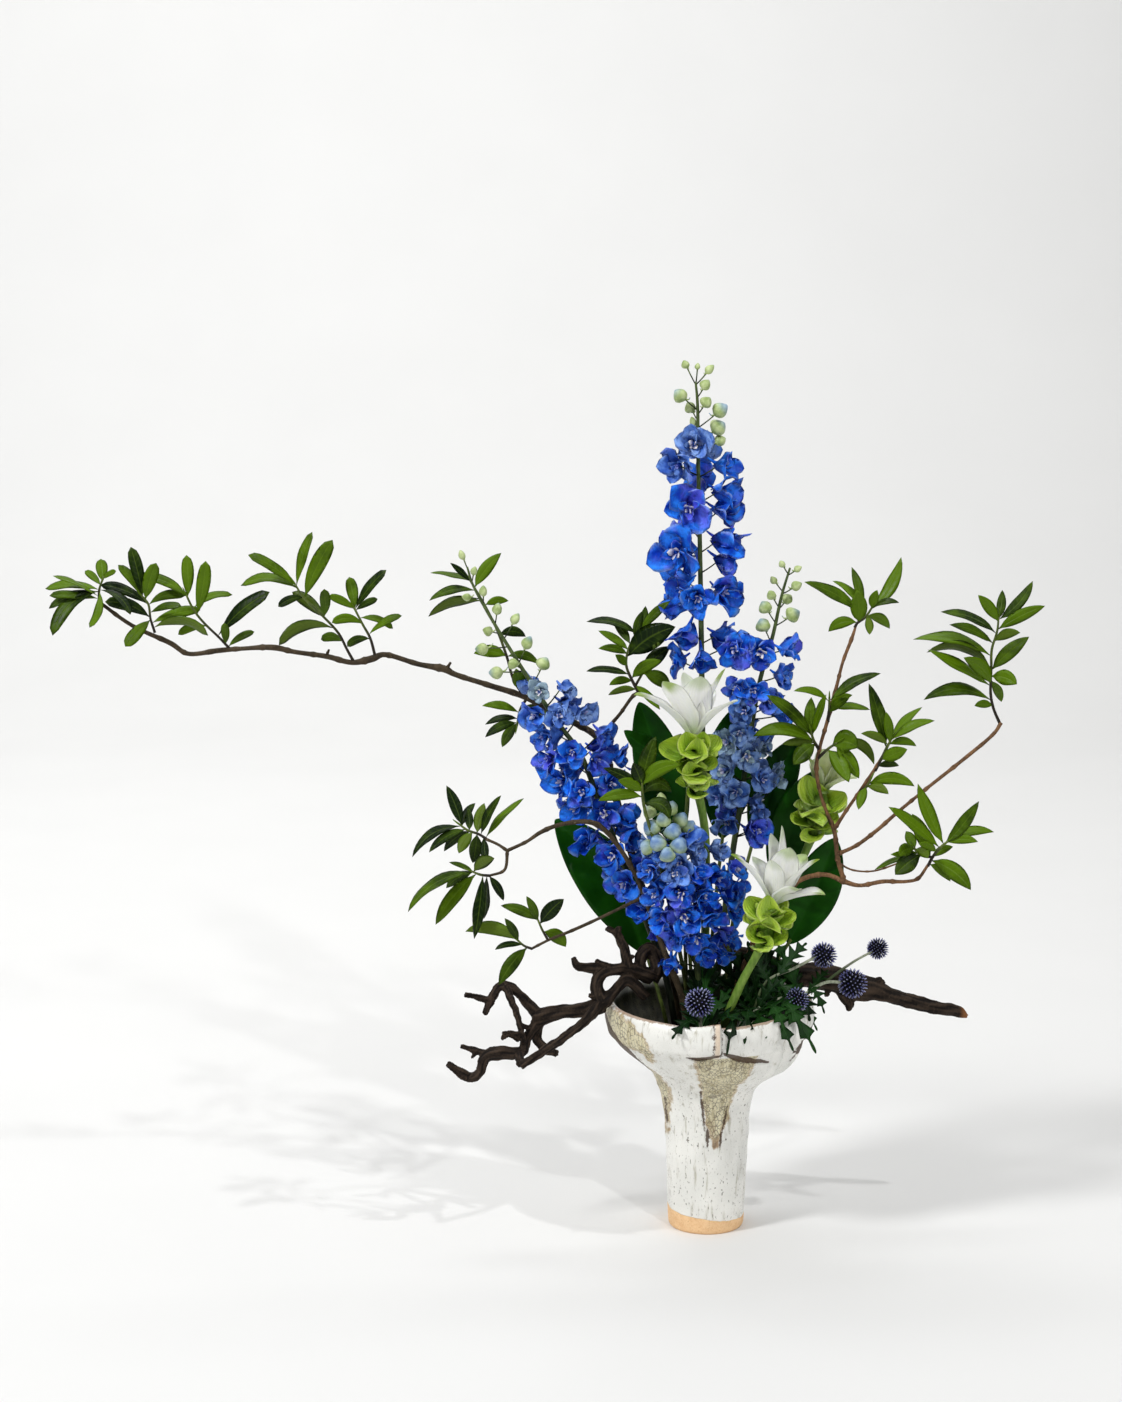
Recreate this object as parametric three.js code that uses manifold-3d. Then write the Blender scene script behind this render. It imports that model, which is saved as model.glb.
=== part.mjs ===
// A free standing flower arrangement in a tall trumpet vase, in millimetres, +Z up.
// The origin is the centre of the vase's foot on the table, +X is the viewer's right, +Y is away from the viewer.
import * as THREE from "three";
import Module from "manifold-3d";

const wasm = await Module();
wasm.setup();
const { Manifold, Mesh } = wasm;

// Driving dimensions
const EYE = new THREE.Vector3(-149, -3000, 1074); // the viewer's eye, which the layout lists are sighted from
const GAP = 0.35; // clearance between neighbouring pieces
const FOOT_RADIUS = 38; // of the vase's unglazed foot
const RIM_RADIUS = 106.5; // of the vase's mouth, outside
const RIM_HEIGHT = 237;
const CREASE_HEIGHT = 204; // where the top slab is laid on the body
const NECK_HEIGHT = 150; // where the trumpet meets the column
const FLOOR_HEIGHT = 12; // inner floor of the vase
const WATER_LEVEL = 128;
const WATER_RADIUS = 34; // at the vase's floor
const WATER_TOP_RADIUS = 35.8;
const WATER_SIDES = 16;
const HOLDER_RADIUS = 29; // the needle holder that the stems stand on
const HOLDER_HEIGHT = 10;
const HOLDER_SIDES = 24;
const NEEDLE_HEIGHT = 13;
const NEEDLE_PITCH = 10;
const NEEDLE_RADIUS = 1.2;
const NEEDLE_TIP = 0.5;
const NEEDLE_MARGIN = 4; // from the disc's edge to the outermost needles
const STEM_SIDES = 5;
const FOOT_SQUEEZE = 0.8; // how much closer the stems stand on the needles than in the neck
const END_INSET = 3; // how far inside the end of its twig a last leaf starts
const LEAF_RIB = 0.65; // half the thickness of a small leaf at its rib
const SMALLEST_SLIVER = 0.05; // edges shorter than this are closed up after a join

const UP = new THREE.Vector3(0, 0, 1);
const vec = (x, y, z) => new THREE.Vector3(x, y, z);

// A point sighted by the viewer at u across and v up in the upright plane through the vase, w behind that plane
function sight(u, v, w) {
  const reach = (w - EYE.y) / -EYE.y;
  return vec(EYE.x + (u - EYE.x) * reach, w, EYE.z + (v - EYE.z) * reach);
}

// Closed skin over rings of points, in order along the piece. Neighbouring rings start at the same side but may
// differ in count, and a ring of one point closes that end.
function skin(rings) {
  const points = rings.flat();
  const faces = [];
  let start = 0;
  for (let k = 0; k + 1 < rings.length; k++) {
    const [here, next] = [rings[k].length, rings[k + 1].length];
    const above = start + here;
    let [i, j] = [0, 0];
    const [stepsHere, stepsNext] = [here > 1 ? here : 0, next > 1 ? next : 0];
    while (i < stepsHere || j < stepsNext) {
      const fromHere = j >= stepsNext || (i < stepsHere && (i + 1) * stepsNext <= (j + 1) * stepsHere);
      if (fromHere) faces.push([start + i, start + ((i + 1) % here), above + (j % next)]);
      else faces.push([start + (i % here), above + ((j + 1) % next), above + j]);
      if (fromHere) i++;
      else j++;
    }
    start = above;
  }
  const first = rings[0].length;
  const last = rings[rings.length - 1].length;
  for (let i = 1; i + 1 < first; i++) faces.push([0, i + 1, i]);
  for (let i = 1; i + 1 < last; i++) faces.push([start, start + i, start + i + 1]);
  return toSolid(points, faces);
}

function toSolid(points, faces) {
  const vertProperties = new Float32Array(points.flatMap((p) => [p.x, p.y, p.z]));
  const triVerts = new Uint32Array(faces.flat());
  return new Manifold(new Mesh({ numProp: 3, vertProperties, triVerts }));
}

const join = (solids) => Manifold.union(solids);

// The largest body of a solid, with the loose scraps of a cut dropped
function mainBody(solid) {
  return solid
    .simplify(SMALLEST_SLIVER)
    .decompose()
    .reduce((best, one) => (one.volume() > best.volume() ? one : best));
}

// Round stem or limb along a route, with a frame carried from station to station so that it doesn't twist
function limb(route, sides, grow = 0) {
  const { points, radii } = route;
  const last = points.length - 1;
  const tangents = points.map((p, k) =>
    points[Math.min(k + 1, last)].clone().sub(points[Math.max(k - 1, 0)]).normalize(),
  );
  let across = vec(1, 0.2, 0.1).cross(tangents[0]);
  if (across.length() < 0.2) across = vec(0.1, 1, 0).cross(tangents[0]);
  const rings = points.map((p, k) => {
    const t = tangents[k];
    across = across.clone().addScaledVector(t, -across.dot(t)).normalize();
    const other = t.clone().cross(across);
    const reach = radii[k] + grow / Math.cos(Math.PI / sides);
    const centre = p.clone();
    if (k === 0) centre.addScaledVector(t, -grow);
    if (k === last) centre.addScaledVector(t, grow);
    return Array.from({ length: sides }, (_, i) => {
      const turn = (2 * Math.PI * i) / sides;
      return centre
        .clone()
        .addScaledVector(across, reach * Math.cos(turn))
        .addScaledVector(other, reach * Math.sin(turn));
    });
  });
  return skin(rings);
}

// Leaf, petal or bract blade on a bent spine. Stations are [place along the spine, share of the full width],
// fold lifts the two edges above the rib, and sweep moves an edge towards the tip, as on a toothed leaf. A keeled
// blade is flat between its edges on the upper side, with its rib below.
function blade(spine, normal, width, rib, fold, stations, grow = 0, keeled = false) {
  const curve = new THREE.QuadraticBezierCurve3(...spine);
  const rings = stations.map(([t, share, sweep = 0]) => {
    const q = curve.getPoint(t);
    const along = curve.getTangent(t);
    const side = normal.clone().cross(along).normalize();
    const face = along.clone().cross(side).normalize();
    const half = (width / 2) * share + grow;
    const edge = (s) =>
      q
        .clone()
        .addScaledVector(side, s * half)
        .addScaledVector(face, fold * half)
        .addScaledVector(along, sweep * width);
    const depth = rib * (0.55 + 0.45 * share) + grow * Math.hypot(1, fold);
    const under = q.clone().addScaledVector(face, -depth);
    if (keeled) return [edge(1).addScaledVector(face, grow), edge(-1).addScaledVector(face, grow), under];
    return [edge(1), q.clone().addScaledVector(face, depth), edge(-1), under];
  });
  const foot = curve.getPoint(0).addScaledVector(curve.getTangent(0), -grow);
  const tip = curve.getPoint(1).addScaledVector(curve.getTangent(1), 3 * grow);
  return skin([[foot], ...rings, [tip]]);
}

// The nearest place on a sighted twig, given as rows of u, v, w and radius, to a point of the viewer's plane
function nearestOnTwig(twigs, u, v) {
  let best = { away: Infinity };
  for (const twig of twigs)
    for (let k = 0; k + 1 < twig.length; k++) {
      const [a, b] = [twig[k], twig[k + 1]];
      const span = [b[0] - a[0], b[1] - a[1]];
      const along = ((u - a[0]) * span[0] + (v - a[1]) * span[1]) / (span[0] ** 2 + span[1] ** 2);
      const most = k + 2 < twig.length ? 1 : 1 - END_INSET / Math.hypot(...span);
      const t = THREE.MathUtils.clamp(along, 0, most);
      const place = [0, 1, 2].map((i) => a[i] + (b[i] - a[i]) * t);
      const away = Math.hypot(place[0] - u, place[1] - v);
      if (away < best.away) best = { away, place };
    }
  return best.place;
}

// The place on one sighted stem at a height of the viewer's plane
function atHeight(stem, v) {
  const k = Math.max(1, stem.findIndex((row) => row[1] > v));
  const t = (v - stem[k - 1][1]) / (stem[k][1] - stem[k - 1][1]);
  return [0, 1, 2].map((i) => stem[k - 1][i] + (stem[k][i] - stem[k - 1][i]) * t);
}

const SMALL_LEAF = [
  [0.34, 0.94],
  [0.68, 0.88],
];

// One small leaf: the rows are u and v of its base, u and v of its tip, depth of the tip behind the base,
// width as seen (negative where its underside shows), and the bulge of its spine, up or to the right
function smallLeaf(twigs, [bu, bv, tu, tv, depth, seen, bulge], grow = 0) {
  const place = nearestOnTwig(twigs, bu, bv);
  const base = sight(...place);
  const tip = sight(tu, tv, place[2] + depth);
  const chord = tip.clone().sub(base);
  const length = chord.length();
  chord.normalize();
  const bend = vec(-(tv - bv), 0, tu - bu).normalize();
  if (bend.z < -0.2 || (Math.abs(bend.z) <= 0.2 && bend.x < 0)) bend.negate();
  const middle = base.clone().lerp(tip, 0.5);
  const toEye = EYE.clone().sub(middle).normalize();
  toEye.addScaledVector(chord, -toEye.dot(chord)).normalize();
  const side = chord.clone().cross(toEye);
  if (side.z < 0) side.negate();
  const width = Math.max(Math.abs(seen), 0.22 * length);
  const turn = Math.acos(Math.abs(seen) / width);
  const normal = toEye.multiplyScalar(Math.sign(seen) * Math.cos(turn)).addScaledVector(side, Math.sin(turn));
  const control = middle.addScaledVector(bend, 2 * bulge * length);
  return blade([base, control, tip], normal, width, LEAF_RIB, 0.12, SMALL_LEAF, grow, true);
}

// Ring of points round a centre, in the plane of two directions, one radius for each point in turn
const ringOf = (centre, across, other, radii, spin = 0) =>
  radii.map((radius, i) => {
    const angle = spin + (2 * Math.PI * i) / radii.length;
    return centre
      .clone()
      .addScaledVector(across, radius * Math.cos(angle))
      .addScaledVector(other, radius * Math.sin(angle));
  });

// Two directions that stand square to a heading
function squareTo(heading) {
  const across = heading.clone().cross(Math.abs(heading.z) < 0.9 ? UP : vec(0, 1, 0)).normalize();
  return [across, heading.clone().cross(across)];
}

// Three sided stalk that carries a cup of rings; the stalk starts inside the stem, at the given root
function stalked(root, back, cup, grow) {
  const [across, other] = squareTo(back.clone().sub(root).normalize());
  const radii = Array(3).fill(STALK_RADIUS + grow / Math.cos(Math.PI / 3));
  return skin([ringOf(root, across, other, radii), ringOf(back, across, other, radii), ...cup]);
}

const SEPALS = 5;
const NOTCH_SHARE = 0.66; // radius of a floret between two sepals, as a share of its full radius

// Five lobed floret on its stalk, a shallow cup that is deepest at its eye
function floret(root, centre, facing, size, grow = 0) {
  const radius = size / 2 + grow;
  const back = centre.clone().addScaledVector(facing, -0.3 * radius - grow);
  const [across, other] = squareTo(back.clone().sub(root).normalize());
  const [wide, tall] = squareTo(facing);
  const flip = wide.dot(across) < 0 ? -1 : 1;
  const isNotch = (i) => i % 2 === 1;
  const radii = Array.from({ length: 2 * SEPALS }, (_, i) => radius * (isNotch(i) ? NOTCH_SHARE : 1));
  const tips = ringOf(centre, wide.multiplyScalar(flip), tall.multiplyScalar(flip), radii);
  tips.forEach((p, i) => p.addScaledVector(facing, radius * (isNotch(i) ? 0.04 : 0.16)));
  return stalked(root, back, [tips, [centre.clone().addScaledVector(facing, -0.1 * radius + grow)]], grow);
}

const BUD_SIDES = 4;

// Bud on its stalk, widest past its middle
function bud(root, centre, length, radius, grow = 0) {
  const out = centre.clone().sub(root).normalize();
  const [across, other] = squareTo(out);
  const foot = centre.clone().addScaledVector(out, -length / 2 - grow);
  const waist = centre.clone().addScaledVector(out, length * 0.06);
  const tip = centre.clone().addScaledVector(out, length / 2 + grow);
  return stalked(root, foot, [ringOf(waist, across, other, Array(BUD_SIDES).fill(radius + grow)), [tip]], grow);
}

// Unit vector by azimuth, 0 towards the viewer and 90 to the right, and by tilt above the level
function heading(azimuth, tilt) {
  const a = THREE.MathUtils.degToRad(azimuth);
  const t = THREE.MathUtils.degToRad(tilt);
  return vec(Math.sin(a) * Math.cos(t), -Math.cos(a) * Math.cos(t), Math.sin(t));
}

// Vase. Rows are height and mean outer or inner radius, from the middle of the foot round the rim to the floor.
const VASE_OUTSIDE = [
  [0, FOOT_RADIUS - 1.4],
  [1.8, FOOT_RADIUS],
  [17, FOOT_RADIUS + 1.2],
  [90, 42],
  [134, 46],
  [NECK_HEIGHT + 2, 53],
  [163, 62.5],
  [175, 78],
  [189, 90.5],
  [CREASE_HEIGHT - 1, 99],
  [CREASE_HEIGHT + 1, 102],
  [222, RIM_RADIUS],
  [RIM_HEIGHT, RIM_RADIUS - 4],
];
const VASE_INSIDE = [
  [RIM_HEIGHT - 2, RIM_RADIUS - 9],
  [217, 95],
  [196, 83.5],
  [176, 62],
  [158, 42],
  [144, 38.5],
  [FLOOR_HEIGHT, 34.6],
];
const VASE_SIDES = 30;
const VASE_CLEARANCE = 2; // the slanting wall needs more reach for the same clearance
const SEAM_ANGLE = -85.5; // where the two ends of the top slab overlap, in degrees from +X
const SEAM_HALF = 0.8;

// The radius and height of one point of the vase's wall, with the hand built unevenness
function vaseWall(height, radius, angle, inside) {
  const a = THREE.MathUtils.degToRad(angle);
  const fromSeam = angle - SEAM_ANGLE > 180 ? angle - SEAM_ANGLE - 360 : angle - SEAM_ANGLE;
  const slab = THREE.MathUtils.smoothstep(height, CREASE_HEIGHT - 2, CREASE_HEIGHT + 8);
  const step = fromSeam < 0 ? 5 * Math.exp(-((fromSeam / 32) ** 2)) : -2.5 * Math.exp(-((fromSeam / 30) ** 2));
  const fullRight = 9 * Math.exp(-(((height - 174) / 17) ** 2)) * Math.cos(a);
  const wobble = 1.6 * Math.sin(3 * a + 0.6) + 1.1 * Math.sin(5 * a + 2);
  const r = radius + slab * (wobble + step * (inside ? 0.6 : 1)) + fullRight * (height > NECK_HEIGHT ? 1 : 0.3);
  const rise = fromSeam < 0 ? 5 * Math.exp(-((fromSeam / 10) ** 2)) : -1.5 * Math.exp(-((fromSeam / 14) ** 2));
  const lip = THREE.MathUtils.smoothstep(height, 225, RIM_HEIGHT - 2);
  const z = height + lip * (rise + 1.4 * Math.sin(2 * a + 1));
  return vec(r * Math.cos(a), r * Math.sin(a), z);
}

function vase(grow = 0) {
  const row = ([height, radius], inside) =>
    Array.from({ length: VASE_SIDES }, (_, i) => {
      const share = i / (VASE_SIDES - 1);
      const angle = SEAM_ANGLE + SEAM_HALF + share * (360 - 2 * SEAM_HALF);
      const reach = VASE_CLEARANCE * grow;
      const wall = vaseWall(height, inside ? radius - reach : radius + reach, angle, inside);
      if (height > RIM_HEIGHT - 3) wall.z += reach;
      return wall;
    });
  return skin([
    [vec(0, 0, 0)],
    ...VASE_OUTSIDE.map((station) => row(station, false)),
    ...VASE_INSIDE.map((station) => row(station, true)),
    [vec(0, 0, FLOOR_HEIGHT + grow)],
  ]);
}

// Needle holder, a heavy disc with rows of needles, standing on the vase's floor
const HOLDER_BASE = FLOOR_HEIGHT + GAP;
const HOLDER_TOP = HOLDER_BASE + HOLDER_HEIGHT;
const STEM_FOOT = HOLDER_TOP + NEEDLE_HEIGHT + GAP;

function needleHolder(grow = 0) {
  const up = (z) => vec(0, 0, z);
  const radius = HOLDER_RADIUS;
  const disc = limb({ points: [up(HOLDER_BASE), up(HOLDER_TOP)], radii: [radius, radius] }, HOLDER_SIDES, grow);
  const parts = [disc];
  const rowHeight = (NEEDLE_PITCH * Math.sqrt(3)) / 2;
  const most = Math.ceil(HOLDER_RADIUS / rowHeight);
  for (let row = -most; row <= most; row++)
    for (let column = -most; column <= most; column++) {
      const x = (column + (row % 2 ? 0.5 : 0)) * NEEDLE_PITCH;
      const y = row * rowHeight;
      if (Math.hypot(x, y) > HOLDER_RADIUS - NEEDLE_MARGIN) continue;
      const ends = [vec(x, y, HOLDER_TOP - 2), vec(x, y, HOLDER_TOP + NEEDLE_HEIGHT)];
      parts.push(limb({ points: ends, radii: [NEEDLE_RADIUS, NEEDLE_TIP] }, 3, grow));
    }
  return join(parts);
}

// Where each stem passes the neck of the vase, x and y, with the stems spread so that none crosses another
const NECK = {
  branch_left: [-21, 17],
  branch_low_left: [-20, -16],
  branch_right: [9, -5],
  front_shoot: [-13, -6],
  delphinium_tall: [-6, 15],
  delphinium_left: [-26, -5],
  delphinium_right: [7, 15],
  delphinium_front: [-6, -13],
  curcuma_top: [-4, 3],
  curcuma_front: [9, -20],
  curcuma_back: [18, 9],
  thistle_centre: [-6, -26],
  thistle_front: [21, -20],
  thistle_right: [19, -8],
  broad_leaf_low_left: [-29, 7],
  broad_leaf_high_left: [-10, 27],
  broad_leaf_level: [-16, 5],
  broad_leaf_high_right: [4, 27],
  broad_leaf_upper_right: [17, 23],
  broad_leaf_mid_right: [27, 13],
  broad_leaf_low_right: [28, 1],
};

const stemHoles = {};

// The route of a stem: from the needles through the neck and on through its sighted rows of u, v, w and radius
function stemRoute(name, rows) {
  const [x, y] = NECK[name];
  const radius = rows[0][3];
  const points = [
    vec(x * FOOT_SQUEEZE, y * FOOT_SQUEEZE, STEM_FOOT),
    vec(x * 0.97, y * 0.97, NECK_HEIGHT - 18),
    vec(x, y, NECK_HEIGHT),
    ...rows.map(([u, v, w]) => sight(u, v, w)),
  ];
  const wide = radius / Math.cos(Math.PI / STEM_SIDES);
  stemHoles[name] = limb({ points: points.slice(0, 2), radii: [wide, wide] }, STEM_SIDES, 1.5 * GAP);
  return { points, radii: [radius, radius, radius, ...rows.map((row) => row[3])] };
}

const sightedRoute = (rows) => ({
  points: rows.map(([u, v, w]) => sight(u, v, w)),
  radii: rows.map((row) => row[3]),
});

// Woody branches: rows of u, v, w and radius; the first route of each runs down to the needles
const BRANCHES = {
  branch_left: {
    main: [
      [-36, 250, 19, 4.4],
      [-52, 300, 21, 4.3],
      [-75, 380, 25, 4.1],
      [-95, 450, 28, 3.9],
      [-110, 505, 30, 3.8],
      [-150, 530, 33, 3.4],
      [-185, 549, 35, 3.2],
      [-224, 562, 33, 3],
      [-257, 573, 31, 3],
      [-264, 577, 31, 3.9],
      [-290, 582, 28, 2.8],
      [-326, 592, 23, 2.9],
      [-337, 588, 22, 4],
      [-357, 584, 20, 2.8],
      [-382, 590, 18, 2.9],
      [-416, 595, 14, 2.5],
      [-434, 599, 12, 3.2],
      [-466, 598, 9, 2.3],
      [-491, 596, 7, 2.8],
      [-521, 593, 5, 2.4],
      [-537, 603, 3, 2.7],
      [-575, 621, -1, 2.1],
      [-608, 645, -5, 1.9],
    ],
    sides: [
      [
        [-108, 500, 29, 2.6],
        [-101, 518, 27, 2.1],
        [-90, 532, 25, 1.9],
        [-77, 550, 23, 1.9],
        [-71, 554, 22, 2],
      ],
      [
        [-264, 576, 31, 1.8],
        [-259, 584, 28, 1.3],
      ],
      [
        [-383, 590, 18, 1.6],
        [-380, 597, 16, 1.1],
      ],
    ],
  },
  branch_low_left: {
    main: [
      [-22, 222, -40, 3.6],
      [-29, 248, -44, 3.4],
      [-45, 290, -46, 3],
      [-66, 349, -52, 2.8],
      [-73, 366, -54, 2.6],
      [-101, 409, -58, 2.5],
      [-118, 421, -60, 2.8],
      [-149, 419, -62, 2.2],
      [-169, 411, -64, 2.2],
      [-184, 401, -65, 1.8],
      [-203, 392, -67, 1.9],
    ],
    sides: [
      [
        [-203, 393, -67, 1.7],
        [-206, 372, -70, 1.5],
        [-221, 366, -73, 1.4],
      ],
      [
        [-202, 391, -67, 1.7],
        [-212, 398, -64, 1.5],
        [-225, 404, -60, 1.4],
      ],
      [
        [-64, 345, -52, 2.2],
        [-80, 337, -58, 1.7],
        [-110, 322, -66, 1.6],
        [-138, 309, -74, 1.7],
        [-162, 299, -80, 1.4],
        [-179, 290, -84, 1.3],
      ],
    ],
  },
  branch_right: {
    main: [
      [26, 240, -10, 4.2],
      [40, 280, -10, 4],
      [62, 330, -13, 3.6],
      [80, 352, -17, 3.3],
      [98, 364, -20, 3],
      [119, 367, -22, 2.9],
      [137, 360, -25, 3.4],
      [152, 356, -30, 2.5],
      [176, 360, -38, 2.8],
      [199, 360, -46, 2.2],
      [211, 363, -50, 2.1],
      [221, 377, -52, 1.9],
    ],
    sides: [
      [
        [137, 360, -25, 3],
        [130, 383, -23, 2.8],
        [126, 412, -21, 2.9],
        [118, 432, -20, 2.2],
        [112, 449, -19, 2.1],
        [107, 476, -18, 2.6],
        [110, 497, -16, 2.2],
        [117, 523, -13, 2.5],
        [126, 560, -10, 2.3],
        [132, 585, -8, 2],
        [141, 610, -6, 2.2],
        [144, 620, -5, 1.5],
      ],
      [
        [126, 414, -21, 2.6],
        [137, 432, -26, 2.2],
        [151, 453, -32, 2.2],
        [166, 476, -38, 2.2],
        [177, 496, -42, 1.6],
      ],
      [
        [129, 388, -22, 2.6],
        [148, 397, -14, 2.4],
        [169, 413, -2, 2.6],
        [190, 432, 10, 2.3],
        [217, 455, 24, 2.2],
        [256, 487, 44, 2.5],
        [285, 513, 58, 2.4],
        [291, 523, 61, 2.8],
      ],
      [
        [131, 379, -23, 1.4],
        [145, 372, -10, 1.2],
        [167, 371, 4, 1.2],
        [194, 380, 4, 1.1],
      ],
    ],
  },
};
const BRANCH_SIDES = 5;

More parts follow.
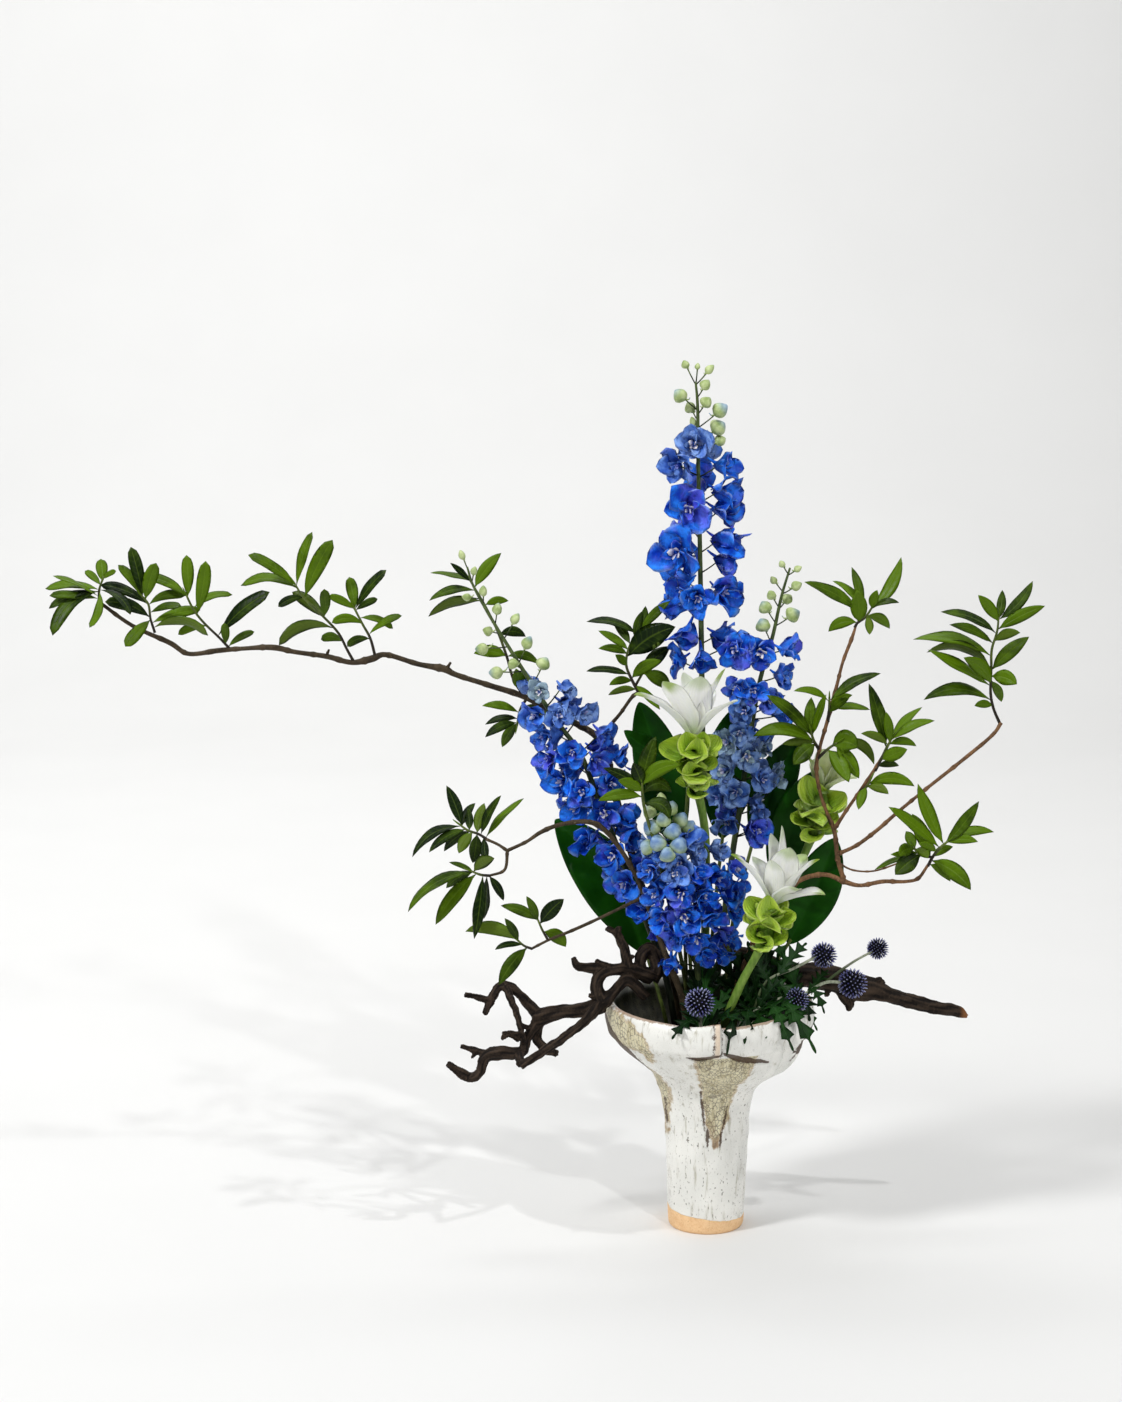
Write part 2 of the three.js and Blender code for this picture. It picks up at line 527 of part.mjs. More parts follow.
// Leafy shoots. Twigs are rows of u, v, w and radius that start inside the wood they grow from.
const SHOOTS = {
  shoot_left_tip: {
    twigs: [[[-608, 645, -5, 1.3], [-607, 658, -6, 1.2], [-602, 671, -8, 1]]],
    leaves: [
      [-606, 666, -605, 688, 14, 11, 0.02],
      [-608, 650, -653, 671, -12, 4, 0.05],
      [-607, 657, -661, 658, 10, 8, 0.08],
      [-607, 655, -658, 638, -6, 8, 0.1],
      [-607, 656, -655, 611, -20, 12, 0.16],
      [-604, 668, -590, 676, -16, 5, 0.05],
      [-607, 657, -577, 632, -24, 8, 0.15],
      [-607, 656, -618, 619, -26, 8, -0.1],
    ],
  },
  shoot_left_second: {
    twigs: [[[-553, 614, 1, 1.4], [-557, 628, 0, 1.2], [-559, 643, -1, 1.2], [-566, 652, -2, 1]]],
    leaves: [
      [-567, 650, -575, 700, 8, 12, 0.02],
      [-560, 648, -550, 684, -14, 13, 0.03],
      [-560, 642, -606, 662, 14, 10, 0.08],
      [-557, 629, -602, 645, -18, 12, 0.1],
      [-557, 642, -522, 651, 16, 9, 0.14],
      [-556, 634, -526, 641, -14, 7, 0.08],
      [-555, 624, -507, 637, 8, 10, 0.06],
      [-575, 622, -583, 600, -16, 12, 0.03],
    ],
  },
  shoot_left_third: {
    twigs: [
      [[-478, 597, 8, 1.5], [-489, 609, 6, 1.3], [-505, 625, 4, 1.3], [-514, 637, 2, 1.2], [-521, 652, 1, 1]],
    ],
    leaves: [
      [-520, 652, -520, 692, 10, 11.5, 0.02],
      [-507, 635, -501, 686, -12, 13, 0.02],
      [-521, 650, -571, 670, 12, 10, 0.12],
      [-510, 640, -475, 652, 16, 7, 0.14],
      [-490, 611, -438, 655, -10, 13, 0.06],
      [-479, 601, -454, 615, 14, 7, 0.08],
    ],
  },
  shoot_left_fourth: {
    twigs: [
      [
        [-355, 584, 20, 1.6], [-362, 597, 19, 1.4], [-370, 613, 17, 1.4], [-385, 630, 14, 1.3],
        [-405, 650, 10, 1.2], [-413, 663, 8, 1],
      ],
    ],
    leaves: [
      [-415, 666, -459, 692, -12, 10, 0.06],
      [-413, 665, -395, 715, 8, 9, 0.04],
      [-402, 650, -375, 707, -10, 15, 0.04],
      [-411, 657, -467, 661, 14, 9, 0.16],
      [-384, 628, -416, 655, 24, -12, 0.05],
      [-384, 630, -384, 658, -18, 10, 0.03],
      [-375, 618, -430, 601, -16, -11, 0.2],
    ],
  },
  shoot_left_knot: {
    twigs: [[[-334, 590, 22, 1.6], [-339, 609, 19, 1.4], [-346, 622, 16, 1.3], [-355, 640, 13, 1.1]]],
    leaves: [
      [-355, 640, -359, 670, 12, 11, 0.02],
      [-353, 640, -322, 677, -8, 9, 0.05],
      [-354, 636, -331, 648, 18, 7, 0.05],
      [-347, 622, -377, 624, -16, 9, 0.16],
      [-338, 613, -307, 631, -12, 7, 0.08],
      [-338, 608, -362, 600, 16, 8, 0.12],
    ],
  },
  shoot_by_delphinium: {
    twigs: [
      [
        [-185, 549, 35, 1.7], [-196, 566, 36, 1.5], [-203, 590, 37, 1.5], [-213, 618, 38, 1.4],
        [-226, 644, 38, 1.3], [-240, 668, 38, 1],
      ],
    ],
    leaves: [
      [-233, 660, -208, 694, 12, 12, 0.06],
      [-240, 668, -259, 684, -12, 6, 0.02],
      [-235, 655, -280, 646, -14, 8, 0.12],
      [-228, 645, -281, 630, 12, -10, 0.12],
      [-210, 612, -184, 610, 20, 10, 0.14],
      [-203, 590, -236, 593, -10, 12, 0.12],
      [-190, 556, -194, 578, -22, 13, 0.02],
      [-203, 590, -170, 582, 26, 9, 0.12],
    ],
  },
  shoot_under_delphinium: {
    twigs: [[[-183, 548, 35, 1.6], [-190, 536, 30, 1.3], [-193, 520, 24, 1.1]]],
    leaves: [
      [-191, 533, -228, 540, -12, 8, 0.1],
      [-193, 522, -225, 508, -14, 9, 0.1],
      [-193, 520, -208, 498, 14, 10, 0.05],
      [-188, 541, -160, 520, 26, -11, 0.1],
    ],
  },
  shoot_low_left_top: {
    twigs: [
      [[-224, 404, -60, 1.5], [-232, 409, -58, 1.3], [-243, 413, -56, 1.3], [-251, 419, -54, 1]],
    ],
    leaves: [
      [-250, 419, -264, 459, 12, 11, 0.03],
      [-250, 416, -299, 385, -10, 9, 0.16],
      [-240, 411, -267, 391, 14, 9, 0.1],
      [-238, 410, -252, 389, -22, -11, 0.06],
      [-233, 411, -238, 379, 10, 12, 0.02],
      [-227, 406, -226, 378, -16, 8, 0.02],
      [-249, 418, -235, 441, 18, 8, 0.08],
      [-233, 411, -226, 441, 16, -11, 0.03],
      [-229, 409, -209, 449, -12, 8, 0.05],
      [-225, 405, -186, 446, 10, 7, 0.05],
    ],
  },
  shoot_low_left_under: {
    twigs: [[[-220, 366, -73, 1.5], [-230, 367, -74, 1.3], [-240, 371, -76, 1]]],
    leaves: [
      [-240, 371, -262, 380, 8, 5, 0.05],
      [-238, 370, -304, 328, -12, 10, 0.14],
      [-239, 370, -265, 353, 18, 10, 0.08],
      [-234, 368, -276, 315, 6, 14, 0.05],
      [-240, 371, -216, 384, -22, -12, 0.1],
      [-228, 366, -237, 300, -14, 11, 0.02],
      [-224, 366, -227, 321, 14, 8, 0.02],
    ],
  },
  shoot_low_fork: {
    twigs: [
      [[-178, 290, -84, 1.4], [-186, 293, -85, 1.2], [-194, 300, -84, 1]],
    ],
    leaves: [
      [-190, 299, -246, 308, 12, -13, 0.16],
      [-186, 295, -216, 289, -18, 6, 0.1],
      [-183, 291, -212, 252, -8, 13, 0.06],
      [-193, 299, -206, 322, -14, 8, 0.03],
    ],
  },
  shoot_low_fork_side: {
    twigs: [[[-162, 299, -80, 1.4], [-168, 310, -78, 1.2], [-173, 322, -76, 1]]],
    leaves: [
      [-172, 320, -210, 335, 12, 10, 0.08],
      [-170, 316, -146, 342, -12, 14, 0.04],
      [-167, 308, -144, 292, 14, 13, 0.12],
      [-173, 322, -184, 345, -18, 8, 0.02],
    ],
  },
  shoot_upper_left: {
    twigs: [
      [[-71, 553, 22, 1.8], [-78, 566, 24, 1.6], [-84, 582, 26, 1.4], [-80, 602, 28, 1.3], [-68, 618, 30, 1]],
      [[-75, 560, 23, 1.5], [-66, 576, 22, 1.1]],
    ],
    leaves: [
      [-73, 612, -124, 625, 10, 8, 0.12],
      [-80, 602, -98, 628, 22, 9, 0.04],
      [-76, 608, -68, 636, -16, 8, 0.03],
      [-68, 618, -65, 641, 14, 8, 0.03],
      [-68, 618, -40, 646, -8, 9, 0.05],
      [-82, 590, -35, 620, -16, 24, 0.08],
      [-78, 568, -49, 586, -20, 12, 0.08],
      [-66, 576, -40, 600, 10, 14, 0.06],
      [-66, 572, -40, 556, 12, 14, 0.12],
      [-83, 570, -124, 575, -12, 7, 0.08],
      [-74, 556, -102, 551, -18, -7, 0.08],
      [-77, 561, -50, 536, -16, 8, 0.04],
    ],
  },
  shoot_right_top: {
    twigs: [
      [[143, 619, -5, 1.5], [146, 624, -5, 1.4], [153, 629, -5, 1.3], [161, 641, -5, 1]],
      [[147, 624, -5, 1.2], [151, 640, -2, 1]],
    ],
    leaves: [
      [148, 634, 92, 665, -14, 11, 0.06],
      [152, 640, 120, 666, 16, 7, 0.12],
      [147, 624, 145, 657, -18, 16, 0.02],
      [158, 637, 188, 690, 8, 12, -0.1],
      [161, 641, 187, 644, -12, 6, 0.14],
      [155, 632, 158, 612, -20, -8, 0.04],
      [146, 624, 117, 615, 12, 11, 0.16],
      [154, 631, 178, 618, 24, 10, 0.12],
    ],
  },
  shoot_right_middle: {
    twigs: [
      [[118, 524, -13, 1.7], [119, 536, -18, 1.4], [119, 548, -24, 1.1]],
    ],
    leaves: [
      [119, 544, 83, 555, -12, 7, 0.14],
      [119, 546, 170, 573, -14, 10, 0.08],
      [119, 538, 160, 536, -18, 7, 0.06],
      [119, 533, 139, 548, -26, 8, 0.05],
    ],
  },
  shoot_right_middle_left: {
    twigs: [[[110, 495, -16, 1.8], [104, 505, -22, 1.5], [101, 515, -28, 1.1]]],
    leaves: [
      [103, 508, 101, 549, 14, 12, -0.04],
      [103, 510, 116, 552, -16, 8, 0.02],
      [103, 508, 56, 551, -14, 12, 0.06],
      [105, 502, 43, 509, -18, 13, 0.16],
      [105, 502, 72, 501, -4, -8, 0.06],
      [105, 501, 84, 480, -20, 16, 0.05],
    ],
  },
  shoot_right_middle_right: {
    twigs: [[[108, 486, -17, 1.8], [118, 496, -22, 1.4], [128, 503, -28, 1.1]]],
    leaves: [
      [122, 499, 148, 497, -14, 22, 0.22],
      [127, 502, 165, 480, 12, -10, 0.24],
      [126, 501, 150, 466, -12, 14, 0.04],
      [118, 496, 140, 462, -26, 15, 0.06],
    ],
  },
  shoot_right_inner: {
    twigs: [
      [[166, 474, -38, 1.7], [172, 486, -41, 1.5], [177, 497, -43, 1.5], [182, 507, -45, 1]],
    ],
    leaves: [
      [176, 497, 158, 563, 8, 13, 0.02],
      [181, 504, 212, 539, 16, 8, 0.06],
      [181, 504, 225, 525, -12, 9, 0.1],
      [179, 500, 207, 499, 18, 8, 0.14],
      [172, 485, 198, 496, -18, 13, 0.02],
      [179, 500, 151, 512, -14, -8, 0.1],
    ],
  },
  shoot_right_fork: {
    twigs: [[[151, 453, -32, 1.6], [158, 458, -40, 1.3], [162, 466, -44, 1]]],
    leaves: [
      [159, 460, 206, 458, -10, 12, 0.16],
      [157, 458, 180, 450, -18, -9, 0.12],
      [158, 458, 150, 434, -22, 9, 0.04],
    ],
  },
  shoot_right_low: {
    twigs: [
      [[221, 376, -52, 1.7], [226, 386, -54, 1.5], [233, 395, -56, 1.4], [241, 402, -58, 1.1]],
      [[225, 385, -54, 1.5], [212, 388, -48, 1.3], [206, 396, -44, 1.1]],
    ],
    leaves: [
      [236, 399, 209, 461, 12, 13, -0.03],
      [236, 399, 271, 443, -12, 12, -0.04],
      [241, 402, 287, 411, 14, 10, 0.12],
      [232, 395, 180, 437, -10, 12, 0.03],
      [224, 388, 204, 430, 14, 14, 0.03],
      [206, 396, 192, 386, -20, 12, 0.14],
      [207, 394, 221, 384, -26, -10, 0.1],
      [224, 382, 265, 351, -12, 16, 0.1],
      [214, 387, 188, 367, -16, 17, 0.05],
      [206, 396, 198, 412, 18, 10, 0.03],
    ],
  },
  shoot_far_right: {
    twigs: [
      [
        [290, 522, 61, 1.7], [283, 538, 60, 1.5], [280, 552, 59, 1.5], [280, 579, 57, 1.4],
        [280, 597, 55, 1.3], [285, 616, 53, 1.2], [286, 630, 52, 1],
      ],
    ],
    leaves: [
      [285, 625, 265, 652, -12, 11, 0.04],
      [286, 627, 319, 666, 10, 11, -0.08],
      [285, 617, 332, 641, -12, 12, 0.04],
      [284, 613, 228, 635, 12, 9, 0.1],
      [282, 605, 308, 614, -24, -10, 0.1],
      [280, 576, 317, 610, 10, 14, 0.04],
      [280, 570, 306, 562, -20, 15, 0.1],
      [280, 566, 291, 544, 18, 9, 0.05],
      [280, 577, 215, 594, 14, -10, 0.22],
      [280, 590, 201, 607, 22, 11, 0.12],
      [279, 562, 252, 589, -24, 15, 0.1],
      [279, 560, 216, 597, -10, 10, 0.02],
      [281, 545, 213, 546, -14, 12, 0.16],
    ],
  },
};
const TWIG_SIDES = 3;

// The shoot in front of the centre stands in the vase on a stem of its own
const FRONT_SHOOT = {
  stem: [
    [-22, 250, -18, 2.2],
    [-36, 320, -38, 2],
    [-52, 390, -62, 1.9],
    [-66, 440, -74, 1.6],
    [-68, 462, -78, 1.2],
  ],
  leaves: [
    [-67, 460, -54, 509, 6, 11, 0.04],
    [-68, 460, -77, 482, -10, 9, 0.03],
    [-68, 456, -107, 477, 12, 7, 0.05],
    [-67, 452, -92, 464, -14, 8, 0.08],
    [-67, 458, -32, 477, -10, 9, 0.16],
    [-66, 450, -36, 462, 14, 8, 0.14],
    [-66, 447, -112, 443, -14, 8, 0.1],
  ],
};

// Broad dark leaves: the stalk's rows, then tip, width and the depth of the blade's bulge
const BROAD_LEAVES = {
  broad_leaf_low_left: {
    stalk: [[-46, 230, 14, 2], [-64, 290, 40, 1.8]],
    tip: [-155, 424, 50],
    width: 62,
    bulge: -0.1,
    tilt: 8,
  },
  broad_leaf_high_left: {
    stalk: [[-20, 300, 48, 2], [-34, 400, 58, 1.8]],
    tip: [-71, 544, 58],
    width: 52,
    bulge: -0.06,
    tilt: -8,
  },
  broad_leaf_level: {
    stalk: [[-22, 260, 6, 2], [-24, 400, 2, 1.8], [-20, 486, -8, 1.6]],
    tip: [-86, 515, -22],
    width: 26,
    bulge: 0.16,
    tilt: 20,
  },
  broad_leaf_high_right: {
    stalk: [[4, 300, 50, 2], [14, 410, 62, 1.8]],
    tip: [34, 545, 60],
    width: 56,
    bulge: 0.06,
    tilt: 6,
  },
  broad_leaf_upper_right: {
    stalk: [[22, 300, 46, 2], [46, 410, 76, 1.8]],
    tip: [88, 507, 76],
    width: 44,
    bulge: 0.04,
    tilt: -8,
  },
  broad_leaf_mid_right: {
    stalk: [[42, 270, 34, 2], [66, 372, 48, 1.8]],
    tip: [113, 476, 50],
    width: 50,
    bulge: 0.04,
    tilt: 6,
  },
  broad_leaf_low_right: {
    stalk: [[52, 245, 24, 2], [84, 300, 30, 1.8]],
    tip: [127, 405, 36],
    width: 50,
    bulge: -0.06,
    tilt: -6,
  },
};
const BROAD_SAG = 8; // how far the middle of a broad leaf bends away from the viewer
const BROAD_RIB = 0.9;
const BROAD_LEAF = [
  [0.06, 0.22],
  [0.22, 0.76],
  [0.42, 1],
  [0.64, 0.9],
  [0.84, 0.5],
];

// Delphiniums: stem rows, then florets as u, v, depth from the stem, size, azimuth, tilt, and buds as
// u, v, depth, length and radius. The spiral adds the florets that the viewer doesn't see.
const DELPHINIUMS = {
  delphinium_tall: {
    stem: [
      [-4, 280, 22, 3.2],
      [-5, 380, 26, 3.1],
      [-7, 480, 24, 3],
      [-9, 592, 20, 2.8],
      [-12, 720, 15, 2.2],
      [-14, 790, 13, 1.9],
      [-15, 843, 11, 1.5],
      [-17, 863, 10, 1.1],
    ],
    florets: [
      [-19, 801, -15, 39, -10, 5],
      [-35, 780, -12, 34, -30, -12],
      [12, 781, -5, 32, 65, 0],
      [12, 756, -8, 31, 60, 5],
      [-23, 738, -19, 44, -5, 0],
      [13, 735, 2, 36, 70, -5],
      [-36, 694, -13, 48, -18, 0],
      [12, 707, -10, 36, 55, 0],
      [-29, 657, -9, 36, -50, -15],
      [14, 654, -10, 44, 45, -5],
      [-36, 586, -4, 34, -80, -5],
      [21, 600, -8, 36, 40, -5],
    ],
    buds: [
      [-27, 880, -2, 9, 3.6],
      [-15, 878, 2, 7, 2.4],
      [-3, 875, -2, 12, 3.6],
      [-7, 860, -3, 12, 4.8],
      [-32, 850, -2, 15, 6.4],
      [-6, 843, -3, 12, 5.4],
      [8, 835, -2, 17, 6.8],
      [6, 818, 4, 16, 7.6],
      [8, 805, 7, 12, 5],
    ],
    spiral: { from: 610, to: 800, count: 3, radius: 22, size: 34, away: [105, 255] },
  },
  delphinium_left: {
    stem: [
      [-42, 258, -7, 3.3],
      [-73, 345, -4, 3.1],
      [-92, 395, 0, 3],
      [-110, 440, 2, 2.8],
      [-130, 492, 3, 2.6],
      [-150, 520, 3, 2.4],
      [-181, 567, 3, 2.1],
      [-236, 661, 3, 1.3],
      [-242, 680, 3, 1],
    ],
    florets: [
      [-171, 554, -16, 24, -10, 5],
      [-146, 558, -10, 24, 40, -10],
      [-176, 530, -14, 30, -30, 0],
      [-168, 508, -10, 30, -45, -5],
      [-125, 533, -8, 28, 50, -10],
      [-106, 512, -4, 28, 60, -15],
      [-164, 486, -10, 34, -45, -5],
      [-138, 492, -20, 30, -5, 0],
      [-112, 484, -12, 32, 35, -5],
      [-150, 462, -12, 36, -45, 0],
      [-98, 460, -14, 30, 30, 0],
      [-136, 436, -10, 34, -40, -10],
      [-120, 404, -16, 34, -35, -5],
      [-82, 408, -14, 30, 40, 0],
      [-86, 356, -22, 34, -30, -10],
      [-66, 374, -12, 30, 20, 0],
      [-50, 312, -14, 26, -30, -25],
    ],
    buds: [
      [-247, 692, 0, 11, 3],
      [-235, 676, -3, 10, 3],
      [-243, 650, 4, 10, 3.4],
      [-212, 638, -3, 13, 4.4],
      [-194, 628, 2, 13, 4],
      [-222, 616, 5, 11, 4.4],
      [-228, 598, -4, 14, 5.2],
      [-182, 604, -3, 15, 5],
      [-166, 583, 2, 14, 6.4],
      [-214, 574, -5, 15, 5.6],
    ],
    spiral: { from: 380, to: 545, count: 3, radius: 22, size: 32, away: [100, 260] },
  },
  delphinium_right: {
    stem: [
      [10, 262, 18, 3.3],
      [24, 390, 20, 3.1],
      [31, 437, 19, 3],
      [35, 470, 18, 2.8],
      [41, 515, 16, 2.6],
      [50, 568, 13, 2.3],
      [62, 612, 10, 1.9],
      [70, 651, 8, 1.5],
      [78, 679, 6, 1.1],
    ],
    florets: [
      [24, 597, -20, 38, 0, 0],
      [50, 594, -18, 36, 5, 0],
      [77, 597, -6, 32, 65, 5],
      [73, 570, -8, 32, 60, 0],
      [26, 557, -18, 26, -20, 0],
      [60, 545, -16, 30, 20, 0],
      [72, 530, -8, 28, 60, 0],
      [16, 503, -16, 30, -35, 0],
      [13, 474, -14, 30, -45, 0],
      [37, 488, -22, 28, 5, 0],
      [70, 470, -6, 30, 70, 0],
      [54, 464, -18, 28, 25, 0],
      [26, 452, -22, 30, -10, 0],
      [50, 434, -16, 26, 20, -30],
      [17, 420, -22, 30, -15, -20],
      [49, 412, -14, 32, 30, 0],
    ],
    buds: [
      [86, 678, -2, 9, 3],
      [70, 683, -2, 8, 3],
      [85, 661, -3, 12, 4.4],
      [62, 667, 3, 9, 3.2],
      [60, 652, -4, 11, 4.2],
      [82, 632, -4, 15, 7],
      [54, 640, -4, 14, 6],
      [52, 622, -6, 15, 6.6],
    ],
    spiral: { from: 405, to: 600, count: 3, radius: 20, size: 32, away: [100, 260] },
  },
  delphinium_front: {
    stem: [
      [-9, 252, -30, 3.2],
      [-16, 320, -44, 3],
      [-24, 355, -50, 2.8],
      [-32, 390, -54, 2.5],
      [-41, 420, -56, 2],
      [-46, 438, -57, 1.4],
    ],
    florets: [
      [-64, 398, -8, 24, -50, 0],
      [-46, 388, -18, 22, -15, 0],
      [-60, 372, -14, 26, -40, 0],
      [-34, 368, -22, 28, 0, 0],
      [-12, 368, -18, 26, 35, 0],
      [8, 392, 4, 30, 50, 0],
      [10, 362, -6, 34, 50, 0],
      [-54, 346, -16, 28, -35, 0],
      [-28, 346, -22, 28, 0, 0],
      [-4, 344, -18, 28, 30, 0],
      [22, 344, 2, 32, 55, 0],
      [-48, 322, -16, 28, -40, -5],
      [2, 322, -18, 30, 30, -5],
      [-12, 300, -22, 28, 5, -15],
      [16, 306, -10, 28, 50, -10],
      [14, 284, -8, 24, 50, -30],
    ],
    buds: [
      [-60, 432, -4, 13, 4.6],
      [-58, 418, -6, 16, 6],
      [-38, 436, -5, 14, 5],
      [-30, 424, -6, 14, 5],
      [-48, 446, 4, 11, 3.6],
      [-36, 412, -12, 16, 6],
      [-52, 404, -14, 14, 5.4],
    ],
    spiral: { from: 292, to: 400, count: 2, radius: 20, size: 28, away: [100, 260] },
  },
};
const STALK_RADIUS = 0.9;
const STALK_DROP = 0.3; // how far below its floret a stalk leaves the stem, as a share of the floret's size
const GOLDEN_ANGLE = 137.5;

// Curcumas: stem rows, the crown's white petals as tip u, v, depth and width, and the green bracts as
// tip u, v, depth, width and the share of the bract cone's height where each one leaves it
const CURCUMAS = {
  curcuma_top: {
    stem: [
      [-3, 270, -6, 4.4],
      [-3, 350, -14, 4.3],
      [-4, 410, -28, 4.2],
      [-10, 446, -42, 4.4],
      [-16, 470, -50, 7],
      [-17, 492, -52, 10],
      [-17, 507, -52, 7],
    ],
    petals: [
      [-76, 551, -14, 22, 0.16],
      [-46, 565, -34, 24, 0.06],
      [-27, 574, -6, 26, 0.02],
      [-10, 570, -30, 24, 0.02],
      [15, 578, -8, 20, 0.04],
      [28, 545, -24, 16, 0.12],
      [-38, 560, 26, 22, 0.06],
      [-14, 552, 6, 18, 0.02],
    ],
    bracts: [
      [-50, 502, -6, 30, 0.9],
      [-6, 514, -24, 20, 0.95],
      [8, 510, 4, 22, 0.9],
      [-34, 484, -24, 26, 0.6],
      [6, 488, -12, 24, 0.65],
      [-30, 468, 8, 24, 0.3],
      [-22, 456, -22, 24, 0.1],
    ],
  },
  curcuma_front: {
    stem: [
      [16, 208, -66, 4.2],
      [28, 240, -74, 4.2],
      [37, 260, -78, 4.2],
      [51, 287, -82, 4.6],
      [57, 303, -84, 8],
      [61, 322, -85, 11],
      [65, 337, -85, 7],
    ],
    petals: [
      [22, 388, -14, 16, 0.1],
      [62, 410, 16, 18, 0.02],
      [73, 418, 4, 18, 0.02],
      [82, 395, -18, 22, 0.02],
      [112, 383, -10, 16, 0.12],
      [118, 346, -14, 22, 0.1],
      [98, 388, 28, 18, 0.06],
      [92, 352, -30, 16, 0.08],
    ],
    bracts: [
      [40, 345, -12, 22, 0.9],
      [88, 328, -14, 24, 0.8],
      [58, 326, -30, 30, 0.6],
      [42, 316, -18, 20, 0.35],
      [80, 309, -20, 24, 0.3],
      [78, 322, 22, 26, 0.6],
    ],
  },
  curcuma_back: {
    stem: [
      [38, 262, 10, 4],
      [66, 322, 10, 3.9],
      [92, 378, 10, 3.9],
      [101, 400, 9, 4.6],
      [107, 420, 8, 9],
      [111, 440, 8, 11],
      [114, 455, 8, 7],
    ],
    petals: [
      [98, 488, -6, 18, 0.04],
      [116, 496, -12, 22, 0.02],
      [136, 486, -4, 20, 0.08],
      [148, 466, -10, 20, 0.12],
      [106, 486, 22, 20, 0.04],
    ],
    bracts: [
      [82, 430, -12, 24, 0.5],
      [98, 470, -8, 22, 0.95],
      [108, 434, -28, 28, 0.55],
      [136, 452, -12, 26, 0.8],
      [128, 432, -18, 24, 0.4],
      [132, 446, 22, 26, 0.7],
    ],
  },
};
const BRACT_SPAN = 0.8; // share of the cone's height that carries bracts
const CURCUMA_SIDES = 6;
const CROWN_RADIUS = 5;
const CROWN_HEIGHT = 14;
const SEAT_RISE = 5; // how far above the top of the cone the petals start
const PETAL_RIB = 1;
const BRACT_RIB = 1.1;
const PETAL = [
  [0.38, 0.85],
  [0.76, 0.95],
];
const BRACT = [
  [0.36, 0.9],
  [0.8, 0.98],
];

// Globe thistle heads: u, v, w and radius
const HEADS = {
  thistle_head_centre: [-8, 233.7, -88, 15.5],
  thistle_head_front: [90.4, 236.4, -52, 13],
  thistle_head_upper: [117.6, 283.6, -26, 13.8],
  thistle_head_lower: [147, 254, -34, 15.6],
  thistle_head_far: [172, 290.3, 0, 11.6],
};

// Globe thistle greens: stalks that start at the needles or inside a stem of the same node, then lobed leaves
// as base u and v, tip u and v, depth of the tip, width seen and bulge
const THISTLES = {
  thistle_centre: {
    stem: [[-5, 190, -58, 1.8], [-7, 212, -78, 1.7], [-8, 226, -87, 1.6]],
    stalks: [],
    leaves: [
      [-7, 214, -36, 195, -36, 17, 0.16],
      [-6, 200, 36, 214, -34, 18, 0.2],
      [-5, 196, 22, 238, 14, 18, 0.1],
    ],
  },
  thistle_front: {
    stem: [[34, 212, -46, 1.9], [46, 224, -48, 1.8], [60, 232, -50, 1.7], [78, 239, -52, 1.6], [88, 238, -52, 1.5]],
    stalks: [
      [[45, 222, -48, 1.6], [60, 256, -42, 1.5], [86, 269, -33, 1.5], [112, 283, -27, 1.4]],
    ],
    leaves: [
      [37, 215, 20, 178, -70, 17, 0.34],
      [58, 231, 111, 180, -36, 22, 0.24],
      [52, 228, 88, 182, -42, 18, 0.2],
      [60, 254, 96, 232, -10, 18, 0.14],
      [70, 262, 100, 296, 10, 20, 0.06],
      [48, 228, 30, 256, -12, 20, 0.05],
    ],
  },
  thistle_right: {
    stem: [[42, 208, -20, 1.9], [80, 228, -26, 1.8], [104, 246, -32, 1.7], [120, 255, -34, 1.6], [136, 255, -34, 1.5]],
    stalks: [
      [[119, 255, -34, 1.5], [137, 269, -20, 1.4], [150, 278, -12, 1.3], [166, 287, -3, 1.3]],
    ],
    leaves: [
      [100, 244, 119, 222, -14, 14, 0.4],
      [84, 231, 112, 204, 12, 16, 0.2],
      [64, 220, 60, 262, 10, 20, 0.04],
      [80, 228, 92, 268, 14, 20, 0.04],
      [52, 214, 34, 240, 14, 18, 0.05],
    ],
  },
};
const THISTLE_CLEARANCE = 1.6; // the toothed edges need more reach for the same clearance
const THISTLE_LEAF = [
  [0.1, 0.18, 0],
  [0.36, 1, 0.2],
  [0.48, 0.3, 0],
  [0.72, 0.86, 0.16],
];

